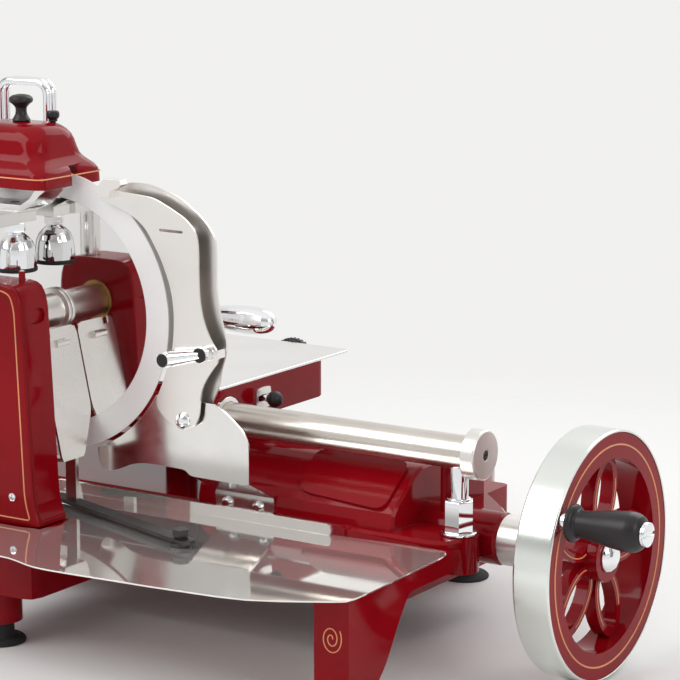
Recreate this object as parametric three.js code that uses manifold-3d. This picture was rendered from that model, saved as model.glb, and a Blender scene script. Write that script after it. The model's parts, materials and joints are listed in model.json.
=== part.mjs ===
// Hand crank meat slicer, in millimetres, +Z up.
// The pieces are laid out from the blade's centre: X runs along the carriage's rail,
// Y away from the tray and Z up. The origin is moved under the machine at the end.
import * as THREE from "three";
import { mergeVertices } from "three/addons/utils/BufferGeometryUtils.js";
import Module from "manifold-3d";

const wasm = await Module();
wasm.setup();

// Common sizes
const SEAT_GAP = 0.3;
const RUNNING_GAP = 0.5;
const OVERRUN = 4;
const FLOOR_DROP = 342;

// Blade and its spindle
const BLADE_RADIUS = 150;
const BLADE_THICKNESS = 3;
const BLADE_EDGE_THICKNESS = 0.8;
const BLADE_BEVEL_WIDTH = 28;
const BLADE_BORE_RADIUS = 10;
const HUB_FLANGE_RADIUS = 24;
const HUB_FLANGE_THICKNESS = 5;
const HUB_RADIUS = 18;
const JOURNAL_RADIUS = 12;
const SPINDLE_TAIL_RADIUS = 8;
const BLADE_SCREW_RADIUS = 14;
const BLADE_SCREW_DOME = 4;
const BEARING_FLANGE_RADIUS = 22;
const BEARING_FLANGE_THICKNESS = 2;
const BEARING_WALL = 4;
const BEARING_LENGTH = 12;

// Knife column in front of the blade
const COLUMN_FRONT_Y = -119;
const COLUMN_BACK_Y = -73;
const COLUMN_TOP_RISE = 46;
const COLUMN_FOOT_DROP = 207;
const COLUMN_HALF_WIDTH = 60;
const COLUMN_WALL = 6;
const COLUMN_COVER_THICKNESS = 4.5;
const COLUMN_CORNER_RADIUS = 9;
const COLUMN_EDGE_BEVEL = 1.5;
const COLUMN_POCKET_LENGTH = 26;
const COLUMN_POCKET_HEIGHT = 16;
const COLUMN_POCKET_DEPTH = 3;
const COLUMN_POCKET_DROP = 4;
const TOP_HOOK_RADIUS = 3.5;
const TOP_HOOK_HEIGHT = 12;
const TOP_HOOK_X = 34;

// Base casting
const BASE_LEFT_X = -235;
const BASE_RIGHT_X = 470;
const DECK_FRONT_Y = 38;
const DECK_REAR_Y = 408;
const DECK_DROP = 199.5;
const DECK_THICKNESS = 29.5;
const DECK_SKIN = 8;
const DECK_EDGE_BEVEL = 3;
const DECK_CORNER_RADIUS = 26;
const HOUSING_LEFT_X = -205;
const HOUSING_RIGHT_X = 390;
const HOUSING_FRONT_Y = 47;
const HOUSING_REAR_Y = 300;
const HOUSING_BOTTOM_DROP = 281;
const HOUSING_WALL = 8;
const HUMP_LEFT_X = 150;
const HUMP_RIGHT_X = 396;
const HUMP_TOP_DROP = 142;
const HUMP_BROW_Y = 100;
const HUMP_REAR_Y = 236;
const HUMP_FRONT_RISE = 19;
const HUMP_REAR_RISE = 46;
const HUMP_CORNER_RADIUS = 12;
const PAD_LEFT_X = 270;
const PAD_RIGHT_X = 384;
const PAD_THICKNESS = 3;
const PAD_CORNER_RADIUS = 14;
const ARM_TOP_DROP = 207.3;
const ARM_CORNER_RADIUS = 8;
const LEFT_ARM_HALF_WIDTH = 68;
const LEFT_ARM_FRONT_Y = -132;
const LEFT_ARM_FLOOR_REACH = 72;
const RIGHT_ARM_WIDTH = 40;
const RIGHT_ARM_FRONT_Y = -150;
const RIGHT_LEG_REACH = 110;
const RIGHT_ARM_ROOT = 21;
const RIGHT_LEG_TOE = 42;
const LEG_TOP_RADIUS = 32;
const LEG_FOOT_RADIUS = 24;
const LEG_RIGHT_X = 290;
const LEG_LEFT_X = -170;
const LEG_REAR_Y = 376;
const FRONT_LEG_Y = -104;
const LUG_WIDTH = 30;
const LUG_THICKNESS = 10;
const SLOT_WIDTH = 58;
const SLOT_DEPTH = 30;
const BASE_POST_X = 419.5;
const BASE_POST_Y = 113;
const BASE_POST_RADIUS = 5.5;
const BASE_POST_TOP_DROP = 138;

// Rubber feet
const FOOT_HEIGHT = 24;
const FOOT_RIM_RADIUS = 27.5;
const FOOT_RIM_HEIGHT = 6;
const FOOT_HUB_RADIUS = 15;

// Rail and the pillars that carry it
const RAIL_Y = 78;
const RAIL_DROP = 113.5;
const RAIL_RADIUS = 17.5;
const RAIL_WALL = 3;
const RAIL_RIGHT_X = 470.7;
const RAIL_LEFT_X = -215;
const CAP_RADIUS = 26;
const CAP_THICKNESS = 16;
const CAP_BEVEL = 1.5;
const CAP_PLUG_LENGTH = 4;
const CAP_SCREW_RADIUS = 5;
const CAP_SCREW_DEPTH = 3;
const PILLAR_INSET = 14.7;
const PILLAR_RADIUS = 9.5;
const PILLAR_ENTRY = 8;
const PILLAR_NUT_ACROSS = 28;
const PILLAR_NUT_HEIGHT = 33;
const PILLAR_WASHER_RADIUS = 19;
const PILLAR_WASHER_THICKNESS = 2.9;
const PILLAR_BOSS_RADIUS = 21;
const PILLAR_BOSS_HEIGHT = 38;
const PILLAR_ROOT = 20;

// Main shaft and gear train
const SHAFT_Y = 123;
const SHAFT_DROP = 210.7;
const SHAFT_RADIUS = 12;
const SHAFT_LEFT_X = 262;
const SHAFT_HOUSING_RADIUS = 27.5;
const SHAFT_HOUSING_PAST_CAP = 1.3;
const SHAFT_HOUSING_END_X = RAIL_RIGHT_X + CAP_THICKNESS + SHAFT_HOUSING_PAST_CAP;
const SHAFT_HOUSING_LIP = 4;
const SHAFT_BUSH_WALL = 4;
const SHAFT_BUSH_LENGTH = 30;
const SHAFT_LUG_X = 268;
const MAIN_GEAR_X = 300;
const MAIN_GEAR_RADIUS = 55;
const MAIN_GEAR_WIDTH = 16;
const MAIN_GEAR_TEETH = 48;
const LAY_PINION_RADIUS = 18;
const LAY_PINION_TEETH = 16;
const LAY_PINION_WIDTH = 20;
const LAY_ANGLE_DEG = 32;
const LAY_SHAFT_RADIUS = 7;
const LAY_SHAFT_LEFT_X = -34;
const LAY_SHAFT_RIGHT_X = 350;
const SKEW_GEAR_RADIUS = 13;
const SKEW_GEAR_WIDTH = 16;
const SKEW_GEAR_TEETH = 14;
const SPUR_TOOTH_DEPTH = 2.6;
const CROSS_SHAFT_RADIUS = 7;
const CROSS_SHAFT_SEAT = 4;
const CROSS_LUG_CLEAR = 26;
const SPROCKET_RADIUS = 22;
const SPROCKET_WIDTH = 7;
const SPROCKET_TEETH = 18;
const SPROCKET_TOOTH_DEPTH = 3;
const SPROCKET_Y = -96;
const CHAIN_THICKNESS = 3;
const CHAIN_WIDTH = 10;

// Flywheel
const WHEEL_STANDOFF = 77;
const WHEEL_BACK_X = SHAFT_HOUSING_END_X + WHEEL_STANDOFF;
const WHEEL_WIDTH = 40;
const WHEEL_RADIUS = 128;
const BAND_THICKNESS = 2.4;
const WHEEL_FACE_INSET = 1;
const WHEEL_RIM_DEPTH = 29;
const WHEEL_RIM_INNER_RADIUS = WHEEL_RADIUS - WHEEL_RIM_DEPTH;
const WHEEL_WEB_THICKNESS = 14;
const WHEEL_WEB_RECESS = 13;
const WHEEL_HUB_RADIUS = 27;
const WHEEL_HUB_LENGTH = 44;
const PETAL_COUNT = 5;
const PETAL_HUB_CLEARANCE = 15;
const PETAL_LENGTH = WHEEL_RIM_INNER_RADIUS - PETAL_HUB_CLEARANCE;
const PETAL_WIDTH = 50;
const PETAL_BAR = 9;
const PETAL_FACETS = 24;
const HUB_CAP_RADIUS = 17;
const HUB_CAP_HEIGHT = 9;
const COLLAR_RADIUS = 26.5;
const CRANK_INSET = 14.5;
const CRANK_RADIUS = WHEEL_RADIUS - CRANK_INSET;
const CRANK_ANGLE_DEG = 149.5;
const STUD_RADIUS = 6;
const STUD_ROOT = 18;
const STUD_FLANGE_RADIUS = 11;
const STUD_FLANGE_THICKNESS = 8;
const GRIP_LENGTH = 84;
const GRIP_COLLAR_RADIUS = 19;
const GRIP_COLLAR_LENGTH = 7;
const GRIP_NECK_RADIUS = 13.5;
const GRIP_BELLY_RADIUS = 20;
const GRIP_END_RADIUS = 12;
const GRIP_CAP_RADIUS = 12;
const GRIP_CAP_HEIGHT = 5;
const CAP_SLOT_WIDTH = 2.4;

// Tray
const TRAY_DROP = 205.5;
const TRAY_THICKNESS = 1.5;
const TRAY_LEFT_X = -90;
const TRAY_RIGHT_X = 482;
const TRAY_FRONT_Y = -237;
const TRAY_REAR_Y = 35.5;
const TRAY_CORNER_RADIUS = 30;
const TRAY_FOOT_CLEARANCE = 2;
const LIP_LEFT_X = -22;
const LIP_RIGHT_X = 338;
const LIP_HEIGHT = 11.5;
const LIP_THICKNESS = 4;
const LIP_Y = 20;
const LIP_CORNER_RADIUS = 5;

// Lower knife plate
const KNIFE_PLATE_LEFT_X = 53.8;
const KNIFE_PLATE_RIGHT_X = 251;
const KNIFE_PLATE_TOP_DROP = 79;
const KNIFE_PLATE_BOTTOM_DROP = 170;
const KNIFE_PLATE_THICKNESS = 2.5;
const KNIFE_PLATE_RELIEF = 4.5;
const KNIFE_CORNER_RADIUS = 5;
const KNIFE_TAB_LEFT_X = 176;
const KNIFE_TAB_DROP = 159;
const KNIFE_FLANGE_Y = 46.7;
const KNIFE_FLANGE_TOP_DROP = 181;
const KNIFE_FLANGE_HEIGHT = 20;
const PLATE_BOLT_RADIUS = 7;
const PLATE_BOLT_HEAD = 4.5;
const PLATE_BOLT_SHANK = 3;
const PLATE_BOLT_ROOT = 6;
const PLATE_BOLT_INSET = 16;
const PLATE_BOLT_PITCH = 39;

// Blade guard
const GUARD_GAP_TO_BLADE = 4;
const GUARD_THICKNESS = 2.5;
const GUARD_INNER_RADIUS = 140;
const GUARD_LEFT_X = 62;
const GUARD_RIGHT_X = 220;
const GUARD_TOP_RISE = 144;
const GUARD_BOTTOM_DROP = 112;
const GUARD_CORNER_RADIUS = 10;
const GUARD_CORNER_FACETS = 3;
const GUARD_PIVOT_X = 173;
const GUARD_PIVOT_DROP = 100;
const PIVOT_HEAD_RADIUS = 9;
const PIVOT_HEAD_HEIGHT = 5;
const PIVOT_SHANK_RADIUS = 4;
const SPACER_RADIUS = 8;
const BRIDGE_X = 213;
const BRIDGE_RISE = -25;
const BRIDGE_WIDTH = 10;
const BRIDGE_HEIGHT = 9;
const GUARD_SLOT_LENGTH = 30;
const GUARD_SLOT_HEIGHT = 3;
const GUARD_SLOT_X = 160;
const GUARD_SLOT_RISE = 97;
const BRACKET_X = 88;
const BRACKET_RISE = 138;
const BRACKET_LENGTH = 30;
const BRACKET_HEIGHT = 20;
const BRACKET_THICKNESS = 9;

// Guard clamp lever
const LEVER_PIVOT_X = 204;
const LEVER_PIVOT_DROP = 25;
const LEVER_DISC_RADIUS = 8;
const LEVER_DISC_THICKNESS = 14;
const LEVER_LENGTH = 38;
const LEVER_ROOT_RADIUS = 5.5;
const LEVER_TIP_RADIUS = 8.3;
const LEVER_KNOB_RADIUS = 8.5;
const LEVER_ANGLE_DEG = 192;

// Slice deflector
const DEFLECTOR_TOP_X = 28;
const DEFLECTOR_TOP_DROP = 12;
const DEFLECTOR_HEIGHT = 136;
const DEFLECTOR_TILT_DEG = 12.5;
const DEFLECTOR_DEPTH = 62;
const DEFLECTOR_THICKNESS = 2;
const DEFLECTOR_BLADE_GAP = 1.2;
const DEFLECTOR_NOTCH_DEPTH = 8;
const DEFLECTOR_NOTCH_WIDTH = 9;
const DEFLECTOR_CORNER_RADIUS = 9;
const DEFLECTOR_FOOT_LENGTH = 26;
const DEFLECTOR_POST_WIDTH = 14;
const DEFLECTOR_POST_THICKNESS = 5;
const DEFLECTOR_CLIP_RADIUS = 4;
const DEFLECTOR_CLIP_LENGTH = 20;
const DEFLECTOR_CLIP_DROP = 16;
const DEFLECTOR_ARM_DROP = 197;
const DEFLECTOR_ARM_THICKNESS = 4;
const DEFLECTOR_ARM_WIDTH = 17;
const DEFLECTOR_POST_X = 42;
const DEFLECTOR_POST_Y = -30;
const STUD_X = 232;
const STUD_Y = -94;
const STUD_POST_RADIUS = 6;
const STUD_HEAD_ACROSS = 16;
const STUD_HEAD_HEIGHT = 7;
const STUD_WASHER_RADIUS = 11;
const STUD_WASHER_THICKNESS = 2;

// Sharpener over the blade
const SHARPENER_X = -37;
const COVER_HALF_WIDTH = 68;
const COVER_FRONT_Y = -60;
const COVER_REAR_Y = 48;
const COVER_SKIRT_RISE = 136;
const COVER_TOP_RISE = 200;
const COVER_SKIRT_FLARE = 12;
const COVER_WALL = 4;
const COVER_CORNER_RADIUS = 12;
const COVER_CORNER_GROWTH = 0.4;
const COVER_SLOT_RISE = 157;
const COVER_SLOT_HALF_WIDTH = 7;
const SHARPENER_ARM_WIDTH = 30;
const SHARPENER_ARM_THICKNESS = 14;
const SHARPENER_ARM_RISE = 97;
const SHARPENER_ARM_FRONT_Y = -52;
const SHARPENER_ARM_REAR_Y = -16;
const SHARPENER_POST_RADIUS = 11;
const SHARPENER_POST_X = -22;
const SHARPENER_POST_Y = -92;
const CUP_X = -25;
const CUP_Y = -34;
const CUP_RADIUS = 22;
const CUP_HEIGHT = 42;
const CUP_BOTTOM_RISE = 44;
const CUP_WALL = 3;
const CUP_NECK_RADIUS = 8;
const CUP_NUT_ACROSS = 20;
const CUP_ROD_RADIUS = 5;
const STONE_RADIUS = 19;
const STONE_THICKNESS = 8;
const STONE_ROD_RADIUS = 5;
const STONE_RISE = 152;
const STONE_GAP = 1.5;
const STONE_BLOCK_SIZE = 20;
const HOLDER_TOP_GAP = 20;
const HOLDER_END_GAP = 26;
const HOLDER_THICKNESS = 6;
const HOLDER_LEG = 8;
const KNOB_TOP_RADIUS = 13;
const KNOB_WAIST_RADIUS = 6;
const KNOB_FOOT_RADIUS = 10;
const KNOB_HEIGHT = 29;
const KNOB_PIN_RADIUS = 3;
const SMALL_KNOB_RADIUS = 7;
const SMALL_KNOB_HEIGHT = 12;
const SMALL_KNOB_X = 30;
const SMALL_KNOB_Y = 10;

// Carriage and meat table
const TABLE_DROP = 80;
const TABLE_THICKNESS = 3;
const TABLE_LEFT_X = -165;
const TABLE_RIGHT_X = 165;
const TABLE_FRONT_Y = 66;
const TABLE_REAR_Y = 325;
const TABLE_CORNER_RADIUS = 6;
const CARRIAGE_REAR_Y = 273;
const CARRIAGE_BOTTOM_DROP = 124;
const CARRIAGE_WALL = 6;
const CARRIAGE_CORNER_RADIUS = 12;
const SLEEVE_RADIUS = 25;
const BUSH_WALL = 2.2;
const BUSH_LENGTH = 30;
const BUSH_FLANGE_RADIUS = 23;
const BUSH_FLANGE_THICKNESS = 5;
const FEED_SCREW_X = 80;
const FEED_SCREW_DROP = 107;
const FEED_SCREW_RADIUS = 6;
const FEED_THREAD_DEPTH = 1;
const FEED_THREAD_COUNT = 10;
const FEED_NUT_SIZE = 22;
const FEED_NUT_Y = 240;
const FEED_SCREW_START_Y = 100;
const FEED_TRAVEL = 40;
const HANDWHEEL_RADIUS = 30;
const HANDWHEEL_THICKNESS = 10;
const HANDWHEEL_Y = 331;
const ROLLER_RADIUS = 14;
const ROLLER_WIDTH = 12;
const ROLLER_Y = 250;
const ROLLER_X = -20;
const ROLLER_PIN_RADIUS = 4;
const ROLLER_FORK_WALL = 5;
const ROLLER_FORK_WIDTH = 30;
const TRACK_HEIGHT = 6;
const TRACK_WIDTH = 22;
const TRACK_RIGHT_X = 372;
const TRACK_LEFT_X = -195;
const RELEASE_Y = 148;
const RELEASE_DROP = 104;
const RELEASE_PLATE_THICKNESS = 3;
const RELEASE_ROD_RADIUS = 3;
const RELEASE_ROD_LENGTH = 14;
const RELEASE_KNOB_RADIUS = 9;
const RELEASE_TRAVEL = 7;

// Meat press on the table
const PRESS_X = -84;
const PRESS_Y = 100;
const PRESS_SPAN = 66;
const PRESS_ROD_RADIUS = 4.5;
const PRESS_ROD_PITCH = 10;
const PRESS_TOP_RISE = 230;
const PRESS_BEND_RADIUS = 14;
const PRESS_BLOCK_HEIGHT = 30;
const PRESS_BLOCK_MARGIN = 7;
const PRESS_ARM_RISE = -9;
const PRESS_ARM_RADIUS = 7;
const PRESS_PLATE_LEFT_X = -58;
const PRESS_PLATE_RIGHT_X = 92;
const PRESS_PLATE_HALF_DEPTH = 26;
const PRESS_PLATE_THICKNESS = 4;
const PRESS_PLATE_DROP = 34;
const PRESS_TOOTH_HEIGHT = 8;
const PRESS_TOOTH_WIDTH = 6;
const PRESS_TOOTH_COUNT = 6;
const PRESS_STEM_RADIUS = 3.5;
const STEM_NUT_ACROSS = 13;
const STEM_NUT_HEIGHT = 6;
const PRESS_FOOT_HEIGHT = 12;
const PRESS_STEM_X = 20;
const HAND_GRIP_LENGTH = 84;
const HAND_GRIP_RADIUS = 15;
const HAND_GRIP_ROOT_RADIUS = 11;
const HAND_GRIP_END_X = 216;
const LOCK_KNOB_RADIUS = 11;
const LOCK_KNOB_LENGTH = 16;
const LOCK_SCREW_RADIUS = 3;

// Slice thickness dial on the carriage
const DIAL_Y = 148;
const DIAL_RIB = 1.5;
const DIAL_DROP = 107;
const DIAL_RADIUS = 15;
const DIAL_THICKNESS = 10;
const DIAL_SPINDLE_RADIUS = 4;

// Facets of round pieces
const COARSE = 12;
const MEDIUM = 20;
const FINE = 48;
const RIM = 64;

// Finishes
const FINISHES = {
  redEnamel: { color: 0x8b1a22, roughness: 0.18, metalness: 0.0 },
  brushedSteel: { color: 0xc8beb4, roughness: 0.32, metalness: 0.9 },
  polishedSteel: { color: 0xd9d9d6, roughness: 0.12, metalness: 1.0 },
  chrome: { color: 0xe6e8ea, roughness: 0.06, metalness: 1.0 },
  darkSteel: { color: 0x4c4a4b, roughness: 0.45, metalness: 0.8 },
  blackPlastic: { color: 0x28242a, roughness: 0.35, metalness: 0.0 },
  rubber: { color: 0x1b1b1c, roughness: 0.8, metalness: 0.0 },
  bronze: { color: 0xa9783f, roughness: 0.4, metalness: 0.9 },
  grindstone: { color: 0x8f8a80, roughness: 0.9, metalness: 0.0 },
};

// Where each axis sends the flat outline's own X, Y and thickness
const FACING = {
  x: [new THREE.Vector3(0, 1, 0), new THREE.Vector3(0, 0, 1), new THREE.Vector3(1, 0, 0)],
  y: [new THREE.Vector3(1, 0, 0), new THREE.Vector3(0, 0, 1), new THREE.Vector3(0, -1, 0)],
  z: [new THREE.Vector3(1, 0, 0), new THREE.Vector3(0, 1, 0), new THREE.Vector3(0, 0, 1)],
};

function radians(degrees) {
  return THREE.MathUtils.degToRad(degrees);
}

// Turns a closed geometry into a solid that can be joined and cut.
function solidOf(geometry) {
  const bare = geometry.index ? geometry.toNonIndexed() : geometry.clone();
  bare.deleteAttribute("normal");
  bare.deleteAttribute("uv");
  const merged = mergeVertices(bare, 1e-4);
  return new wasm.Manifold(
    new wasm.Mesh({
      numProp: 3,
      vertProperties: merged.attributes.position.array,
      triVerts: new Uint32Array(merged.index.array),
    }),
  );
}

// Turns a solid back into a geometry with flat faces.
function geometryOf(solid) {
  const mesh = solid.getMesh();
  const positions = new Float32Array(mesh.numVert * 3);
  for (let i = 0; i < mesh.numVert; i++) {
    const start = i * mesh.numProp;
    positions.set(mesh.vertProperties.subarray(start, start + 3), i * 3);
  }
  const geometry = new THREE.BufferGeometry();
  geometry.setAttribute("position", new THREE.BufferAttribute(positions, 3));
  geometry.setIndex(new THREE.BufferAttribute(mesh.triVerts, 1));
  const flat = geometry.toNonIndexed();
  flat.computeVertexNormals();
  return flat;
}

function join(...solids) {
  return solids.reduce((whole, next) => whole.add(next));
}

function cut(body, ...tools) {
  return tools.reduce((rest, tool) => rest.subtract(tool), body);
}

// A box between two opposite corners.
function box(low, high) {
  const size = high.map((value, i) => value - low[i]);
  const geometry = new THREE.BoxGeometry(...size);
  geometry.translate(...low.map((value, i) => value + size[i] / 2));
  return solidOf(geometry);
}

// Turns a geometry made along +Y so that it runs along the named axis.
function alongAxis(geometry, axis) {
  if (axis === "x") geometry.rotateZ(-Math.PI / 2);
  if (axis === "z") geometry.rotateX(Math.PI / 2);
  return geometry;
}

// A turned piece: the profile lists [radius, place along the axis] from low to high.
function turned(axis, centre, profile, facets = MEDIUM) {
  const points = profile.map(([radius, along]) => new THREE.Vector2(radius, along));
  const geometry = alongAxis(new THREE.LatheGeometry(points, facets), axis);
  geometry.translate(...centre);
  return solidOf(geometry);
}

function rod(axis, centre, radius, from, to, facets = MEDIUM) {
  return turned(axis, centre, [[0, from], [radius, from], [radius, to], [0, to]], facets);
}

function sleeve(axis, centre, outer, inner, from, to, facets = MEDIUM) {
  const body = rod(axis, centre, outer, from, to, facets);
  return cut(body, rod(axis, centre, inner, from - OVERRUN, to + OVERRUN, facets));
}

function ball(centre, radius, facets = COARSE) {
  const geometry = new THREE.SphereGeometry(radius, facets, facets / 2);
  geometry.translate(...centre);
  return solidOf(geometry);
}

// A straight round bar between two points.
function bar(start, end, startRadius, endRadius = startRadius, facets = COARSE) {
  const from = new THREE.Vector3(...start);
  const to = new THREE.Vector3(...end);
  const way = to.clone().sub(from);
  const geometry = new THREE.CylinderGeometry(endRadius, startRadius, way.length(), facets);
  const turn = new THREE.Quaternion();
  turn.setFromUnitVectors(new THREE.Vector3(0, 1, 0), way.clone().normalize());
  geometry.applyQuaternion(turn);
  const middle = from.add(to).multiplyScalar(0.5);
  geometry.translate(middle.x, middle.y, middle.z);
  return solidOf(geometry);
}

// A closed outline whose corners are rounded.
function roundedShape(points, radius) {
  const corners = points.map(([a, b]) => new THREE.Vector2(a, b));
  const shape = new THREE.Shape();
  corners.forEach((corner, i) => {
    const before = corners.at(i - 1);
    const after = corners[(i + 1) % corners.length];
    const shareIn = Math.min(radius / corner.distanceTo(before), 0.45);
    const shareOut = Math.min(radius / corner.distanceTo(after), 0.45);
    const enter = corner.clone().lerp(before, shareIn);
    const leave = corner.clone().lerp(after, shareOut);
    if (i === 0) shape.moveTo(enter.x, enter.y);
    else shape.lineTo(enter.x, enter.y);
    if (radius > 0) shape.quadraticCurveTo(corner.x, corner.y, leave.x, leave.y);
  });
  shape.closePath();
  return shape;
}

// A flat piece whose outline lies across the named axis, from one place to another.
function plate(axis, points, from, to, { radius = 0, bevel = 0, steps = 2 } = {}) {
  const geometry = new THREE.ExtrudeGeometry(roundedShape(points, radius), {
    depth: to - from - 2 * bevel,
    bevelEnabled: bevel > 0,
    bevelThickness: bevel,
    bevelSize: bevel,
    bevelOffset: -bevel,
    bevelSegments: 1,
    curveSegments: steps,
  });
  geometry.translate(0, 0, bevel);
  geometry.applyMatrix4(new THREE.Matrix4().makeBasis(...FACING[axis]));
  const shift = { x: [from, 0, 0], y: [0, to, 0], z: [0, 0, from] };
  geometry.translate(...shift[axis]);
  return solidOf(geometry);
}

// Outline points from shares of a width and a height, measured from one corner.
function fromShares(shares, [left, low], width, height) {
  return shares.map(([a, b]) => [left + a * width, low + b * height]);
}

function rectangle(left, right, low, high) {
  return [[left, low], [right, low], [right, high], [left, high]];
}

function hexagon(across, centreA, centreB) {
  const corner = across / Math.sqrt(3);
  return Array.from({ length: 6 }, (_, i) => {
    const angle = (i * Math.PI) / 3;
    return [centreA + corner * Math.cos(angle), centreB + corner * Math.sin(angle)];
  });
}

// A toothed wheel with straight-sided teeth.
function toothed(axis, [a, b], tipRadius, toothDepth, teeth, from, to) {
  const TOOTH_SHARES = [[0, 0], [0.18, 1], [0.42, 1], [0.6, 0]];
  const points = [];
  for (let i = 0; i < teeth; i++) {
    for (const [turnShare, heightShare] of TOOTH_SHARES) {
      const angle = ((i + turnShare) * 2 * Math.PI) / teeth;
      const radius = tipRadius - toothDepth * (1 - heightShare);
      points.push([a + radius * Math.cos(angle), b + radius * Math.sin(angle)]);
    }
  }
  return plate(axis, points, from, to);
}

const machine = new THREE.Group();

// A group of pieces that share a place, laid out from that place.
function assembly(...place) {
  const group = new THREE.Group();
  group.position.set(...place);
  machine.add(group);
  return group;
}

function piece(group, name, finish, solid) {
  const mesh = new THREE.Mesh(geometryOf(solid), new THREE.MeshStandardMaterial(FINISHES[finish]));
  mesh.name = name;
  group.add(mesh);
  return mesh;
}

const CENTRE = [0, 0, 0];

// Places that several sub-assemblies share
const DECK_Z = -DECK_DROP;
const DECK_UNDERSIDE_Z = DECK_Z - DECK_THICKNESS;
const SHAFT_Z = -SHAFT_DROP;
const FLOOR_Z = -FLOOR_DROP;
const FOOT_TOP_Z = FLOOR_Z + FOOT_HEIGHT;
const LEG_BOTTOM_Z = FOOT_TOP_Z + SEAT_GAP;
const ARM_Z = -ARM_TOP_DROP;
const HOUSING_BOTTOM_Z = -HOUSING_BOTTOM_DROP;
const RAIL_Z = -RAIL_DROP;
const PILLAR_RIGHT_X = RAIL_RIGHT_X - PILLAR_INSET;
const PILLAR_LEFT_X = RAIL_LEFT_X + PILLAR_INSET;
const LAY_CENTRES = MAIN_GEAR_RADIUS + LAY_PINION_RADIUS + SEAT_GAP;
const LAY_Y = SHAFT_Y + LAY_CENTRES * Math.cos(radians(LAY_ANGLE_DEG));
const LAY_Z = SHAFT_Z - LAY_CENTRES * Math.sin(radians(LAY_ANGLE_DEG));
const CROSS_Z = LAY_Z + 2 * SKEW_GEAR_RADIUS + SEAT_GAP;
const CROSS_LUG_Y = LAY_Y + CROSS_LUG_CLEAR;
const RIGHT_FOOT_X = BASE_RIGHT_X - RIGHT_ARM_WIDTH / 2;
const RIGHT_FOOT_Y = RIGHT_ARM_FRONT_Y + RIGHT_LEG_TOE / 2;
const BLADE_FACE_Y = BLADE_THICKNESS / 2;

const FEET = {
  foot_rear_right: [LEG_RIGHT_X, LEG_REAR_Y],
  foot_rear_left: [LEG_LEFT_X, LEG_REAR_Y],
  foot_front_left: [0, FRONT_LEG_Y],
  foot_front_right: [RIGHT_FOOT_X, RIGHT_FOOT_Y],
};

// The deck's outline, as shares of its length and depth from the front left
const DECK_SHARES = [
  [0, 0.024], [0.813, 0.024], [0.825, 0], [1, 0], [1, 0.33], [0.957, 0.44], [0.851, 0.64],
  [0.823, 0.74], [0.803, 0.92], [0.745, 1], [0.09, 1], [0.03, 0.93], [0, 0.75],
];

// The front right leg seen from the side, as shares from the foot's front corner,
// and its arm's depth as a share of its height
const RIGHT_LEG_SHARES = [[0, 1], [0, 0], [0.38, 0], [0.62, 0.25], [0.84, 0.6], [1, 0.8]];
const RIGHT_ARM_DEPTH_SHARE = 0.2;

// Base

function humpProfile(inset) {
  const front = HOUSING_FRONT_Y + inset;
  const rear = HUMP_REAR_Y - inset;
  const top = -HUMP_TOP_DROP - inset;
  const low = DECK_Z - DECK_SKIN - OVERRUN;
  const frontRise = DECK_Z + HUMP_FRONT_RISE - inset;
  const rearRise = DECK_Z + HUMP_REAR_RISE - inset;
  return [
    [front, low], [rear, low], [rear, rearRise], [rear - HUMP_CORNER_RADIUS, top],
    [HUMP_BROW_Y + inset / 2, top], [front, frontRise],
  ];
}

// The smooth raised panel on the hump's sloping front.
function humpPad() {
  const low = [HOUSING_FRONT_Y, DECK_Z + HUMP_FRONT_RISE];
  const high = [HUMP_BROW_Y, -HUMP_TOP_DROP];
  const slope = Math.atan2(high[1] - low[1], high[0] - low[0]);
  const length = Math.hypot(high[0] - low[0], high[1] - low[1]);
  const PAD_SHARES = [[0, 1.06], [0, 0.45], [0.07, 0.14], [1, 0.02], [1, 1.06]];
  const outline = fromShares(PAD_SHARES, [PAD_LEFT_X, 0], PAD_RIGHT_X - PAD_LEFT_X, length);
  const geometry = new THREE.ExtrudeGeometry(roundedShape(outline, PAD_CORNER_RADIUS), {
    depth: 2 * PAD_THICKNESS,
    bevelEnabled: false,
    curveSegments: 4,
  });
  geometry.translate(0, 0, -PAD_THICKNESS);
  geometry.rotateX(slope);
  geometry.translate(0, low[0], low[1]);
  return solidOf(geometry);
}

function baseShell() {
  const deckOutline = fromShares(
    DECK_SHARES, [BASE_LEFT_X, DECK_FRONT_Y], BASE_RIGHT_X - BASE_LEFT_X, DECK_REAR_Y - DECK_FRONT_Y,
  );
  const deckLook = { radius: DECK_CORNER_RADIUS, bevel: DECK_EDGE_BEVEL };
  const deck = plate("z", deckOutline, DECK_UNDERSIDE_Z, DECK_Z, deckLook);
  const housing = plate(
    "z", rectangle(HOUSING_LEFT_X, HOUSING_RIGHT_X, HOUSING_FRONT_Y, HOUSING_REAR_Y),
    HOUSING_BOTTOM_Z, DECK_Z - DECK_EDGE_BEVEL, { radius: ARM_CORNER_RADIUS },
  );
  const hump = plate(
    "x", humpProfile(0), HUMP_LEFT_X, HUMP_RIGHT_X,
    { radius: HUMP_CORNER_RADIUS, bevel: DECK_EDGE_BEVEL },
  );
  const leftArm = plate(
    "z", rectangle(-LEFT_ARM_HALF_WIDTH, LEFT_ARM_HALF_WIDTH, LEFT_ARM_FRONT_Y,
      HOUSING_FRONT_Y + HOUSING_WALL),
    HOUSING_BOTTOM_Z, ARM_Z, { radius: 2 * ARM_CORNER_RADIUS },
  );
  const track = box(
    [TRACK_LEFT_X, ROLLER_Y - TRACK_WIDTH / 2, DECK_Z - DECK_EDGE_BEVEL],
    [TRACK_RIGHT_X, ROLLER_Y + TRACK_WIDTH / 2, DECK_Z + TRACK_HEIGHT],
  );
  return join(deck, housing, hump, humpPad(), leftArm, track);
}

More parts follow.
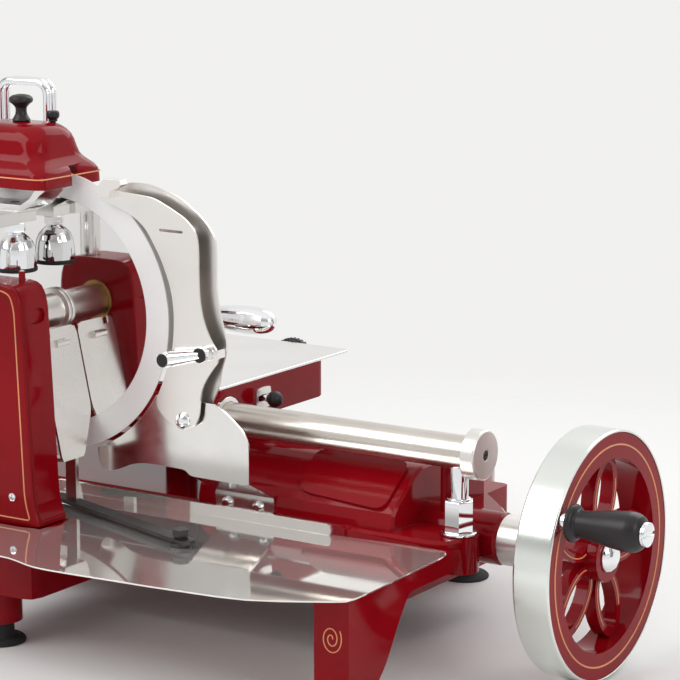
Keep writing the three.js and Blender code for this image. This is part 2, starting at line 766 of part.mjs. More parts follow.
function baseCavities() {
  const roof = DECK_Z - DECK_SKIN;
  const floor = HOUSING_BOTTOM_Z - OVERRUN;
  const armFloor = HOUSING_BOTTOM_Z + HOUSING_WALL;
  const armWall = LEFT_ARM_HALF_WIDTH - HOUSING_WALL;
  const armFront = LEFT_ARM_FRONT_Y + HOUSING_WALL;
  const armRear = HOUSING_FRONT_Y + 2 * HOUSING_WALL;
  return [
    box(
      [HOUSING_LEFT_X + HOUSING_WALL, HOUSING_FRONT_Y + HOUSING_WALL, floor],
      [HOUSING_RIGHT_X - HOUSING_WALL, HOUSING_REAR_Y - HOUSING_WALL, roof],
    ),
    plate("x", humpProfile(HOUSING_WALL), HUMP_LEFT_X + HOUSING_WALL, HOUSING_RIGHT_X - HOUSING_WALL),
    box([-armWall, armFront, armFloor], [armWall, armRear, ARM_Z - HOUSING_WALL]),
    box(
      [-armWall, LEFT_ARM_FRONT_Y + LEFT_ARM_FLOOR_REACH, floor],
      [armWall, armRear, armFloor + OVERRUN],
    ),
    box(
      [-SLOT_WIDTH / 2, SPROCKET_Y - SLOT_DEPTH / 2, armFloor],
      [SLOT_WIDTH / 2, SPROCKET_Y + SLOT_DEPTH / 2, ARM_Z + OVERRUN],
    ),
    box(
      [HOUSING_RIGHT_X + HOUSING_WALL, HOUSING_FRONT_Y + HOUSING_WALL, DECK_UNDERSIDE_Z - OVERRUN],
      [BASE_RIGHT_X - HOUSING_WALL, SHAFT_Y + PILLAR_BOSS_HEIGHT, roof],
    ),
  ];
}

function rearLeg(x) {
  const profile = [
    [0, LEG_BOTTOM_Z], [LEG_FOOT_RADIUS, LEG_BOTTOM_Z],
    [LEG_TOP_RADIUS, DECK_UNDERSIDE_Z + DECK_EDGE_BEVEL], [0, DECK_UNDERSIDE_Z + DECK_EDGE_BEVEL],
  ];
  return turned("z", [x, LEG_REAR_Y, 0], profile);
}

function baseAdditions() {
  const legHeight = ARM_Z - LEG_BOTTOM_Z;
  const armRoot = DECK_FRONT_Y + RIGHT_ARM_ROOT;
  const rightLegOutline = [
    ...fromShares(RIGHT_LEG_SHARES, [RIGHT_ARM_FRONT_Y, LEG_BOTTOM_Z], RIGHT_LEG_REACH, legHeight),
    [armRoot, ARM_Z - legHeight * RIGHT_ARM_DEPTH_SHARE], [armRoot, ARM_Z],
  ];
  const bosses = [PILLAR_RIGHT_X, PILLAR_LEFT_X].map((x) =>
    rod("z", [x, RAIL_Y, 0], PILLAR_BOSS_RADIUS, DECK_Z - PILLAR_BOSS_HEIGHT, DECK_Z),
  );
  const shaftHousing = turned("x", [0, SHAFT_Y, SHAFT_Z], [
    [0, HOUSING_RIGHT_X - HOUSING_WALL], [SHAFT_HOUSING_RADIUS, HOUSING_RIGHT_X - HOUSING_WALL],
    [SHAFT_HOUSING_RADIUS, SHAFT_HOUSING_END_X - SHAFT_HOUSING_LIP],
    [SHAFT_HOUSING_RADIUS - SHAFT_HOUSING_LIP / 2, SHAFT_HOUSING_END_X], [0, SHAFT_HOUSING_END_X],
  ]);
  const postRoot = DECK_Z - DECK_SKIN / 2;
  const post = rod("z", [BASE_POST_X, BASE_POST_Y, 0], BASE_POST_RADIUS, postRoot, -BASE_POST_TOP_DROP,
    COARSE);
  const frontFoot = turned("z", [0, FRONT_LEG_Y, 0], [
    [0, LEG_BOTTOM_Z], [LEG_FOOT_RADIUS, LEG_BOTTOM_Z],
    [LEG_FOOT_RADIUS, HOUSING_BOTTOM_Z + HOUSING_WALL / 2], [0, HOUSING_BOTTOM_Z + HOUSING_WALL / 2],
  ]);
  const roof = DECK_Z - DECK_SKIN / 2;
  const shaftLug = box(
    [SHAFT_LUG_X, SHAFT_Y - LUG_WIDTH / 2, SHAFT_Z - LUG_WIDTH / 2],
    [SHAFT_LUG_X + LUG_THICKNESS, SHAFT_Y + LUG_WIDTH / 2, -HUMP_TOP_DROP - HOUSING_WALL / 2],
  );
  const layLugs = [LAY_SHAFT_LEFT_X, LAY_SHAFT_RIGHT_X - LUG_THICKNESS].map((x) =>
    box(
      [x, LAY_Y - LUG_WIDTH / 2, LAY_Z - LUG_WIDTH / 2],
      [x + LUG_THICKNESS, LAY_Y + LUG_WIDTH / 2, x > 0 ? -HUMP_TOP_DROP - HOUSING_WALL / 2 : roof],
    ),
  );
  const crossLug = box(
    [-LUG_WIDTH / 2, CROSS_LUG_Y, CROSS_Z - LUG_WIDTH / 2],
    [LUG_WIDTH / 2, CROSS_LUG_Y + LUG_THICKNESS, roof],
  );
  return [
    plate("x", rightLegOutline, BASE_RIGHT_X - RIGHT_ARM_WIDTH, BASE_RIGHT_X,
      { radius: ARM_CORNER_RADIUS }),
    ...bosses, shaftHousing, post, frontFoot, rearLeg(LEG_RIGHT_X), rearLeg(LEG_LEFT_X),
    shaftLug, ...layLugs, crossLug,
  ];
}

function baseBores() {
  const bushRadius = SHAFT_RADIUS + SHAFT_BUSH_WALL + 2 * SEAT_GAP;
  const crossEnd = LEFT_ARM_FRONT_Y + HOUSING_WALL - CROSS_SHAFT_SEAT - SEAT_GAP;
  const pillarBores = [PILLAR_RIGHT_X, PILLAR_LEFT_X].map((x) =>
    rod("z", [x, RAIL_Y, 0], PILLAR_RADIUS + SEAT_GAP, DECK_Z - PILLAR_ROOT - SEAT_GAP, DECK_Z + OVERRUN),
  );
  const boltBores = [0, 1].map((i) =>
    rod(
      "y", [KNIFE_TAB_LEFT_X + PLATE_BOLT_INSET + i * PLATE_BOLT_PITCH, 0, plateBoltZ()],
      PLATE_BOLT_SHANK + SEAT_GAP, HOUSING_FRONT_Y - OVERRUN, HOUSING_FRONT_Y + HOUSING_WALL + OVERRUN,
      COARSE,
    ),
  );
  return [
    rod("x", [0, SHAFT_Y, SHAFT_Z], bushRadius, HOUSING_RIGHT_X - 2 * HOUSING_WALL,
      SHAFT_HOUSING_END_X + OVERRUN),
    rod("x", [0, SHAFT_Y, SHAFT_Z], SHAFT_RADIUS + SEAT_GAP, SHAFT_LUG_X - OVERRUN, MAIN_GEAR_X),
    rod("x", [0, LAY_Y, LAY_Z], LAY_SHAFT_RADIUS + SEAT_GAP, LAY_SHAFT_LEFT_X - OVERRUN,
      LAY_SHAFT_RIGHT_X + OVERRUN),
    rod("y", [0, 0, CROSS_Z], CROSS_SHAFT_RADIUS + SEAT_GAP, crossEnd,
      CROSS_LUG_Y + LUG_THICKNESS + OVERRUN),
    ...pillarBores, ...boltBores,
  ];
}

function plateBoltZ() {
  return -KNIFE_FLANGE_TOP_DROP - (KNIFE_FLANGE_HEIGHT * 3) / 4;
}

const shell = cut(baseShell(), ...baseCavities());
piece(machine, "base_casting", "redEnamel", cut(join(shell, ...baseAdditions()), ...baseBores()));

for (const [name, [x, y]] of Object.entries(FEET)) {
  piece(machine, name, "rubber", turned("z", [x, y, FLOOR_Z], [
    [0, 0], [FOOT_RIM_RADIUS, 0], [FOOT_RIM_RADIUS, FOOT_RIM_HEIGHT / 2],
    [FOOT_RIM_RADIUS - FOOT_RIM_HEIGHT / 2, FOOT_RIM_HEIGHT], [FOOT_HUB_RADIUS, FOOT_RIM_HEIGHT],
    [FOOT_HUB_RADIUS, FOOT_HEIGHT], [0, FOOT_HEIGHT],
  ]));
}

// Rail and pillars

const railBody = sleeve(
  "x", [0, RAIL_Y, RAIL_Z], RAIL_RADIUS, RAIL_RADIUS - RAIL_WALL, RAIL_LEFT_X, RAIL_RIGHT_X, MEDIUM,
);
const railHoles = [PILLAR_RIGHT_X, PILLAR_LEFT_X].map((x) =>
  rod("z", [x, RAIL_Y, 0], PILLAR_RADIUS + SEAT_GAP, RAIL_Z - RAIL_RADIUS - OVERRUN, RAIL_Z),
);
piece(machine, "rail_tube", "brushedSteel", cut(railBody, ...railHoles));

// An end cap of the rail, turned towards +X or -X, with its plug inside the tube.
function railCap(side) {
  const end = side > 0 ? RAIL_RIGHT_X : RAIL_LEFT_X;
  const near = end + side * SEAT_GAP;
  const profile = [
    [0, -CAP_PLUG_LENGTH], [RAIL_RADIUS - RAIL_WALL - SEAT_GAP, -CAP_PLUG_LENGTH],
    [RAIL_RADIUS - RAIL_WALL - SEAT_GAP, 0], [CAP_RADIUS, 0], [CAP_RADIUS, CAP_THICKNESS - CAP_BEVEL],
    [CAP_RADIUS - CAP_BEVEL, CAP_THICKNESS], [0, CAP_THICKNESS],
  ];
  const placed = side > 0 ? profile : profile.map(([r, a]) => [r, -a]).reverse();
  const body = turned("x", [near, RAIL_Y, RAIL_Z], placed);
  const face = near + side * CAP_THICKNESS;
  const low = Math.min(face, face - side * (CAP_SCREW_DEPTH + SEAT_GAP)) - (side < 0 ? OVERRUN : 0);
  const high = Math.max(face, face - side * (CAP_SCREW_DEPTH + SEAT_GAP)) + (side > 0 ? OVERRUN : 0);
  return cut(body, rod("x", [0, RAIL_Y, RAIL_Z], CAP_SCREW_RADIUS + SEAT_GAP, low, high, COARSE));
}

piece(machine, "rail_cap_right", "brushedSteel", railCap(1));
piece(machine, "rail_cap_left", "brushedSteel", railCap(-1));
for (const [side, x] of [["right", PILLAR_RIGHT_X], ["left", PILLAR_LEFT_X]]) {
  const collarLow = DECK_Z + SEAT_GAP;
  const collarTop = collarLow + PILLAR_WASHER_THICKNESS;
  piece(machine, `rail_pillar_${side}`, "chrome", join(
    rod("z", [x, RAIL_Y, 0], PILLAR_RADIUS, DECK_Z - PILLAR_ROOT, RAIL_Z - RAIL_RADIUS + PILLAR_ENTRY),
    rod("z", [x, RAIL_Y, 0], PILLAR_WASHER_RADIUS, collarLow, collarTop),
    plate("z", hexagon(PILLAR_NUT_ACROSS, x, RAIL_Y), collarTop, collarTop + PILLAR_NUT_HEIGHT),
  ));
}

// Gear train inside the base

const trainX = assembly(0, SHAFT_Y, SHAFT_Z);
const bushRadius = SHAFT_RADIUS + SHAFT_BUSH_WALL + SEAT_GAP;
piece(trainX, "main_shaft", "darkSteel", join(
  rod("x", CENTRE, SHAFT_RADIUS, SHAFT_LEFT_X, WHEEL_BACK_X + WHEEL_WIDTH - WHEEL_WEB_RECESS),
  toothed(
    "x", [0, 0], MAIN_GEAR_RADIUS, SPUR_TOOTH_DEPTH, MAIN_GEAR_TEETH, MAIN_GEAR_X,
    MAIN_GEAR_X + MAIN_GEAR_WIDTH,
  ),
));
piece(trainX, "shaft_bush", "bronze", sleeve(
  "x", CENTRE, bushRadius, SHAFT_RADIUS + SEAT_GAP, SHAFT_HOUSING_END_X - SHAFT_BUSH_LENGTH,
  SHAFT_HOUSING_END_X,
));

const layTrain = assembly(0, LAY_Y, LAY_Z);
const pinionX = MAIN_GEAR_X + MAIN_GEAR_WIDTH / 2 - LAY_PINION_WIDTH / 2;
piece(layTrain, "layshaft", "darkSteel", join(
  rod("x", CENTRE, LAY_SHAFT_RADIUS, LAY_SHAFT_LEFT_X, LAY_SHAFT_RIGHT_X),
  toothed(
    "x", [0, 0], LAY_PINION_RADIUS, SPUR_TOOTH_DEPTH, LAY_PINION_TEETH, pinionX,
    pinionX + LAY_PINION_WIDTH,
  ),
  toothed(
    "x", [0, 0], SKEW_GEAR_RADIUS, SPUR_TOOTH_DEPTH, SKEW_GEAR_TEETH, -SKEW_GEAR_WIDTH / 2,
    SKEW_GEAR_WIDTH / 2,
  ),
));

const crossTrain = assembly(0, 0, CROSS_Z);
const crossFrontY = LEFT_ARM_FRONT_Y + HOUSING_WALL - CROSS_SHAFT_SEAT;
const sprocketFrom = SPROCKET_Y - SPROCKET_WIDTH / 2;
const sprocketTo = SPROCKET_Y + SPROCKET_WIDTH / 2;
piece(crossTrain, "cross_shaft", "darkSteel", join(
  rod("y", CENTRE, CROSS_SHAFT_RADIUS, crossFrontY, CROSS_LUG_Y + LUG_THICKNESS),
  toothed(
    "y", [0, 0], SKEW_GEAR_RADIUS, SPUR_TOOTH_DEPTH, SKEW_GEAR_TEETH,
    LAY_Y - SKEW_GEAR_WIDTH / 2, LAY_Y + SKEW_GEAR_WIDTH / 2,
  ),
  toothed("y", [0, 0], SPROCKET_RADIUS, SPROCKET_TOOTH_DEPTH, SPROCKET_TEETH, sprocketFrom, sprocketTo),
));

// The chain's band round both sprockets, drawn as an outline at a distance from their axes.
function chainOutline(radius) {
  const steps = 10;
  const points = [];
  for (const [height, start] of [[0, 0], [CROSS_Z, Math.PI]]) {
    for (let i = 0; i <= steps; i++) {
      const angle = start + (i * Math.PI) / steps;
      points.push([radius * Math.cos(angle), height + radius * Math.sin(angle)]);
    }
  }
  return points;
}

const chainInner = SPROCKET_RADIUS + SEAT_GAP;
const chainFrom = SPROCKET_Y - CHAIN_WIDTH / 2;
const chainTo = SPROCKET_Y + CHAIN_WIDTH / 2;
piece(machine, "drive_chain", "darkSteel", cut(
  plate("y", chainOutline(chainInner + CHAIN_THICKNESS), chainFrom, chainTo),
  plate("y", chainOutline(chainInner), chainFrom - OVERRUN, chainTo + OVERRUN),
));

// Blade and spindle

const blade = assembly(0, 0, 0);
const hubFaceY = -BLADE_FACE_Y - SEAT_GAP;
const journalStartY = COLUMN_BACK_Y + BEARING_FLANGE_THICKNESS + 2 * SEAT_GAP;
piece(blade, "blade", "polishedSteel", cut(
  turned("y", CENTRE, [
    [0, -BLADE_FACE_Y], [BLADE_RADIUS - BLADE_BEVEL_WIDTH, -BLADE_FACE_Y],
    [BLADE_RADIUS, -BLADE_EDGE_THICKNESS / 2],
    [BLADE_RADIUS, BLADE_EDGE_THICKNESS / 2], [BLADE_RADIUS - BLADE_BEVEL_WIDTH, BLADE_FACE_Y],
    [0, BLADE_FACE_Y],
  ], FINE),
  rod("y", CENTRE, BLADE_BORE_RADIUS, -OVERRUN, OVERRUN),
));
piece(blade, "blade_spindle", "brushedSteel", join(turned("y", CENTRE, [
  [0, sprocketFrom - SEAT_GAP - SPROCKET_WIDTH],
  [SPINDLE_TAIL_RADIUS, sprocketFrom - SEAT_GAP - SPROCKET_WIDTH],
  [SPINDLE_TAIL_RADIUS, sprocketTo + SEAT_GAP], [JOURNAL_RADIUS, sprocketTo + SEAT_GAP],
  [JOURNAL_RADIUS, journalStartY], [HUB_RADIUS, journalStartY],
  [HUB_RADIUS, hubFaceY - HUB_FLANGE_THICKNESS], [HUB_FLANGE_RADIUS, hubFaceY - HUB_FLANGE_THICKNESS],
  [HUB_FLANGE_RADIUS, hubFaceY], [BLADE_BORE_RADIUS - SEAT_GAP, hubFaceY],
  [BLADE_BORE_RADIUS - SEAT_GAP, BLADE_FACE_Y], [0, BLADE_FACE_Y],
]), toothed(
  "y", [0, 0], SPROCKET_RADIUS, SPROCKET_TOOTH_DEPTH, SPROCKET_TEETH, sprocketFrom, sprocketTo,
)));
piece(blade, "blade_centre_screw", "chrome", turned("y", CENTRE, [
  [0, BLADE_FACE_Y + SEAT_GAP], [BLADE_SCREW_RADIUS, BLADE_FACE_Y + SEAT_GAP],
  [BLADE_SCREW_RADIUS * 0.8, BLADE_FACE_Y + SEAT_GAP + BLADE_SCREW_DOME * 0.7],
  [0, BLADE_FACE_Y + SEAT_GAP + BLADE_SCREW_DOME],
]));
const bearingSleeveRadius = JOURNAL_RADIUS + SEAT_GAP + BEARING_WALL;
piece(machine, "spindle_bearing", "bronze", cut(
  turned("y", CENTRE, [
    [0, COLUMN_BACK_Y + SEAT_GAP - BEARING_LENGTH],
    [bearingSleeveRadius, COLUMN_BACK_Y + SEAT_GAP - BEARING_LENGTH],
    [bearingSleeveRadius, COLUMN_BACK_Y + SEAT_GAP], [BEARING_FLANGE_RADIUS, COLUMN_BACK_Y + SEAT_GAP],
    [BEARING_FLANGE_RADIUS, COLUMN_BACK_Y + SEAT_GAP + BEARING_FLANGE_THICKNESS],
    [0, COLUMN_BACK_Y + SEAT_GAP + BEARING_FLANGE_THICKNESS],
  ]),
  rod("y", CENTRE, JOURNAL_RADIUS + SEAT_GAP, COLUMN_FRONT_Y, 0),
));

// Knife column

// One side of the column's outline as shares of its half width and height
const COLUMN_SIDE_SHARES = [[1.18, 0], [1.06, 0.06], [1, 0.13], [0.83, 0.917], [0.72, 0.985], [0.5, 1]];

function columnOutline(inset, lowest) {
  const halfWidth = COLUMN_HALF_WIDTH - inset;
  const low = -COLUMN_FOOT_DROP;
  const height = COLUMN_TOP_RISE - inset - low;
  const right = COLUMN_SIDE_SHARES.map(([a, b]) => [a * halfWidth, low + b * height]);
  const left = right.map(([x, z]) => [-x, z]).reverse();
  const outline = [...right, ...left];
  return lowest < low ? [[right[0][0], lowest], ...outline, [left.at(-1)[0], lowest]] : outline;
}

const columnSeamY = COLUMN_FRONT_Y + COLUMN_COVER_THICKNESS;
const columnLook = { radius: COLUMN_CORNER_RADIUS, bevel: COLUMN_EDGE_BEVEL };
const pocketX = COLUMN_HALF_WIDTH * COLUMN_SIDE_SHARES[3][0];
const pocketOutline = rectangle(
  (columnSeamY + COLUMN_BACK_Y - COLUMN_POCKET_LENGTH) / 2,
  (columnSeamY + COLUMN_BACK_Y + COLUMN_POCKET_LENGTH) / 2,
  COLUMN_POCKET_DROP, COLUMN_POCKET_DROP + COLUMN_POCKET_HEIGHT,
);
const topPin = rod(
  "z", [TOP_HOOK_X, (COLUMN_FRONT_Y + COLUMN_BACK_Y) / 2, COLUMN_TOP_RISE], TOP_HOOK_RADIUS,
  -COLUMN_EDGE_BEVEL - COLUMN_WALL / 2, TOP_HOOK_HEIGHT, COARSE,
);
piece(machine, "knife_column", "redEnamel", cut(
  join(plate("y", columnOutline(0, 0), columnSeamY + SEAT_GAP, COLUMN_BACK_Y, columnLook), topPin),
  plate("y", columnOutline(COLUMN_WALL, -COLUMN_FOOT_DROP - OVERRUN), COLUMN_FRONT_Y,
    COLUMN_BACK_Y - COLUMN_WALL),
  rod("y", CENTRE, bearingSleeveRadius + SEAT_GAP, COLUMN_FRONT_Y, 0),
  plate("x", pocketOutline, pocketX - COLUMN_POCKET_DEPTH, pocketX + OVERRUN,
    { radius: COLUMN_POCKET_HEIGHT / 2 }),
));
piece(machine, "column_cover", "redEnamel",
  plate("y", columnOutline(0, 0), COLUMN_FRONT_Y, columnSeamY, columnLook));

// Tray

// The tray's outline as shares of its length and depth from the front left
const TRAY_SHARES = [
  [0.06, 0.1], [0.3, 0.055], [0.36, 0.055], [0.41, 0.015], [0.45, 0], [0.67, 0.031], [0.85, 0.072],
  [0.985, 0.235], [1, 0.272], [0.989, 0.978], [0.959, 1], [0.752, 0.957], [0.119, 0.957], [0.119, 0.614],
  [0.295, 0.614], [0.295, 0.403], [0, 0.403], [0, 0.22],
];

const trayTop = -TRAY_DROP;
const trayOutline = fromShares(
  TRAY_SHARES, [TRAY_LEFT_X, TRAY_FRONT_Y], TRAY_RIGHT_X - TRAY_LEFT_X, TRAY_REAR_Y - TRAY_FRONT_Y,
);
const footHalfWidth = COLUMN_SIDE_SHARES[0][0] * COLUMN_HALF_WIDTH + TRAY_FOOT_CLEARANCE;
const lipOutline = rectangle(LIP_LEFT_X, LIP_RIGHT_X, trayTop - TRAY_THICKNESS / 2, trayTop + LIP_HEIGHT);
const trayFoot = box(
  [TRAY_LEFT_X - OVERRUN, COLUMN_FRONT_Y - 2 * TRAY_FOOT_CLEARANCE, trayTop - OVERRUN],
  [footHalfWidth, COLUMN_BACK_Y + TRAY_FOOT_CLEARANCE, trayTop + OVERRUN],
);
piece(machine, "receiving_tray", "polishedSteel", join(
  cut(
    plate("z", trayOutline, trayTop - TRAY_THICKNESS, trayTop, { radius: TRAY_CORNER_RADIUS }), trayFoot,
    rod("z", [STUD_X, STUD_Y, 0], STUD_POST_RADIUS + SEAT_GAP, trayTop - OVERRUN, trayTop + OVERRUN,
      COARSE),
  ),
  plate("y", lipOutline, LIP_Y, LIP_Y + LIP_THICKNESS, { radius: LIP_CORNER_RADIUS }),
));

// Lower knife plate

// The knife plate's outline as shares of its width and height from the lower left
const KNIFE_PLATE_SHARES = [
  [0.01, 0.126], [0.036, 0.025], [0.105, 0.027], [0.166, 0.075], [0.221, 0.132], [0.289, 0.17],
  [0.376, 0.183], [0.581, 0.176], [0.601, 0.152], [0.62, 0.111], [1, 0.102], [1, 0.572], [0.966, 0.723],
  [0.909, 0.824], [0.832, 0.943], [0.788, 0.99], [0.736, 1], [0.3, 1], [0, 0.4],
];

const knifeOutline = fromShares(
  KNIFE_PLATE_SHARES, [KNIFE_PLATE_LEFT_X, -KNIFE_PLATE_BOTTOM_DROP],
  KNIFE_PLATE_RIGHT_X - KNIFE_PLATE_LEFT_X, KNIFE_PLATE_BOTTOM_DROP - KNIFE_PLATE_TOP_DROP,
);
const knifeTabZ = -KNIFE_TAB_DROP;
const flangeFrontY = KNIFE_FLANGE_Y - KNIFE_PLATE_THICKNESS;
const flangeTopZ = -KNIFE_FLANGE_TOP_DROP;
const flangeOutline = rectangle(KNIFE_TAB_LEFT_X, KNIFE_PLATE_RIGHT_X, flangeTopZ - KNIFE_FLANGE_HEIGHT,
  flangeTopZ);
const tabOutline = [
  [-KNIFE_PLATE_THICKNESS / 2, knifeTabZ + KNIFE_PLATE_THICKNESS],
  [-KNIFE_PLATE_THICKNESS / 2, knifeTabZ],
  [flangeFrontY, flangeTopZ - KNIFE_PLATE_THICKNESS],
  [KNIFE_FLANGE_Y, flangeTopZ - KNIFE_PLATE_THICKNESS],
  [KNIFE_FLANGE_Y, flangeTopZ], [0, knifeTabZ + KNIFE_PLATE_THICKNESS],
];
const pivotAt = [GUARD_PIVOT_X, 0, -GUARD_PIVOT_DROP];
const boltPlaces = [0, 1].map((i) => [
  KNIFE_TAB_LEFT_X + PLATE_BOLT_INSET + i * PLATE_BOLT_PITCH, 0, plateBoltZ(),
]);
piece(machine, "lower_knife_plate", "brushedSteel", cut(
  join(
    plate("y", knifeOutline, -KNIFE_PLATE_THICKNESS / 2, KNIFE_PLATE_THICKNESS / 2,
      { radius: KNIFE_CORNER_RADIUS }),
    plate("x", tabOutline, KNIFE_TAB_LEFT_X, KNIFE_PLATE_RIGHT_X),
    plate("y", flangeOutline, flangeFrontY, KNIFE_FLANGE_Y, { radius: KNIFE_CORNER_RADIUS }),
  ),
  rod("y", CENTRE, BLADE_RADIUS + KNIFE_PLATE_RELIEF, -OVERRUN, OVERRUN, RIM),
  rod("y", pivotAt, PIVOT_SHANK_RADIUS + SEAT_GAP, -OVERRUN, OVERRUN, COARSE),
  ...boltPlaces.map((at) =>
    rod("y", at, PLATE_BOLT_SHANK + SEAT_GAP, flangeFrontY - OVERRUN, KNIFE_FLANGE_Y + OVERRUN, COARSE)),
));

boltPlaces.forEach((at, i) => {
  const headY = flangeFrontY - SEAT_GAP;
  piece(machine, `plate_bolt_${i + 1}`, "chrome", turned("y", at, [
    [0, headY - PLATE_BOLT_HEAD], [PLATE_BOLT_RADIUS * 0.6, headY - PLATE_BOLT_HEAD * 0.85],
    [PLATE_BOLT_RADIUS, headY - PLATE_BOLT_HEAD * 0.3], [PLATE_BOLT_RADIUS, headY],
    [PLATE_BOLT_SHANK, headY], [PLATE_BOLT_SHANK, KNIFE_FLANGE_Y + PLATE_BOLT_ROOT],
    [0, KNIFE_FLANGE_Y + PLATE_BOLT_ROOT],
  ], COARSE));
});

// Blade guard

// The guard plates' edges as shares of the guard's width and height from the lower left: the front
// plate's whole edge, and the rear plate's outer one
const GUARD_FRONT_SHARES = [
  [0.042, 0.973], [0.25, 0.962], [0.475, 0.952], [0.636, 0.909], [0.736, 0.878], [0.823, 0.828],
  [0.838, 0.758], [0.836, 0.656], [0.842, 0.555], [0.868, 0.475], [0.927, 0.397], [0.982, 0.351],
  [0.997, 0.316], [0.924, 0.261], [0.867, 0.208], [0.842, 0.161], [0.832, 0.077], [0.807, 0.042],
  [0.758, 0.02], [0.692, 0.013], [0.611, 0.023], [0.513, 0.066], [0.473, 0.109], [0.516, 0.162],
  [0.567, 0.241], [0.622, 0.336], [0.637, 0.44], [0.633, 0.52], [0.608, 0.6], [0.529, 0.713],
  [0.41, 0.827], [0.3, 0.873], [0.165, 0.903], [0.041, 0.921],
];
const GUARD_REAR_SHARES = [
  [0.04, 0.93], [0.13, 0.98], [0.227, 0.998], [0.392, 0.997], [0.514, 0.978], [0.635, 0.951],
  [0.715, 0.919], [0.794, 0.886], [0.857, 0.849], [0.897, 0.814], [0.92, 0.775], [0.917, 0.592],
  [0.939, 0.512], [0.978, 0.424], [1, 0.374], [0.984, 0.318], [0.951, 0.266], [0.938, 0.204], [0.86, 0.1],
  [0.75, 0.02], [0.65, 0.01], [0.62, 0.1], [0.5, 0.3],
];
const guardWidth = GUARD_RIGHT_X - GUARD_LEFT_X;
const guardHeight = GUARD_TOP_RISE + GUARD_BOTTOM_DROP;
const guardFrontY = -BLADE_FACE_Y - GUARD_GAP_TO_BLADE;
const guardRearY = BLADE_FACE_Y + GUARD_GAP_TO_BLADE;
const slotHalf = GUARD_SLOT_LENGTH / 2;
const leverAt = [LEVER_PIVOT_X, guardFrontY - GUARD_THICKNESS, -LEVER_PIVOT_DROP];

function guardPlate(shares, from, to) {
  const outline = fromShares(shares, [GUARD_LEFT_X, -GUARD_BOTTOM_DROP], guardWidth, guardHeight);
  const spacerStart = from > 0 ? KNIFE_PLATE_THICKNESS / 2 + SEAT_GAP : to - SEAT_GAP;
  const spacerEnd = from > 0 ? from + SEAT_GAP : -KNIFE_PLATE_THICKNESS / 2 - SEAT_GAP;
  return cut(
    join(
      plate("y", outline, from, to, { radius: GUARD_CORNER_RADIUS, steps: GUARD_CORNER_FACETS }),
      rod("y", pivotAt, SPACER_RADIUS, spacerStart, spacerEnd, COARSE),
    ),
    rod("y", pivotAt, PIVOT_SHANK_RADIUS + SEAT_GAP, from - 2 * OVERRUN, to + 2 * OVERRUN, COARSE),
  );
}

const slotOutline = rectangle(
  GUARD_SLOT_X - slotHalf, GUARD_SLOT_X + slotHalf, GUARD_SLOT_RISE, GUARD_SLOT_RISE + GUARD_SLOT_HEIGHT,
);
const bridge = box(
  [BRIDGE_X - BRIDGE_WIDTH / 2, guardFrontY - GUARD_THICKNESS, BRIDGE_RISE - BRIDGE_HEIGHT / 2],
  [BRIDGE_X + BRIDGE_WIDTH / 2, guardRearY - SEAT_GAP, BRIDGE_RISE + BRIDGE_HEIGHT / 2],
);
const bracketOutline = fromShares(
  [[0, 0.1], [0.45, 0], [0.5, 0.35], [1, 0.75], [0.93, 1], [0.25, 1], [0, 0.6]],
  [BRACKET_X - BRACKET_LENGTH / 2, BRACKET_RISE - BRACKET_HEIGHT / 2], BRACKET_LENGTH, BRACKET_HEIGHT,
);
const bracket = plate("y", bracketOutline, guardFrontY - GUARD_THICKNESS - BRACKET_THICKNESS,
  guardFrontY);
piece(machine, "guard_front_plate", "polishedSteel", cut(
  join(guardPlate(GUARD_FRONT_SHARES, guardFrontY - GUARD_THICKNESS, guardFrontY), bridge, bracket),
  plate("y", slotOutline, guardFrontY - OVERRUN, guardFrontY + OVERRUN,
    { radius: GUARD_SLOT_HEIGHT / 2 }),
  rod("y", leverAt, STUD_HEAD_HEIGHT / 2 + SEAT_GAP, -OVERRUN, 2 * OVERRUN, COARSE),
));
piece(machine, "guard_rear_plate", "brushedSteel", cut(
  guardPlate(GUARD_REAR_SHARES, guardRearY, guardRearY + GUARD_THICKNESS),
  rod("y", CENTRE, GUARD_INNER_RADIUS, guardRearY - OVERRUN, guardRearY + OVERRUN, RIM),
));

const pivotHeadY = guardFrontY - GUARD_THICKNESS - SEAT_GAP;
piece(machine, "guard_pivot_bolt", "chrome", turned("y", pivotAt, [
  [0, pivotHeadY - PIVOT_HEAD_HEIGHT], [PIVOT_HEAD_RADIUS * 0.55, pivotHeadY - PIVOT_HEAD_HEIGHT * 0.85],
  [PIVOT_HEAD_RADIUS, pivotHeadY - PIVOT_HEAD_HEIGHT * 0.3], [PIVOT_HEAD_RADIUS, pivotHeadY],
  [PIVOT_SHANK_RADIUS, pivotHeadY], [PIVOT_SHANK_RADIUS, guardRearY + GUARD_THICKNESS + SEAT_GAP],
  [0, guardRearY + GUARD_THICKNESS + SEAT_GAP],
]));

// Clamp lever of the guard
const leverGroup = assembly(LEVER_PIVOT_X, pivotHeadY, -LEVER_PIVOT_DROP);
const leverWay = radians(LEVER_ANGLE_DEG);
const leverMidY = -LEVER_DISC_THICKNESS * 0.7;
const leverEnd = [LEVER_LENGTH * Math.cos(leverWay), leverMidY, LEVER_LENGTH * Math.sin(leverWay)];
const leverDisc = turned("y", CENTRE, [
  [0, -LEVER_DISC_THICKNESS], [LEVER_DISC_RADIUS * 0.8, -LEVER_DISC_THICKNESS],
  [LEVER_DISC_RADIUS, -LEVER_DISC_THICKNESS * 0.8], [LEVER_DISC_RADIUS, 0], [0, 0],
], COARSE);
const knobShare = 1 + (LEVER_KNOB_RADIUS * 0.8) / LEVER_LENGTH;
const knobCentre = [leverEnd[0] * knobShare, leverMidY, leverEnd[2] * knobShare];
const leverStud = rod("y", CENTRE, STUD_HEAD_HEIGHT / 2, -SEAT_GAP, SEAT_GAP + GUARD_THICKNESS, COARSE);
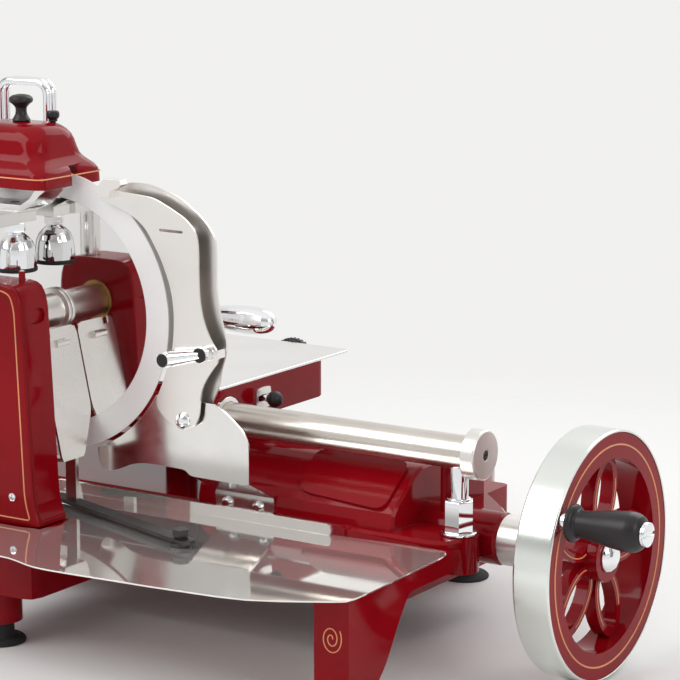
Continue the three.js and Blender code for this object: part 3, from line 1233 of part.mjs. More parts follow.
piece(leverGroup, "guard_lever", "chrome", join(
  leverDisc, leverStud, bar([0, leverMidY, 0], leverEnd, LEVER_ROOT_RADIUS, LEVER_TIP_RADIUS),
  ball(knobCentre, LEVER_KNOB_RADIUS),
));

// Slice deflector

const deflector = assembly(STUD_X, STUD_Y, 0);
const tilt = radians(DEFLECTOR_TILT_DEG);
const deflectorRearY = -BLADE_FACE_Y - DEFLECTOR_BLADE_GAP;
const deflectorFrontY = deflectorRearY - DEFLECTOR_DEPTH;
const deflectorFootX = DEFLECTOR_TOP_X + DEFLECTOR_HEIGHT * Math.tan(tilt);
const deflectorFootZ = -DEFLECTOR_TOP_DROP - DEFLECTOR_HEIGHT;
const armTopZ = -DEFLECTOR_ARM_DROP;

function deflectorSheet() {
  const profile = [
    [DEFLECTOR_TOP_X, -DEFLECTOR_TOP_DROP], [deflectorFootX, deflectorFootZ],
    [deflectorFootX - DEFLECTOR_FOOT_LENGTH, deflectorFootZ - DEFLECTOR_THICKNESS * 2],
    [deflectorFootX - DEFLECTOR_FOOT_LENGTH, deflectorFootZ],
    [deflectorFootX - 2 * DEFLECTOR_THICKNESS, deflectorFootZ + 2 * DEFLECTOR_THICKNESS],
    [DEFLECTOR_TOP_X - DEFLECTOR_THICKNESS, -DEFLECTOR_TOP_DROP],
  ];
  const notch = box(
    [-DEFLECTOR_HEIGHT, deflectorFrontY + DEFLECTOR_NOTCH_WIDTH,
      -DEFLECTOR_TOP_DROP - DEFLECTOR_NOTCH_DEPTH],
    [DEFLECTOR_HEIGHT, deflectorFrontY + 2 * DEFLECTOR_NOTCH_WIDTH, OVERRUN],
  );
  const SIDE_SHARES = [[0, 0], [0.55, 0], [1, 0.35], [1, 1], [0, 1]];
  const side = fromShares(
    SIDE_SHARES, [deflectorFrontY, deflectorFootZ - 2 * DEFLECTOR_THICKNESS],
    DEFLECTOR_DEPTH, DEFLECTOR_HEIGHT + 2 * DEFLECTOR_THICKNESS,
  );
  const envelope = plate("x", side, -DEFLECTOR_HEIGHT, DEFLECTOR_HEIGHT,
    { radius: DEFLECTOR_CORNER_RADIUS });
  const sheet = plate("y", profile, deflectorFrontY, deflectorRearY);
  return cut(sheet.intersect(envelope), notch);
}

function deflectorPost() {
  const top = deflectorFootZ - DEFLECTOR_THICKNESS / 2;
  return box(
    [DEFLECTOR_POST_X - DEFLECTOR_POST_WIDTH / 2, DEFLECTOR_POST_Y - DEFLECTOR_POST_THICKNESS / 2,
      armTopZ],
    [DEFLECTOR_POST_X + DEFLECTOR_POST_WIDTH / 2, DEFLECTOR_POST_Y + DEFLECTOR_POST_THICKNESS / 2, top],
  );
}

function toStud(solid) {
  return solid.translate([-STUD_X, -STUD_Y, 0]);
}

const clipZ = -DEFLECTOR_TOP_DROP - DEFLECTOR_CLIP_DROP;
const clipX = DEFLECTOR_TOP_X + DEFLECTOR_CLIP_DROP * Math.tan(tilt) + DEFLECTOR_CLIP_RADIUS / 2;
const clipMiddle = deflectorFrontY + DEFLECTOR_DEPTH / 2;
const clip = rod(
  "y", [clipX, clipMiddle, clipZ], DEFLECTOR_CLIP_RADIUS, -DEFLECTOR_CLIP_LENGTH / 2,
  DEFLECTOR_CLIP_LENGTH / 2, COARSE,
);
piece(deflector, "deflector_plate", "brushedSteel",
  toStud(join(deflectorSheet(), deflectorPost(), clip)));

const studToPost = Math.hypot(STUD_X - DEFLECTOR_POST_X, STUD_Y - DEFLECTOR_POST_Y);
const armReach = studToPost + 2 * DEFLECTOR_ARM_WIDTH;
const armTurn = Math.atan2(DEFLECTOR_POST_Y - STUD_Y, DEFLECTOR_POST_X - STUD_X);
const armOutline = rectangle(-DEFLECTOR_ARM_WIDTH, armReach, -DEFLECTOR_ARM_WIDTH / 2,
  DEFLECTOR_ARM_WIDTH / 2);
const armGeometryTop = armTopZ - SEAT_GAP;
const armBody = plate(
  "z", armOutline, armGeometryTop - DEFLECTOR_ARM_THICKNESS, armGeometryTop,
  { radius: DEFLECTOR_ARM_WIDTH / 2 },
).rotate([0, 0, THREE.MathUtils.radToDeg(armTurn)]);
piece(deflector, "deflector_arm", "darkSteel", cut(
  armBody, rod("z", CENTRE, STUD_POST_RADIUS + SEAT_GAP, armGeometryTop - 2 * OVERRUN,
    armGeometryTop + OVERRUN, COARSE),
));
const studWasherTop = armGeometryTop + SEAT_GAP + STUD_WASHER_THICKNESS;
const studBase = trayTop - TRAY_THICKNESS;
piece(machine, "deflector_stud", "darkSteel", join(
  rod("z", [STUD_X, STUD_Y, 0], STUD_POST_RADIUS, studBase,
    studWasherTop + SEAT_GAP + STUD_HEAD_HEIGHT / 2, COARSE),
  rod("z", [STUD_X, STUD_Y, 0], STUD_WASHER_RADIUS, trayTop + SEAT_GAP,
    armGeometryTop - DEFLECTOR_ARM_THICKNESS - SEAT_GAP, COARSE),
  plate(
    "z", hexagon(STUD_HEAD_ACROSS, STUD_X, STUD_Y), studWasherTop + SEAT_GAP,
    studWasherTop + SEAT_GAP + STUD_HEAD_HEIGHT,
  ),
));

// Sharpener

const sharpener = assembly(SHARPENER_X, 0, 0);

// Levels of the cover as [rise, inset of the outline] from the skirt up. The corners grow rounder by a
// share of the inset.
function coverBody(inset, low, top, growth) {
  const LEVEL_SHARES = [
    [0, 0], [0.13, 0.02], [0.22, 0.08], [0.3, 0.28], [0.36, 0.58], [0.42, 0.87], [0.48, 1.05], [0.6, 1.18],
    [0.72, 1.3], [0.81, 1.45], [0.89, 1.75], [0.95, 2.1], [0.98, 2.5], [1, 3.2],
  ];
  const height = top - low;
  const depth = COVER_REAR_Y - COVER_FRONT_Y - 2 * inset;
  const half = COVER_HALF_WIDTH - inset;
  const rings = LEVEL_SHARES.map(([rise, pull]) => {
    const shrink = pull * COVER_SKIRT_FLARE;
    const outline = rectangle(
      -half + shrink, half - shrink, COVER_FRONT_Y + inset + shrink,
      COVER_FRONT_Y + inset + depth - shrink,
    );
    const corner = COVER_CORNER_RADIUS + growth * shrink;
    return { z: low + rise * height, outline: roundedShape(outline, corner).getPoints(4) };
  });
  return lofted(rings);
}

// A solid through outlines at rising levels, each with the same number of points.
function lofted(rings) {
  const count = rings[0].outline.length - 1;
  const positions = [];
  const corner = (ring, i) => [ring.outline[i % count].x, ring.outline[i % count].y, ring.z];
  for (let level = 0; level + 1 < rings.length; level++) {
    for (let i = 0; i < count; i++) {
      const [a, b] = [corner(rings[level], i), corner(rings[level], i + 1)];
      const [c, d] = [corner(rings[level + 1], i), corner(rings[level + 1], i + 1)];
      positions.push(...a, ...b, ...d, ...a, ...d, ...c);
    }
  }
  for (let i = 1; i + 1 < count; i++) {
    const last = rings.at(-1);
    positions.push(...corner(rings[0], 0), ...corner(rings[0], i + 1), ...corner(rings[0], i));
    positions.push(...corner(last, 0), ...corner(last, i), ...corner(last, i + 1));
  }
  const geometry = new THREE.BufferGeometry();
  geometry.setAttribute("position", new THREE.Float32BufferAttribute(positions, 3));
  return solidOf(geometry);
}

const coverTopZ = COVER_TOP_RISE;
const pinEnd = SEAT_GAP - HOLDER_TOP_GAP - HOLDER_THICKNESS / 2;
const topKnobProfile = [
  [0, pinEnd], [KNOB_PIN_RADIUS, pinEnd], [KNOB_PIN_RADIUS, SEAT_GAP],
  [KNOB_FOOT_RADIUS, SEAT_GAP], [KNOB_WAIST_RADIUS, KNOB_HEIGHT * 0.3],
  [KNOB_WAIST_RADIUS, KNOB_HEIGHT * 0.5],
  [KNOB_TOP_RADIUS, KNOB_HEIGHT * 0.75], [KNOB_TOP_RADIUS * 0.9, KNOB_HEIGHT * 0.93], [0, KNOB_HEIGHT],
];
const knobX = 0;
const knobY = (COVER_FRONT_Y + COVER_REAR_Y) / 2;
const smallKnobAt = [SMALL_KNOB_X, SMALL_KNOB_Y, coverTopZ];
const coverHoles = [
  rod("z", [knobX, knobY, 0], KNOB_PIN_RADIUS + SEAT_GAP, coverTopZ - 2 * COVER_WALL, coverTopZ + OVERRUN,
    COARSE),
  rod(
    "z", [SMALL_KNOB_X, SMALL_KNOB_Y, 0], KNOB_PIN_RADIUS + SEAT_GAP,
    coverTopZ - 2 * COVER_WALL, coverTopZ + OVERRUN, COARSE,
  ),
];
piece(sharpener, "sharpener_cover", "redEnamel", cut(
  coverBody(0, COVER_SKIRT_RISE, coverTopZ, COVER_CORNER_GROWTH),
  coverBody(COVER_WALL, COVER_SKIRT_RISE - OVERRUN, coverTopZ - COVER_WALL, 0), ...coverHoles,
  box(
    [-COVER_HALF_WIDTH - OVERRUN, -COVER_SLOT_HALF_WIDTH, COVER_SKIRT_RISE - OVERRUN],
    [COVER_HALF_WIDTH + OVERRUN, COVER_SLOT_HALF_WIDTH, COVER_SLOT_RISE],
  ),
));
piece(sharpener, "sharpener_knob", "blackPlastic",
  turned("z", [knobX, knobY, coverTopZ], topKnobProfile));
piece(sharpener, "oil_knob", "blackPlastic", turned("z", smallKnobAt, [
  [0, -COVER_WALL], [KNOB_PIN_RADIUS, -COVER_WALL], [KNOB_PIN_RADIUS, SEAT_GAP],
  [SMALL_KNOB_RADIUS * 0.7, SEAT_GAP], [SMALL_KNOB_RADIUS, SMALL_KNOB_HEIGHT * 0.4],
  [SMALL_KNOB_RADIUS, SMALL_KNOB_HEIGHT * 0.85], [0, SMALL_KNOB_HEIGHT],
], COARSE));

// The stones hang from a holder that the top knob pushes down
const holderTop = coverTopZ - HOLDER_TOP_GAP;
const holderFront = COVER_FRONT_Y + HOLDER_END_GAP;
const holderRear = COVER_REAR_Y - HOLDER_END_GAP;
const legBottom = STONE_RISE - STONE_BLOCK_SIZE / 2;
const half = STONE_BLOCK_SIZE / 2;
piece(sharpener, "stone_holder", "darkSteel", cut(
  join(
    box([-half, holderFront, holderTop - HOLDER_THICKNESS], [half, holderRear, holderTop]),
    box([-half, holderFront, legBottom], [half, holderFront + HOLDER_LEG, holderTop]),
    box([-half, holderRear - HOLDER_LEG, legBottom], [half, holderRear, holderTop]),
  ),
  rod("y", [0, 0, STONE_RISE], STONE_ROD_RADIUS + SEAT_GAP, holderFront - OVERRUN, holderRear + OVERRUN,
    COARSE),
  rod("z", [knobX, knobY, 0], KNOB_PIN_RADIUS + SEAT_GAP, holderTop - HOLDER_THICKNESS / 2,
    holderTop + OVERRUN, COARSE),
));
const stoneNear = BLADE_FACE_Y + STONE_GAP;
piece(sharpener, "sharpening_stone", "grindstone", turned("y", [0, 0, STONE_RISE], [
  [0, holderFront], [STONE_ROD_RADIUS, holderFront], [STONE_ROD_RADIUS, -stoneNear - STONE_THICKNESS],
  [STONE_RADIUS, -stoneNear - STONE_THICKNESS], [STONE_RADIUS, -stoneNear], [0, -stoneNear],
]));
piece(sharpener, "honing_stone", "grindstone", turned("y", [0, 0, STONE_RISE], [
  [0, stoneNear], [STONE_RADIUS, stoneNear], [STONE_RADIUS, stoneNear + STONE_THICKNESS],
  [STONE_ROD_RADIUS, stoneNear + STONE_THICKNESS], [STONE_ROD_RADIUS, holderRear], [0, holderRear],
]));

// One side of the arm's outline as shares of its half width and height
const ARM_SIDE_SHARES = [[0.38, 0], [0.38, 0.28], [0.71, 0.54], [0.89, 0.86], [1, 1], [0.8, 1],
  [0.68, 0.74], [0.5, 0.54]];
const armHeight = COVER_SKIRT_RISE - SEAT_GAP - SHARPENER_ARM_RISE;
const armRight = ARM_SIDE_SHARES.map(([a, b]) => [a * COVER_HALF_WIDTH,
  SHARPENER_ARM_RISE + b * armHeight]);
const armLeft = armRight.map(([x, z]) => [-x, z]).reverse();
const postX = SHARPENER_POST_X - SHARPENER_X;
const cupX = CUP_X - SHARPENER_X;
piece(sharpener, "sharpener_arm", "brushedSteel", cut(
  join(
    plate("y", [...armRight, ...armLeft], SHARPENER_ARM_FRONT_Y, SHARPENER_ARM_REAR_Y),
    box(
      [postX - SHARPENER_ARM_WIDTH / 2, SHARPENER_POST_Y - SHARPENER_POST_RADIUS, SHARPENER_ARM_RISE],
      [postX + SHARPENER_ARM_WIDTH / 2, SHARPENER_ARM_FRONT_Y + OVERRUN,
        SHARPENER_ARM_RISE + SHARPENER_ARM_THICKNESS],
    ),
    rod(
      "z", [postX, SHARPENER_POST_Y, 0], SHARPENER_POST_RADIUS, COLUMN_TOP_RISE + SEAT_GAP,
      SHARPENER_ARM_RISE + SHARPENER_ARM_THICKNESS / 2,
    ),
  ),
  rod("z", [cupX, CUP_Y, 0], CUP_ROD_RADIUS + SEAT_GAP, SHARPENER_ARM_RISE - OVERRUN,
    SHARPENER_ARM_RISE + armHeight, COARSE),
));

// The bell-shaped cup under the arm
const cupAt = [cupX, CUP_Y, CUP_BOTTOM_RISE];
const cupInner = CUP_RADIUS - CUP_WALL;
const cupNutLow = CUP_BOTTOM_RISE + CUP_HEIGHT + SEAT_GAP;
const cupNutTop = SHARPENER_ARM_RISE - SEAT_GAP;
piece(sharpener, "grinding_cup", "chrome", join(turned("z", cupAt, [
  [0, CUP_HEIGHT * 0.88], [cupInner * 0.5, CUP_HEIGHT * 0.83], [cupInner * 0.9, CUP_HEIGHT * 0.6],
  [cupInner, CUP_HEIGHT * 0.24], [cupInner, 0], [CUP_RADIUS, 0], [CUP_RADIUS, CUP_HEIGHT * 0.24],
  [CUP_RADIUS * 0.92, CUP_HEIGHT * 0.62], [CUP_RADIUS * 0.58, CUP_HEIGHT * 0.9],
  [CUP_NECK_RADIUS, CUP_HEIGHT],
  [CUP_ROD_RADIUS, CUP_HEIGHT], [CUP_ROD_RADIUS, cupNutTop - CUP_BOTTOM_RISE + SHARPENER_ARM_THICKNESS],
  [0, cupNutTop - CUP_BOTTOM_RISE + SHARPENER_ARM_THICKNESS],
]), plate("z", hexagon(CUP_NUT_ACROSS, cupX, CUP_Y), cupNutLow, cupNutTop)));

// Carriage

const carriage = assembly(0, 0, 0);
const tableTop = -TABLE_DROP;
const tableUnderside = tableTop - TABLE_THICKNESS;
const carriageTop = tableUnderside - SEAT_GAP;
const carriageBottom = -CARRIAGE_BOTTOM_DROP;
const railAt = [0, RAIL_Y, RAIL_Z];
const bushOuter = RAIL_RADIUS + SEAT_GAP + BUSH_WALL;
const screwZ = -FEED_SCREW_DROP;
const trackTop = DECK_Z + TRACK_HEIGHT;
const rollerZ = trackTop + SEAT_GAP + ROLLER_RADIUS;
const cheekInner = ROLLER_WIDTH / 2 + RUNNING_GAP;
const cheekOuter = cheekInner + ROLLER_FORK_WALL;
const nutHalf = FEED_NUT_SIZE / 2;
const releaseZ = -RELEASE_DROP;
const dialZ = -DIAL_DROP;
const carriageLook = { radius: CARRIAGE_CORNER_RADIUS };

function rollerFork(x) {
  const cheeks = [[-cheekOuter, -cheekInner], [cheekInner, cheekOuter]].map(([from, to]) =>
    box(
      [x - ROLLER_FORK_WIDTH / 2, ROLLER_Y + from, rollerZ - ROLLER_RADIUS / 2],
      [x + ROLLER_FORK_WIDTH / 2, ROLLER_Y + to, carriageTop - CARRIAGE_WALL / 2],
    ),
  );
  const pin = rod("y", [x, ROLLER_Y, rollerZ], ROLLER_PIN_RADIUS, -cheekOuter, cheekOuter, COARSE);
  return join(...cheeks, pin);
}

function releaseSlot(from, to) {
  const reach = RELEASE_TRAVEL + RELEASE_ROD_RADIUS + SEAT_GAP;
  const tall = RELEASE_ROD_RADIUS + SEAT_GAP;
  return box([from, RELEASE_Y - reach, releaseZ - tall], [to, RELEASE_Y + reach, releaseZ + tall]);
}

const carriageShell = cut(
  join(
    plate(
      "z", rectangle(TABLE_LEFT_X, TABLE_RIGHT_X, TABLE_FRONT_Y, CARRIAGE_REAR_Y), carriageBottom,
      carriageTop,
      carriageLook,
    ),
    rod("x", railAt, SLEEVE_RADIUS, TABLE_LEFT_X, TABLE_RIGHT_X),
  ),
  box(
    [TABLE_LEFT_X + CARRIAGE_WALL, RAIL_Y + SLEEVE_RADIUS, carriageBottom - SLEEVE_RADIUS],
    [TABLE_RIGHT_X - CARRIAGE_WALL, CARRIAGE_REAR_Y - CARRIAGE_WALL, carriageTop - CARRIAGE_WALL],
  ),
);
piece(carriage, "carriage_body", "redEnamel", cut(
  join(carriageShell, rollerFork(ROLLER_X)),
  rod("x", railAt, bushOuter + SEAT_GAP, TABLE_LEFT_X - OVERRUN, TABLE_RIGHT_X + OVERRUN),
  rod(
    "y", [FEED_SCREW_X, 0, screwZ], FEED_SCREW_RADIUS + SEAT_GAP, FEED_SCREW_START_Y - SEAT_GAP,
    CARRIAGE_REAR_Y + OVERRUN, COARSE,
  ),
  box(
    [FEED_SCREW_X - nutHalf - RUNNING_GAP, FEED_NUT_Y - nutHalf - FEED_TRAVEL - RUNNING_GAP,
      carriageTop - 2 * CARRIAGE_WALL],
    [FEED_SCREW_X + nutHalf + RUNNING_GAP, FEED_NUT_Y + nutHalf + RUNNING_GAP, carriageTop + OVERRUN],
  ),
  releaseSlot(TABLE_RIGHT_X - CARRIAGE_WALL - OVERRUN, TABLE_RIGHT_X + OVERRUN),
  rod(
    "x", [0, DIAL_Y, dialZ], DIAL_SPINDLE_RADIUS + SEAT_GAP,
    TABLE_LEFT_X - OVERRUN, TABLE_LEFT_X + CARRIAGE_WALL + OVERRUN, COARSE,
  ),
));

const bushLow = TABLE_LEFT_X - SEAT_GAP;
const bushHigh = TABLE_RIGHT_X + SEAT_GAP;
piece(carriage, "carriage_bush", "polishedSteel", cut(
  join(
    rod("x", railAt, bushOuter, bushLow, bushHigh),
    rod("x", railAt, BUSH_FLANGE_RADIUS, bushLow - BUSH_FLANGE_THICKNESS, bushLow),
    rod("x", railAt, BUSH_FLANGE_RADIUS, bushHigh, bushHigh + BUSH_FLANGE_THICKNESS),
  ),
  rod("x", railAt, RAIL_RADIUS + SEAT_GAP, bushLow - BUSH_LENGTH, bushHigh + BUSH_LENGTH),
));
piece(carriage, "carriage_roller", "darkSteel", sleeve(
  "y", [ROLLER_X, ROLLER_Y, rollerZ], ROLLER_RADIUS, ROLLER_PIN_RADIUS + SEAT_GAP, -ROLLER_WIDTH / 2,
  ROLLER_WIDTH / 2,
));

const releaseRodEnd = TABLE_RIGHT_X + RELEASE_PLATE_THICKNESS + RELEASE_ROD_LENGTH;
piece(carriage, "release_knob", "blackPlastic", join(
  rod("x", [0, RELEASE_Y, releaseZ], RELEASE_ROD_RADIUS, TABLE_RIGHT_X - CARRIAGE_WALL, releaseRodEnd,
    COARSE),
  ball([releaseRodEnd, RELEASE_Y, releaseZ], RELEASE_KNOB_RADIUS),
));

const dialFace = TABLE_LEFT_X - SEAT_GAP;
piece(carriage, "thickness_dial", "blackPlastic", join(
  turned("x", [0, DIAL_Y, dialZ], [
    [0, dialFace - DIAL_THICKNESS], [DIAL_RADIUS * 0.85, dialFace - DIAL_THICKNESS],
    [DIAL_RADIUS, dialFace - DIAL_THICKNESS * 0.6], [DIAL_RADIUS, dialFace],
    [DIAL_SPINDLE_RADIUS, dialFace],
    [DIAL_SPINDLE_RADIUS, TABLE_LEFT_X + CARRIAGE_WALL], [0, TABLE_LEFT_X + CARRIAGE_WALL],
  ]),
  box(
    [dialFace - DIAL_THICKNESS - DIAL_RIB, DIAL_Y - DIAL_RIB, dialZ - DIAL_RADIUS * 0.8],
    [dialFace - DIAL_THICKNESS / 2, DIAL_Y + DIAL_RIB, dialZ + DIAL_RADIUS * 0.8],
  ),
));

// Feed screw and handwheel

function threadProfile(from, to) {
  const pitch = (to - from) / FEED_THREAD_COUNT;
  const points = [[0, FEED_SCREW_START_Y], [FEED_SCREW_RADIUS - FEED_THREAD_DEPTH, FEED_SCREW_START_Y]];
  for (let i = 0; i < FEED_THREAD_COUNT; i++) {
    points.push([FEED_SCREW_RADIUS - FEED_THREAD_DEPTH, from + i * pitch]);
    points.push([FEED_SCREW_RADIUS, from + (i + 0.5) * pitch]);
  }
  points.push([FEED_SCREW_RADIUS - FEED_THREAD_DEPTH, to]);
  return points;
}

const screwAt = [FEED_SCREW_X, 0, screwZ];
const screwEnd = HANDWHEEL_Y + HANDWHEEL_THICKNESS;
piece(carriage, "feed_screw", "darkSteel", turned("y", screwAt, [
  ...threadProfile(FEED_SCREW_START_Y + HANDWHEEL_THICKNESS, CARRIAGE_REAR_Y - CARRIAGE_WALL),
  [FEED_SCREW_RADIUS - FEED_THREAD_DEPTH, screwEnd], [0, screwEnd],
], COARSE));
piece(carriage, "feed_handwheel", "blackPlastic", cut(
  turned("y", screwAt, [
    [0, HANDWHEEL_Y], [HANDWHEEL_RADIUS * 0.9, HANDWHEEL_Y],
    [HANDWHEEL_RADIUS, HANDWHEEL_Y + HANDWHEEL_THICKNESS * 0.3],
    [HANDWHEEL_RADIUS, HANDWHEEL_Y + HANDWHEEL_THICKNESS * 0.7], [HANDWHEEL_RADIUS * 0.9, screwEnd],
    [0, screwEnd],
  ]),
  rod("y", screwAt, FEED_SCREW_RADIUS - FEED_THREAD_DEPTH + SEAT_GAP, HANDWHEEL_Y - OVERRUN,
    screwEnd + OVERRUN, COARSE),
));

// Meat table and press

const table = assembly(0, 0, 0);
piece(table, "meat_table", "polishedSteel", cut(
  join(
    plate(
      "z", rectangle(TABLE_LEFT_X, TABLE_RIGHT_X, TABLE_FRONT_Y, TABLE_REAR_Y), tableUnderside, tableTop,
      { radius: TABLE_CORNER_RADIUS },
    ),
    box(
      [FEED_SCREW_X - nutHalf, FEED_NUT_Y - nutHalf, screwZ - nutHalf],
      [FEED_SCREW_X + nutHalf, FEED_NUT_Y + nutHalf, tableUnderside + TABLE_THICKNESS / 2],
    ),
  ),
  rod("y", screwAt, FEED_SCREW_RADIUS + SEAT_GAP, FEED_NUT_Y - FEED_NUT_SIZE, FEED_NUT_Y + FEED_NUT_SIZE,
    COARSE),
));

const pressLeft = PRESS_X - PRESS_SPAN;
const rodRows = [-PRESS_ROD_PITCH / 2, PRESS_ROD_PITCH / 2].map((shift) => PRESS_Y + shift);
const pressFootTop = tableTop + SEAT_GAP + PRESS_FOOT_HEIGHT;

// An inverted U of round bar, standing on the table.
function pressHoop(y) {
  const start = tableTop + SEAT_GAP;
  const bend = PRESS_BEND_RADIUS;
  const corners = [];
  for (const [x, way, first] of [[pressLeft, 1, Math.PI], [PRESS_X, -1, Math.PI / 2]]) {
    for (let i = 0; i <= 4; i++) {
      const angle = first - (i * Math.PI) / 8;
      corners.push(new THREE.Vector3(
        x + way * bend + bend * Math.cos(angle), y, PRESS_TOP_RISE - bend + bend * Math.sin(angle),
      ));
    }
  }
  const points = [new THREE.Vector3(pressLeft, y, start), ...corners,
    new THREE.Vector3(PRESS_X, y, start)];
  return sweep(points, PRESS_ROD_RADIUS);
}

// A round bar that follows the given points, which lie in one plane across Y.
function sweep(points, radius) {
  const facets = 12;
  const rings = points.map((point, i) => {
    const before = points[Math.max(i - 1, 0)];
    const after = points[Math.min(i + 1, points.length - 1)];
    const way = after.clone().sub(before).normalize();
    const across = new THREE.Vector3(0, 1, 0);
    const out = across.clone().cross(way);
    return Array.from({ length: facets }, (_, k) => {
      const angle = (k * 2 * Math.PI) / facets;
      return point.clone().addScaledVector(across, radius * Math.sin(angle)).addScaledVector(out,
        radius * Math.cos(angle));
    });
  });
  const positions = [];
  const push = (...corners) => corners.forEach((corner) => positions.push(corner.x, corner.y, corner.z));
  for (let level = 0; level + 1 < rings.length; level++) {
    for (let k = 0; k < facets; k++) {
      const next = (k + 1) % facets;
      push(rings[level][k], rings[level][next], rings[level + 1][next]);
      push(rings[level][k], rings[level + 1][next], rings[level + 1][k]);
    }
  }
  for (let k = 1; k + 1 < facets; k++) {
    push(rings[0][0], rings[0][k + 1], rings[0][k]);
    push(rings.at(-1)[0], rings.at(-1)[k], rings.at(-1)[k + 1]);
  }
  const geometry = new THREE.BufferGeometry();
  geometry.setAttribute("position", new THREE.Float32BufferAttribute(positions, 3));
  return solidOf(geometry);
}

function pressBores(from, to) {
  return rodRows.flatMap((y) => [pressLeft, PRESS_X].map((x) =>
    rod("z", [x, y, 0], PRESS_ROD_RADIUS + SEAT_GAP, from - OVERRUN, to + OVERRUN, COARSE)));
}

const blockDepth = PRESS_ROD_PITCH / 2 + PRESS_ROD_RADIUS + PRESS_BLOCK_MARGIN;
const blockLow = [pressLeft - PRESS_BLOCK_MARGIN - PRESS_ROD_RADIUS, PRESS_Y - blockDepth];
const blockHigh = [PRESS_X + PRESS_BLOCK_MARGIN + PRESS_ROD_RADIUS, PRESS_Y + blockDepth];
piece(table, "press_frame", "chrome", join(
  plate(
    "z", rectangle(blockLow[0], blockHigh[0], blockLow[1], blockHigh[1]), tableTop + SEAT_GAP,
    pressFootTop,
    { radius: PRESS_BLOCK_MARGIN },
  ),
  ...rodRows.map(pressHoop),
));

const press = assembly(0, 0, 0);
const blockFloor = PRESS_ARM_RISE - PRESS_BLOCK_HEIGHT / 2;
const blockRoof = PRESS_ARM_RISE + PRESS_BLOCK_HEIGHT / 2;
const gripStart = HAND_GRIP_END_X - HAND_GRIP_LENGTH;
const armAt = [0, PRESS_Y, PRESS_ARM_RISE];
const stemBore = rod(
  "z", [PRESS_STEM_X, PRESS_Y, 0], PRESS_STEM_RADIUS + SEAT_GAP, blockFloor - OVERRUN,
  blockRoof + OVERRUN, COARSE,
);
const lockX = (pressLeft + PRESS_X) / 2;
piece(press, "press_arm", "chrome", cut(
  join(
    plate(
      "z", rectangle(blockLow[0], blockHigh[0], blockLow[1], blockHigh[1]), blockFloor, blockRoof,
      { radius: PRESS_BLOCK_MARGIN },
    ),
    rod("x", armAt, PRESS_ARM_RADIUS, PRESS_X, gripStart + PRESS_ARM_RADIUS),
  ),
  ...pressBores(blockFloor, blockRoof), stemBore,
  rod(
    "y", [lockX, 0, PRESS_ARM_RISE], LOCK_SCREW_RADIUS + SEAT_GAP, blockLow[1] - OVERRUN,
    blockLow[1] + PRESS_BLOCK_MARGIN + SEAT_GAP, COARSE,
  ),
));

const pressPlateTop = -PRESS_PLATE_DROP;
const pressPlateLow = pressPlateTop - PRESS_PLATE_THICKNESS;
const teeth = [];
for (let i = 0; i < PRESS_TOOTH_COUNT; i++) {
  const share = (i + 0.5) / PRESS_TOOTH_COUNT;
  const x = PRESS_PLATE_LEFT_X + share * (PRESS_PLATE_RIGHT_X - PRESS_PLATE_LEFT_X);
  for (const side of [-1, 1]) {
    const y = PRESS_Y + side * PRESS_PLATE_HALF_DEPTH * 0.6;
    teeth.push(turned("z", [x, y, pressPlateLow], [
      [0, -PRESS_TOOTH_HEIGHT], [PRESS_TOOTH_WIDTH / 2, 0],
      [PRESS_TOOTH_WIDTH / 2, PRESS_PLATE_THICKNESS / 2],
      [0, PRESS_PLATE_THICKNESS / 2],
    ], 4));
  }
}
const stemTop = PRESS_ARM_RISE + PRESS_ARM_RADIUS + STEM_NUT_HEIGHT;
piece(press, "press_plate", "brushedSteel", join(
  plate(
    "z", rectangle(
      PRESS_PLATE_LEFT_X, PRESS_PLATE_RIGHT_X, PRESS_Y - PRESS_PLATE_HALF_DEPTH,
      PRESS_Y + PRESS_PLATE_HALF_DEPTH,
    ), pressPlateLow, pressPlateTop, { radius: TABLE_CORNER_RADIUS },
  ),
  rod("z", [PRESS_STEM_X, PRESS_Y, 0], PRESS_STEM_RADIUS, pressPlateTop - PRESS_PLATE_THICKNESS / 2,
    stemTop, COARSE),
  plate(
    "z", hexagon(STEM_NUT_ACROSS, PRESS_STEM_X, PRESS_Y), PRESS_ARM_RISE + PRESS_ARM_RADIUS + SEAT_GAP,
    stemTop,
  ),
  ...teeth,
));
piece(press, "hand_grip", "chrome", cut(
  turned("x", [gripStart, PRESS_Y, PRESS_ARM_RISE], [
    [0, 0], [HAND_GRIP_ROOT_RADIUS * 0.8, 0], [HAND_GRIP_ROOT_RADIUS, HAND_GRIP_LENGTH * 0.04],
    [HAND_GRIP_RADIUS * 0.97, HAND_GRIP_LENGTH * 0.35], [HAND_GRIP_RADIUS, HAND_GRIP_LENGTH * 0.6],
    [HAND_GRIP_RADIUS * 0.94, HAND_GRIP_LENGTH * 0.8], [HAND_GRIP_RADIUS * 0.7, HAND_GRIP_LENGTH * 0.93],
    [HAND_GRIP_RADIUS * 0.35, HAND_GRIP_LENGTH * 0.985], [0, HAND_GRIP_LENGTH],
  ]),
  rod("x", armAt, PRESS_ARM_RADIUS + SEAT_GAP, gripStart - OVERRUN,
    gripStart + PRESS_ARM_RADIUS + SEAT_GAP),
));
const lockFace = blockLow[1] - SEAT_GAP;
piece(press, "press_lock_knob", "blackPlastic", turned("y", [lockX, 0, PRESS_ARM_RISE], [
  [0, lockFace - LOCK_KNOB_LENGTH], [LOCK_KNOB_RADIUS * 0.85, lockFace - LOCK_KNOB_LENGTH],
  [LOCK_KNOB_RADIUS, lockFace - LOCK_KNOB_LENGTH * 0.8], [LOCK_KNOB_RADIUS * 0.6, lockFace],
  [LOCK_SCREW_RADIUS, lockFace], [LOCK_SCREW_RADIUS, blockLow[1] + PRESS_BLOCK_MARGIN],
  [0, blockLow[1] + PRESS_BLOCK_MARGIN],
]));

// Flywheel

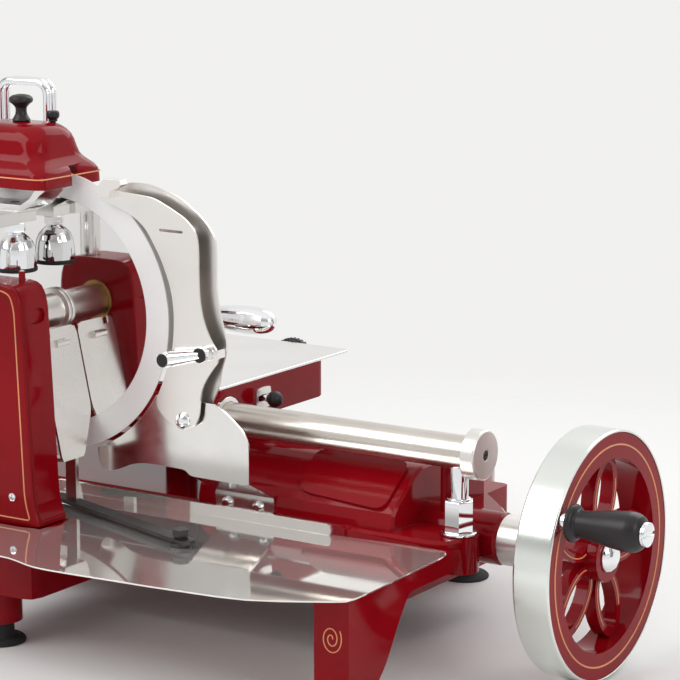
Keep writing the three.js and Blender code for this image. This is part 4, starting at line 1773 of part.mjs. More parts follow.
const flywheel = assembly(WHEEL_BACK_X, SHAFT_Y, SHAFT_Z);
const rimFront = WHEEL_WIDTH - WHEEL_FACE_INSET;
const castRadius = WHEEL_RADIUS - BAND_THICKNESS - SEAT_GAP;
const webFront = WHEEL_WIDTH - WHEEL_WEB_RECESS;
const webBack = webFront - WHEEL_WEB_THICKNESS;
const hubBack = rimFront - WHEEL_HUB_LENGTH;

function ellipse(length, width, centreRadius, turn) {
  return Array.from({ length: PETAL_FACETS }, (_, i) => {
    const angle = (i * 2 * Math.PI) / PETAL_FACETS;
    const along = centreRadius + (length / 2) * Math.cos(angle);
    const across = (width / 2) * Math.sin(angle);
    return [
      along * Math.cos(turn) - across * Math.sin(turn),
      along * Math.sin(turn) + across * Math.cos(turn),
    ];
  });
}

function petal(turn) {
  const centreRadius = WHEEL_RIM_INNER_RADIUS + PETAL_BAR / 3 - PETAL_LENGTH / 2;
  return cut(
    plate("x", ellipse(PETAL_LENGTH, PETAL_WIDTH, centreRadius, turn), webBack, webFront),
    plate(
      "x", ellipse(PETAL_LENGTH - 2 * PETAL_BAR, PETAL_WIDTH - 2 * PETAL_BAR, centreRadius, turn),
      webBack - OVERRUN, webFront + OVERRUN,
    ),
  );
}

const crankTurn = radians(CRANK_ANGLE_DEG);
const crankY = CRANK_RADIUS * Math.cos(crankTurn);
const crankZ = CRANK_RADIUS * Math.sin(crankTurn);
const rimRing = sleeve("x", CENTRE, castRadius, WHEEL_RIM_INNER_RADIUS, WHEEL_FACE_INSET, rimFront, RIM);
const petals = Array.from({ length: PETAL_COUNT },
  (_, i) => petal(crankTurn + (i * 2 * Math.PI) / PETAL_COUNT));
piece(flywheel, "flywheel_casting", "redEnamel", cut(
  join(rimRing, ...petals, rod("x", CENTRE, WHEEL_HUB_RADIUS, hubBack, rimFront)),
  rod("x", CENTRE, SHAFT_RADIUS + SEAT_GAP, hubBack - OVERRUN, webFront + SEAT_GAP),
  rod("x", [0, crankY, crankZ], STUD_RADIUS + SEAT_GAP, rimFront - STUD_ROOT - SEAT_GAP,
    rimFront + OVERRUN, COARSE),
));
piece(flywheel, "flywheel_band", "polishedSteel", sleeve(
  "x", CENTRE, WHEEL_RADIUS, WHEEL_RADIUS - BAND_THICKNESS, 0, WHEEL_WIDTH, RIM,
));
piece(flywheel, "flywheel_hub_cap", "chrome", turned("x", [rimFront + SEAT_GAP, 0, 0], [
  [0, 0], [HUB_CAP_RADIUS, 0], [HUB_CAP_RADIUS, HUB_CAP_HEIGHT * 0.3],
  [HUB_CAP_RADIUS * 0.75, HUB_CAP_HEIGHT * 0.8],
  [0, HUB_CAP_HEIGHT],
]));
const collarStart = SHAFT_HOUSING_END_X + SEAT_GAP - WHEEL_BACK_X;
piece(flywheel, "shaft_collar", "brushedSteel", sleeve(
  "x", CENTRE, COLLAR_RADIUS, SHAFT_RADIUS + SEAT_GAP, collarStart, hubBack - SEAT_GAP,
));

const crank = new THREE.Group();
crank.position.set(rimFront, crankY, crankZ);
flywheel.add(crank);
const flangeEnd = SEAT_GAP + STUD_FLANGE_THICKNESS;
const gripBase = flangeEnd + RUNNING_GAP;
const gripTip = gripBase + GRIP_LENGTH - GRIP_CAP_HEIGHT;
piece(crank, "crank_stud", "chrome", turned("x", CENTRE, [
  [0, -STUD_ROOT], [STUD_RADIUS, -STUD_ROOT], [STUD_RADIUS, SEAT_GAP], [STUD_FLANGE_RADIUS, SEAT_GAP],
  [STUD_FLANGE_RADIUS, flangeEnd], [STUD_RADIUS, flangeEnd], [STUD_RADIUS, gripTip], [0, gripTip],
]));
const gripBore = rod("x", CENTRE, STUD_RADIUS + RUNNING_GAP, flangeEnd, gripTip + OVERRUN);
piece(crank, "crank_grip", "blackPlastic", cut(
  turned("x", CENTRE, [
    [0, gripBase], [GRIP_COLLAR_RADIUS * 0.92, gripBase],
    [GRIP_COLLAR_RADIUS, gripBase + GRIP_COLLAR_LENGTH * 0.3],
    [GRIP_COLLAR_RADIUS * 0.9, gripBase + GRIP_COLLAR_LENGTH],
    [GRIP_NECK_RADIUS, gripBase + GRIP_COLLAR_LENGTH],
    [GRIP_NECK_RADIUS, gripBase + GRIP_LENGTH * 0.15],
    [GRIP_BELLY_RADIUS * 0.9, gripBase + GRIP_LENGTH * 0.5],
    [GRIP_BELLY_RADIUS, gripBase + GRIP_LENGTH * 0.78],
    [GRIP_BELLY_RADIUS * 0.9, gripBase + GRIP_LENGTH * 0.88], [GRIP_END_RADIUS, gripTip], [0, gripTip],
  ]), gripBore,
));
piece(crank, "crank_grip_cap", "chrome", cut(
  turned("x", [gripTip + SEAT_GAP, 0, 0], [
    [0, 0], [GRIP_CAP_RADIUS, 0], [GRIP_CAP_RADIUS * 0.9, GRIP_CAP_HEIGHT * 0.6],
    [GRIP_CAP_RADIUS * 0.5, GRIP_CAP_HEIGHT],
    [0, GRIP_CAP_HEIGHT],
  ]),
  box(
    [gripTip + GRIP_CAP_HEIGHT * 0.6, -GRIP_CAP_RADIUS / 2, -CAP_SLOT_WIDTH / 2],
    [gripTip + GRIP_CAP_HEIGHT + OVERRUN, GRIP_CAP_RADIUS / 2, CAP_SLOT_WIDTH / 2],
  ),
));

// The part's origin is the middle of its footprint on the floor
machine.updateMatrixWorld(true);
const bounds = new THREE.Box3().setFromObject(machine);
const middle = bounds.getCenter(new THREE.Vector3());
machine.position.set(-middle.x, -middle.y, -bounds.min.z);

const slicer = new THREE.Group();
slicer.add(machine);
export default slicer;
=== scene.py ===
"""The looks of a hand crank meat slicer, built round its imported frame.

Sizes are in millimetres, measured from the centre of the blade, as in the source of the part.
X runs along the rail, Y away from the tray and Z up.
Every piece is turned into metres in the row frame when its mesh is made.
"""

import json
import logging
import math
from collections.abc import Callable, Iterable, Sequence
from dataclasses import dataclass, field
from enum import Enum

import bmesh
import bpy
from mathutils import Matrix, Vector

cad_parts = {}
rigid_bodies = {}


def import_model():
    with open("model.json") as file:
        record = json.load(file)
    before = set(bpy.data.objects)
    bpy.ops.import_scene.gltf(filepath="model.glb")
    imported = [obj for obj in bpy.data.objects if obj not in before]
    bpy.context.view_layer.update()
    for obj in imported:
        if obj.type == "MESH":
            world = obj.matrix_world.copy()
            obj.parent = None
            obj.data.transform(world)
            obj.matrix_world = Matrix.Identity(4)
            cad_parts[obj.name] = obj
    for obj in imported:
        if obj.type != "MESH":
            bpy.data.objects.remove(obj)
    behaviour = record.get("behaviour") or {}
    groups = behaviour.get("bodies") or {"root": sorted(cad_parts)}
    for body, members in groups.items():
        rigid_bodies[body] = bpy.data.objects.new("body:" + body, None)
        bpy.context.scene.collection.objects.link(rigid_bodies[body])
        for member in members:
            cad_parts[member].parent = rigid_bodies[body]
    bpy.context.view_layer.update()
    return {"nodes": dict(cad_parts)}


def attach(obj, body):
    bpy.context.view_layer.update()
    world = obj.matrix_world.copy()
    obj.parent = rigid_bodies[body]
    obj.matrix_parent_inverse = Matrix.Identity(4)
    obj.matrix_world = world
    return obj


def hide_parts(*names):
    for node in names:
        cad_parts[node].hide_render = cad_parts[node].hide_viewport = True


LOG = logging.getLogger("slicer")

METRES_PER_MM = 0.001
BLADE_CENTRE = Vector((-231.05, -85.9811, 342.0))

TINY = 1e-6
REFRACTION = 1.5
BUMP_STRENGTH = 0.6
NODE_SHARP_ANGLE = math.radians(30)
LINE_SIDES = 8
LINE_LIFT = 0.05
RIB_SIDES = 10
SEAT = 0.3

Point = tuple[float, float, float]
Pair = tuple[float, float]
Socket = bpy.types.NodeSocket
Row = list[bmesh.types.BMVert]


class Axis(Enum):
    """The axis that a turned or flat piece is built along, with its two cross directions."""

    X = ((1, 0, 0), (0, 1, 0), (0, 0, 1))
    Y = ((0, 1, 0), (0, 0, 1), (1, 0, 0))
    Z = ((0, 0, 1), (1, 0, 0), (0, 1, 0))

    @property
    def along(self) -> Vector:
        """The direction of the axis itself."""
        return Vector(self.value[0])

    @property
    def across(self) -> tuple[Vector, Vector]:
        """The two directions square to the axis."""
        return Vector(self.value[1]), Vector(self.value[2])


class Grain(Enum):
    """How the marks of a metal's finish run."""

    NONE = (0.0, 0.0, 0.0)
    ALONG_X = (6.0, 520.0, 520.0)
    ALONG_Z = (520.0, 520.0, 6.0)
    FINE = (90.0, 90.0, 90.0)


def spot(x: float, y: float, z: float) -> Vector:
    """Turns a point in millimetres from the blade's centre into metres in the row frame."""
    return (Vector((x, y, z)) + BLADE_CENTRE) * METRES_PER_MM


class ShaderGroups:
    """The node groups that several finishes share, each built once."""

    CLOUD_STEP = (0.35, 0.75)
    SPECK_SCALE = 460.0
    SPECK_STEP = (0.66, 0.82)
    DUST_GREY = (0.42, 0.4, 0.37, 1)
    SMEAR_SCALE = 14.0
    SMEAR_STEP = (0.4, 0.7)

    def __init__(self) -> None:
        """Starts with no group built."""
        self._made: dict[str, bpy.types.NodeTree] = {}

    def _start(
        self, name: str, inputs: dict[str, tuple[str, object]], outputs: dict[str, str],
    ) -> tuple[bpy.types.NodeTree, bpy.types.Node, bpy.types.Node]:
        """Opens an empty group with its sockets.

        Args:
            name: The group's name.
            inputs: Socket name to its kind and default value.
            outputs: Socket name to its kind.

        Returns:
            The tree, its input node and its output node.
        """
        tree = bpy.data.node_groups.new(name, "ShaderNodeTree")
        for label, (kind, value) in inputs.items():
            socket = tree.interface.new_socket(label, in_out="INPUT", socket_type=kind)
            socket.default_value = value
        for label, kind in outputs.items():
            tree.interface.new_socket(label, in_out="OUTPUT", socket_type=kind)
        return tree, tree.nodes.new("NodeGroupInput"), tree.nodes.new("NodeGroupOutput")

    def _noise(self, tree: bpy.types.NodeTree, detail: float, roughness: float) -> bpy.types.Node:
        """Adds a noise texture that is read in object coordinates.

        Args:
            tree: The group being built.
            detail: How many octaves the noise has.
            roughness: How strong its finer octaves are.

        Returns:
            The noise node.
        """
        noise = tree.nodes.new("ShaderNodeTexNoise")
        noise.inputs["Detail"].default_value = detail
        noise.inputs["Roughness"].default_value = roughness
        place = tree.nodes.new("ShaderNodeTexCoord")
        tree.links.new(place.outputs["Object"], noise.inputs["Vector"])
        return noise

    def _ramp(self, tree: bpy.types.NodeTree, source: Socket, ends: Pair) -> bpy.types.Node:
        """Adds a smooth step from 0 to 1.

        Args:
            tree: The group being built.
            source: The socket that drives the step.
            ends: The value that gives 0 and the value that gives 1.

        Returns:
            The map range node.
        """
        ramp = tree.nodes.new("ShaderNodeMapRange")
        ramp.interpolation_type = "SMOOTHSTEP"
        ramp.inputs["From Min"].default_value, ramp.inputs["From Max"].default_value = ends
        tree.links.new(source, ramp.inputs["Value"])
        return ramp

    def _mix(
        self, tree: bpy.types.NodeTree, factor: Socket, first: Socket, second: Socket,
    ) -> bpy.types.Node:
        """Adds a colour mix.

        Args:
            tree: The group being built.
            factor: The socket of the share of the second colour.
            first: The first colour's socket.
            second: The second colour's socket.

        Returns:
            The mix node.
        """
        mix = tree.nodes.new("ShaderNodeMix")
        mix.data_type = "RGBA"
        tree.links.new(factor, mix.inputs["Factor"])
        tree.links.new(first, mix.inputs["A"])
        tree.links.new(second, mix.inputs["B"])
        return mix

    def variation(self) -> bpy.types.NodeTree:
        """Two tones of one colour in soft clouds, with fine dust specks on top.

        Returns:
            The node group, with a Color and a Dust output.
        """
        if "variation" in self._made:
            return self._made["variation"]
        tree, enter, leave = self._start(
            "Colour clouds and dust",
            {
                "Base": ("NodeSocketColor", (0.5, 0.5, 0.5, 1)),
                "Shade": ("NodeSocketColor", (0.3, 0.3, 0.3, 1)),
                "Dust": ("NodeSocketFloat", 0.1),
                "Scale": ("NodeSocketFloat", 9.0),
            },
            {"Color": "NodeSocketColor", "Dust": "NodeSocketFloat"},
        )
        clouds = self._noise(tree, 4.0, 0.55)
        tree.links.new(enter.outputs["Scale"], clouds.inputs["Scale"])
        share = self._ramp(tree, clouds.outputs["Fac"], self.CLOUD_STEP)
        toned = self._mix(tree, share.outputs["Result"], enter.outputs["Base"], enter.outputs["Shade"])
        specks = self._noise(tree, 2.0, 0.8)
        specks.inputs["Scale"].default_value = self.SPECK_SCALE
        grey = tree.nodes.new("ShaderNodeRGB")
        grey.outputs[0].default_value = self.DUST_GREY
        dusty = self._ramp(tree, specks.outputs["Fac"], self.SPECK_STEP)
        amount = tree.nodes.new("ShaderNodeMath")
        amount.operation = "MULTIPLY"
        tree.links.new(dusty.outputs["Result"], amount.inputs[0])
        tree.links.new(enter.outputs["Dust"], amount.inputs[1])
        out = self._mix(tree, amount.outputs[0], toned.outputs["Result"], grey.outputs[0])
        tree.links.new(out.outputs["Result"], leave.inputs["Color"])
        tree.links.new(amount.outputs[0], leave.inputs["Dust"])
        self._made["variation"] = tree
        return tree

    def grain(self) -> bpy.types.NodeTree:
        """Fine marks stretched along one direction, with handling smears across them.

        Returns:
            The node group, with a Roughness and a Height output.
        """
        if "grain" in self._made:
            return self._made["grain"]
        tree, enter, leave = self._start(
            "Stretched grain",
            {
                "Stretch": ("NodeSocketVector", (1.0, 1.0, 1.0)),
                "Roughness": ("NodeSocketFloat", 0.25),
                "Spread": ("NodeSocketFloat", 0.08),
                "Smears": ("NodeSocketFloat", 0.05),
            },
            {"Roughness": "NodeSocketFloat", "Height": "NodeSocketFloat"},
        )
        marks = self._noise(tree, 3.0, 0.6)
        marks.inputs["Scale"].default_value = 1.0
        stretch = tree.nodes.new("ShaderNodeVectorMath")
        stretch.operation = "MULTIPLY"
        source = marks.inputs["Vector"].links[0].from_socket
        tree.links.new(source, stretch.inputs[0])
        tree.links.new(enter.outputs["Stretch"], stretch.inputs[1])
        tree.links.new(stretch.outputs[0], marks.inputs["Vector"])
        smears = self._noise(tree, 2.0, 0.4)
        smears.inputs["Scale"].default_value = self.SMEAR_SCALE
        wide = self._ramp(tree, smears.outputs["Fac"], self.SMEAR_STEP)
        spread = tree.nodes.new("ShaderNodeMath")
        spread.operation = "MULTIPLY_ADD"
        tree.links.new(marks.outputs["Fac"], spread.inputs[0])
        tree.links.new(enter.outputs["Spread"], spread.inputs[1])
        tree.links.new(enter.outputs["Roughness"], spread.inputs[2])
        total = tree.nodes.new("ShaderNodeMath")
        total.operation = "MULTIPLY_ADD"
        tree.links.new(wide.outputs["Result"], total.inputs[0])
        tree.links.new(enter.outputs["Smears"], total.inputs[1])
        tree.links.new(spread.outputs[0], total.inputs[2])
        tree.links.new(total.outputs[0], leave.inputs["Roughness"])
        tree.links.new(marks.outputs["Fac"], leave.inputs["Height"])
        self._made["grain"] = tree
        return tree

    def rings(self) -> bpy.types.NodeTree:
        """Marks that run round a centre in the X and Z plane, as on a turned disc.

        Returns:
            The node group, with a Roughness and a Height output.
        """
        if "rings" in self._made:
            return self._made["rings"]
        tree, enter, leave = self._start(
            "Turned rings",
            {
                "Centre": ("NodeSocketVector", (0.0, 0.0, 0.0)),
                "Roughness": ("NodeSocketFloat", 0.2),
                "Spread": ("NodeSocketFloat", 0.1),
                "Count": ("NodeSocketFloat", 1800.0),
            },
            {"Roughness": "NodeSocketFloat", "Height": "NodeSocketFloat"},
        )
        place = tree.nodes.new("ShaderNodeTexCoord")
        offset = tree.nodes.new("ShaderNodeVectorMath")
        offset.operation = "SUBTRACT"
        tree.links.new(place.outputs["Object"], offset.inputs[0])
        tree.links.new(enter.outputs["Centre"], offset.inputs[1])
        distance = tree.nodes.new("ShaderNodeVectorMath")
        distance.operation = "LENGTH"
        tree.links.new(offset.outputs[0], distance.inputs[0])
        scaled = tree.nodes.new("ShaderNodeMath")
        scaled.operation = "MULTIPLY"
        tree.links.new(distance.outputs["Value"], scaled.inputs[0])
        tree.links.new(enter.outputs["Count"], scaled.inputs[1])
        marks = tree.nodes.new("ShaderNodeTexNoise")
        marks.noise_dimensions = "1D"
        marks.inputs["Scale"].default_value = 1.0
        marks.inputs["Detail"].default_value = 3.0
        tree.links.new(scaled.outputs[0], marks.inputs["W"])
        total = tree.nodes.new("ShaderNodeMath")
        total.operation = "MULTIPLY_ADD"
        tree.links.new(marks.outputs["Fac"], total.inputs[0])
        tree.links.new(enter.outputs["Spread"], total.inputs[1])
        tree.links.new(enter.outputs["Roughness"], total.inputs[2])
        tree.links.new(total.outputs[0], leave.inputs["Roughness"])
        tree.links.new(marks.outputs["Fac"], leave.inputs["Height"])
        self._made["rings"] = tree
        return tree


GROUPS = ShaderGroups()


@dataclass(frozen=True)
class Finish:
    """One surface finish, from which a material is made.

    Attributes:
        name: The material's name.
        slot: The record's material slot that it belongs to. It is not used.
        base: The colour in light, as linear shares of red, green and blue.
        shade: The second tone of the colour's clouds.
        metallic: 1 for bare metal, 0 for paint, plastic and rubber.
        roughness: The roughness of the cleanest places.
        spread: How much the grain adds to the roughness.
        smears: How much handling smears add to the roughness.
        grain: The direction of the marks.
        relief: The height of the grain or of the paint's ripple, in millimetres.
        dust: The strength of dust specks.
        ripple: The scale of a soft ripple, for paint and plastic.
        ring_centre: The centre of turned marks, for a disc across Y.
        specular: The strength of the mirror reflection of paint, plastic and rubber.
    """

    name: str
    slot: str
    base: Point
    shade: Point
    metallic: float = 0.0
    roughness: float = 0.3
    spread: float = 0.06
    smears: float = 0.05
    grain: Grain = Grain.NONE
    relief: float = 0.01
    dust: float = 0.06
    ripple: float = 220.0
    ring_centre: Point | None = None
    specular: float = 0.5

    def material(self) -> bpy.types.Material:
        """Makes the material, or finds it when it is already made.

        Returns:
            The material.
        """
        found = bpy.data.materials.get(self.name)
        if found:
            return found
        material = bpy.data.materials.new(self.name)
        material.use_nodes = True
        tree = material.node_tree
        shader = tree.nodes["Principled BSDF"]
        shader.inputs["Metallic"].default_value = self.metallic
        shader.inputs["IOR"].default_value = REFRACTION
        shader.inputs["Specular IOR Level"].default_value = self.specular
        tones = tree.nodes.new("ShaderNodeGroup")
        tones.node_tree = GROUPS.variation()
        tones.inputs["Base"].default_value = (*self.base, 1)
        tones.inputs["Shade"].default_value = (*self.shade, 1)
        tones.inputs["Dust"].default_value = self.dust
        tree.links.new(tones.outputs["Color"], shader.inputs["Base Color"])
        marks = self._marks(tree)
        tree.links.new(marks.outputs["Roughness"], shader.inputs["Roughness"])
        bump = tree.nodes.new("ShaderNodeBump")
        bump.inputs["Strength"].default_value = BUMP_STRENGTH
        bump.inputs["Distance"].default_value = self.relief * METRES_PER_MM
        tree.links.new(marks.outputs["Height"], bump.inputs["Height"])
        tree.links.new(bump.outputs["Normal"], shader.inputs["Normal"])
        return material

    def _marks(self, tree: bpy.types.NodeTree) -> bpy.types.Node:
        """Adds the group that drives the roughness and the relief.

        Args:
            tree: The material's node tree.

        Returns:
            The group node.
        """
        node = tree.nodes.new("ShaderNodeGroup")
        if self.ring_centre is not None:
            node.node_tree = GROUPS.rings()
            node.inputs["Centre"].default_value = spot(*self.ring_centre)
        else:
            node.node_tree = GROUPS.grain()
            stretch = (self.ripple,) * 3 if self.grain is Grain.NONE else self.grain.value
            node.inputs["Stretch"].default_value = stretch
            node.inputs["Smears"].default_value = self.smears
        node.inputs["Roughness"].default_value = self.roughness
        node.inputs["Spread"].default_value = self.spread
        return node


@dataclass(frozen=True)
class Finishes:
    """All the finishes of the slicer."""

    enamel: Finish = Finish(
        "Red enamel", "red_enamel", (0.255, 0.0025, 0.007), (0.2, 0.0012, 0.0045),
        roughness=0.07, spread=0.03, smears=0.02, relief=0.008, dust=0.01, ripple=150.0, specular=0.16,
    )
    gold: Finish = Finish(
        "Gold line", "red_enamel", (0.82, 0.35, 0.16), (0.62, 0.24, 0.1), roughness=0.35, dust=0.02,
    )
    brushed_x: Finish = Finish(
        "Brushed steel along", "brushed_steel", (0.69, 0.65, 0.6), (0.62, 0.58, 0.53), metallic=1.0,
        roughness=0.2, spread=0.16, smears=0.05, grain=Grain.ALONG_X, relief=0.006,
    )
    brushed_z: Finish = Finish(
        "Brushed steel upright", "brushed_steel", (0.91, 0.88, 0.85), (0.86, 0.83, 0.8), metallic=1.0,
        roughness=0.2, spread=0.09, smears=0.02, grain=Grain.ALONG_Z, relief=0.0015, dust=0.01,
    )
    satin: Finish = Finish(
        "Satin steel", "brushed_steel", (0.84, 0.81, 0.78), (0.76, 0.73, 0.7), metallic=1.0,
        roughness=0.24, spread=0.12, smears=0.08, grain=Grain.FINE, relief=0.006,
    )
    mirror: Finish = Finish(
        "Mirror steel", "polished_steel", (0.9, 0.87, 0.84), (0.85, 0.82, 0.79), metallic=0.84,
        roughness=0.02, spread=0.03, smears=0.03, grain=Grain.ALONG_X, relief=0.001, dust=0.01,
    )
    polished: Finish = Finish(
        "Polished steel", "polished_steel", (0.85, 0.84, 0.82), (0.79, 0.78, 0.76), metallic=1.0,
        roughness=0.09, spread=0.1, smears=0.06, grain=Grain.FINE, relief=0.003, dust=0.04,
    )
    band: Finish = Finish(
        "Band steel", "polished_steel", (0.82, 0.85, 0.81), (0.79, 0.82, 0.78), metallic=1.0,
        roughness=0.16, spread=0.03, smears=0.02, relief=0.001, dust=0.0,
    )
    blade: Finish = Finish(
        "Turned blade steel", "polished_steel", (0.87, 0.86, 0.85), (0.82, 0.81, 0.8), metallic=1.0,
        roughness=0.025, spread=0.035, relief=0.001, dust=0.01, ring_centre=(0.0, 0.0, 0.0),
    )
    bevel: Finish = Finish(
        "Ground edge steel", "polished_steel", (0.95, 0.95, 0.95), (0.92, 0.92, 0.92), metallic=0.4,
        roughness=0.34, spread=0.1, relief=0.002, dust=0.01, ring_centre=(0.0, 0.0, 0.0),
    )
    chrome: Finish = Finish(
        "Chrome", "chrome", (0.9, 0.91, 0.93), (0.86, 0.87, 0.89), metallic=1.0,
        roughness=0.03, spread=0.03, smears=0.05, relief=0.002, dust=0.03, ripple=90.0,
    )
    dark: Finish = Finish(
        "Dark steel", "dark_steel", (0.085, 0.082, 0.08), (0.05, 0.048, 0.047), metallic=0.8,
        roughness=0.38, spread=0.16, smears=0.12, grain=Grain.FINE, relief=0.02, dust=0.15,
    )
    black: Finish = Finish(
        "Black plastic", "black_plastic", (0.02, 0.016, 0.018), (0.012, 0.01, 0.011),
        roughness=0.3, spread=0.1, smears=0.08, relief=0.01, dust=0.1, ripple=300.0, specular=0.35,
    )
    rubber: Finish = Finish(
        "Black rubber", "rubber", (0.02, 0.02, 0.02), (0.012, 0.012, 0.012),
        roughness=0.68, spread=0.2, smears=0.1, relief=0.04, dust=0.3, ripple=520.0,
    )
    bronze: Finish = Finish(
        "Bearing bronze", "bronze", (0.42, 0.23, 0.08), (0.3, 0.15, 0.05), metallic=1.0,
        roughness=0.3, spread=0.15, smears=0.1, grain=Grain.FINE, relief=0.01,
    )
    stone: Finish = Finish(
        "Grindstone", "grindstone", (0.3, 0.28, 0.25), (0.2, 0.19, 0.17),
        roughness=0.85, spread=0.1, smears=0.04, relief=0.25, dust=0.3, ripple=900.0,
    )


FINISHES = Finishes()


class MeshKit:
    """Makes plain, closed meshes in the row frame from sizes in millimetres."""

    SHARP_ANGLE = math.radians(38)
    FLAT_ANGLE = math.radians(0.6)
    NODE_WELD = 2e-6
    SHORTEST_REACH = 0.02
    REACH_SHARE = 0.45
    CORNER_POINTS = 4
    SHORT_SIDE = 1e-3
    BALL_STEPS = 24
    SOFT_STEPS = 2

    def __init__(self, nodes: dict[str, bpy.types.Object]) -> None:
        """Keeps the CAD nodes of the frame at hand, by name."""
        self.nodes = nodes

    def _object(self, name: str, build: bmesh.types.BMesh, smooth: float) -> bpy.types.Object:
        """Turns a finished bmesh into an object at the origin.

        Args:
            name: The object's name.
            build: The mesh, in metres in the row frame.
            smooth: The angle over which an edge stays sharp, in radians.

        Returns:
            The object, linked to the scene.
        """
        bmesh.ops.remove_doubles(build, verts=build.verts, dist=TINY)
        bmesh.ops.recalc_face_normals(build, faces=build.faces)
        mesh = bpy.data.meshes.new(name)
        build.to_mesh(mesh)
        build.free()
        mesh.shade_smooth()
        mesh.set_sharp_from_angle(angle=smooth)
        thing = bpy.data.objects.new(name, mesh)
        bpy.context.scene.collection.objects.link(thing)
        even = thing.modifiers.new("Even normals", "WEIGHTED_NORMAL")
        even.keep_sharp = True
        return thing

    @staticmethod
    def filleted(profile: Sequence[Pair], radius: float, closed: bool = False) -> list[Pair]:
        """Rounds the corners of a profile.

        Args:
            profile: The corners, as pairs of millimetres.
            radius: How far from each corner its rounding starts.
            closed: Whether the last corner runs on to the first.

        Returns:
            The profile with a few points in place of each corner.
        """
        if radius <= 0:
            return list(profile)
        count = len(profile)
        out: list[Pair] = []
        for i, point in enumerate(profile):
            if not closed and i in (0, count - 1):
                out.append(point)
                continue
            here = Vector(point)
            before = Vector(profile[i - 1]) - here
            after = Vector(profile[(i + 1) % count]) - here
            reach = min(radius, before.length * MeshKit.REACH_SHARE, after.length * MeshKit.REACH_SHARE)
            if reach < MeshKit.SHORTEST_REACH or before.length < TINY or after.length < TINY:
                out.append(point)
                continue
            start = here + before.normalized() * reach
            end = here + after.normalized() * reach
            for step in range(MeshKit.CORNER_POINTS):
                share = step / (MeshKit.CORNER_POINTS - 1)
                near = start.lerp(here, share)
                far = here.lerp(end, share)
                out.append(tuple(near.lerp(far, share)))
        return out

    def turned(
        self, name: str, axis: Axis, centre: Point, profile: Sequence[Pair],
        fillet: float = 0.4, segments: int = 96, ring: bool = False,
    ) -> bpy.types.Object:
        """Makes a turned piece.

        Args:
            name: The object's name.
            axis: The axis it is turned about.
            centre: The point that the profile is measured from.
            profile: Pairs of radius and place along the axis.
            fillet: How far from each corner its rounding starts.
            segments: How many sides the piece has.
            ring: Whether the profile is a closed loop off the axis.

        Returns:
            The object.
        """
        points = self.filleted(profile, fillet, closed=ring)
        along = axis.along
        first, second = axis.across
        build = bmesh.new()
        rows = []
        for radius, place in points:
            row = []
            sides = segments if radius > TINY else 1
            for i in range(sides):
                angle = 2 * math.pi * i / segments
                out = first * math.cos(angle) + second * math.sin(angle)
                row.append(build.verts.new(spot(*(Vector(centre) + along * place + out * radius))))
            rows.append(row)
        pairs = list(zip(rows, rows[1:]))
        if ring:
            pairs.append((rows[-1], rows[0]))
        for low, high in pairs:
            self._bridge(build, low, high, segments)
        return self._object(name, build, self.SHARP_ANGLE)

    @staticmethod
    def _bridge(build: bmesh.types.BMesh, low: Row, high: Row, segments: int) -> None:
        """Fills the band between two rows of a turned piece.

        Args:
            build: The mesh being made.
            low: The first row, with a single point on the axis or one for each side.
            high: The second row.
            segments: How many sides the piece has.
        """
        if len(low) == 1 and len(high) == 1:
            return
        for i in range(segments):
            after = (i + 1) % segments
            near = (low[i % len(low)], low[after % len(low)])
            far = (high[after % len(high)], high[i % len(high)])
            kept = list(dict.fromkeys((*near, *far)))
            if len(kept) > 2:
                build.faces.new(kept)

    def tube(
        self, name: str, points: Sequence[Point], radius: float, segments: int,
        end_radius: float | None = None, closed: bool = False,
    ) -> bpy.types.Object:
        """Makes a round bar that follows points.

        Args:
            name: The object's name.
            points: The places the bar's middle runs through.
            radius: The bar's radius.
            segments: How many sides it has.
            end_radius: The radius at the far end, when it tapers.
            closed: Whether the bar runs back to its start.

        Returns:
            The object.
        """
        last = radius if end_radius is None else end_radius
        places = [Vector(p) for p in points]
        count = len(places)
        build = bmesh.new()
        rows = []
        side = Vector((0, 0, 1))
        for i, place in enumerate(places):
            before = places[i - 1] if closed or i else place
            after = places[(i + 1) % count] if closed or i + 1 < count else place
            way = (after - before).normalized()
            side = side - way * side.dot(way)
            if side.length < self.SHORT_SIDE:
                side = way.orthogonal()
            side.normalize()
            other = way.cross(side)
            size = radius + (last - radius) * i / max(count - 1, 1)
            row = []
            for k in range(segments):
                angle = 2 * math.pi * k / segments
                out = side * math.cos(angle) + other * math.sin(angle)
                row.append(build.verts.new(spot(*(place + out * size))))
            rows.append(row)
        pairs = list(zip(rows, rows[1:]))
        if closed:
            pairs.append((rows[-1], rows[0]))
        for low, high in pairs:
            self._bridge(build, low, high, segments)
        if not closed:
            build.faces.new(rows[0])
            build.faces.new(rows[-1])
        return self._object(name, build, self.SHARP_ANGLE)

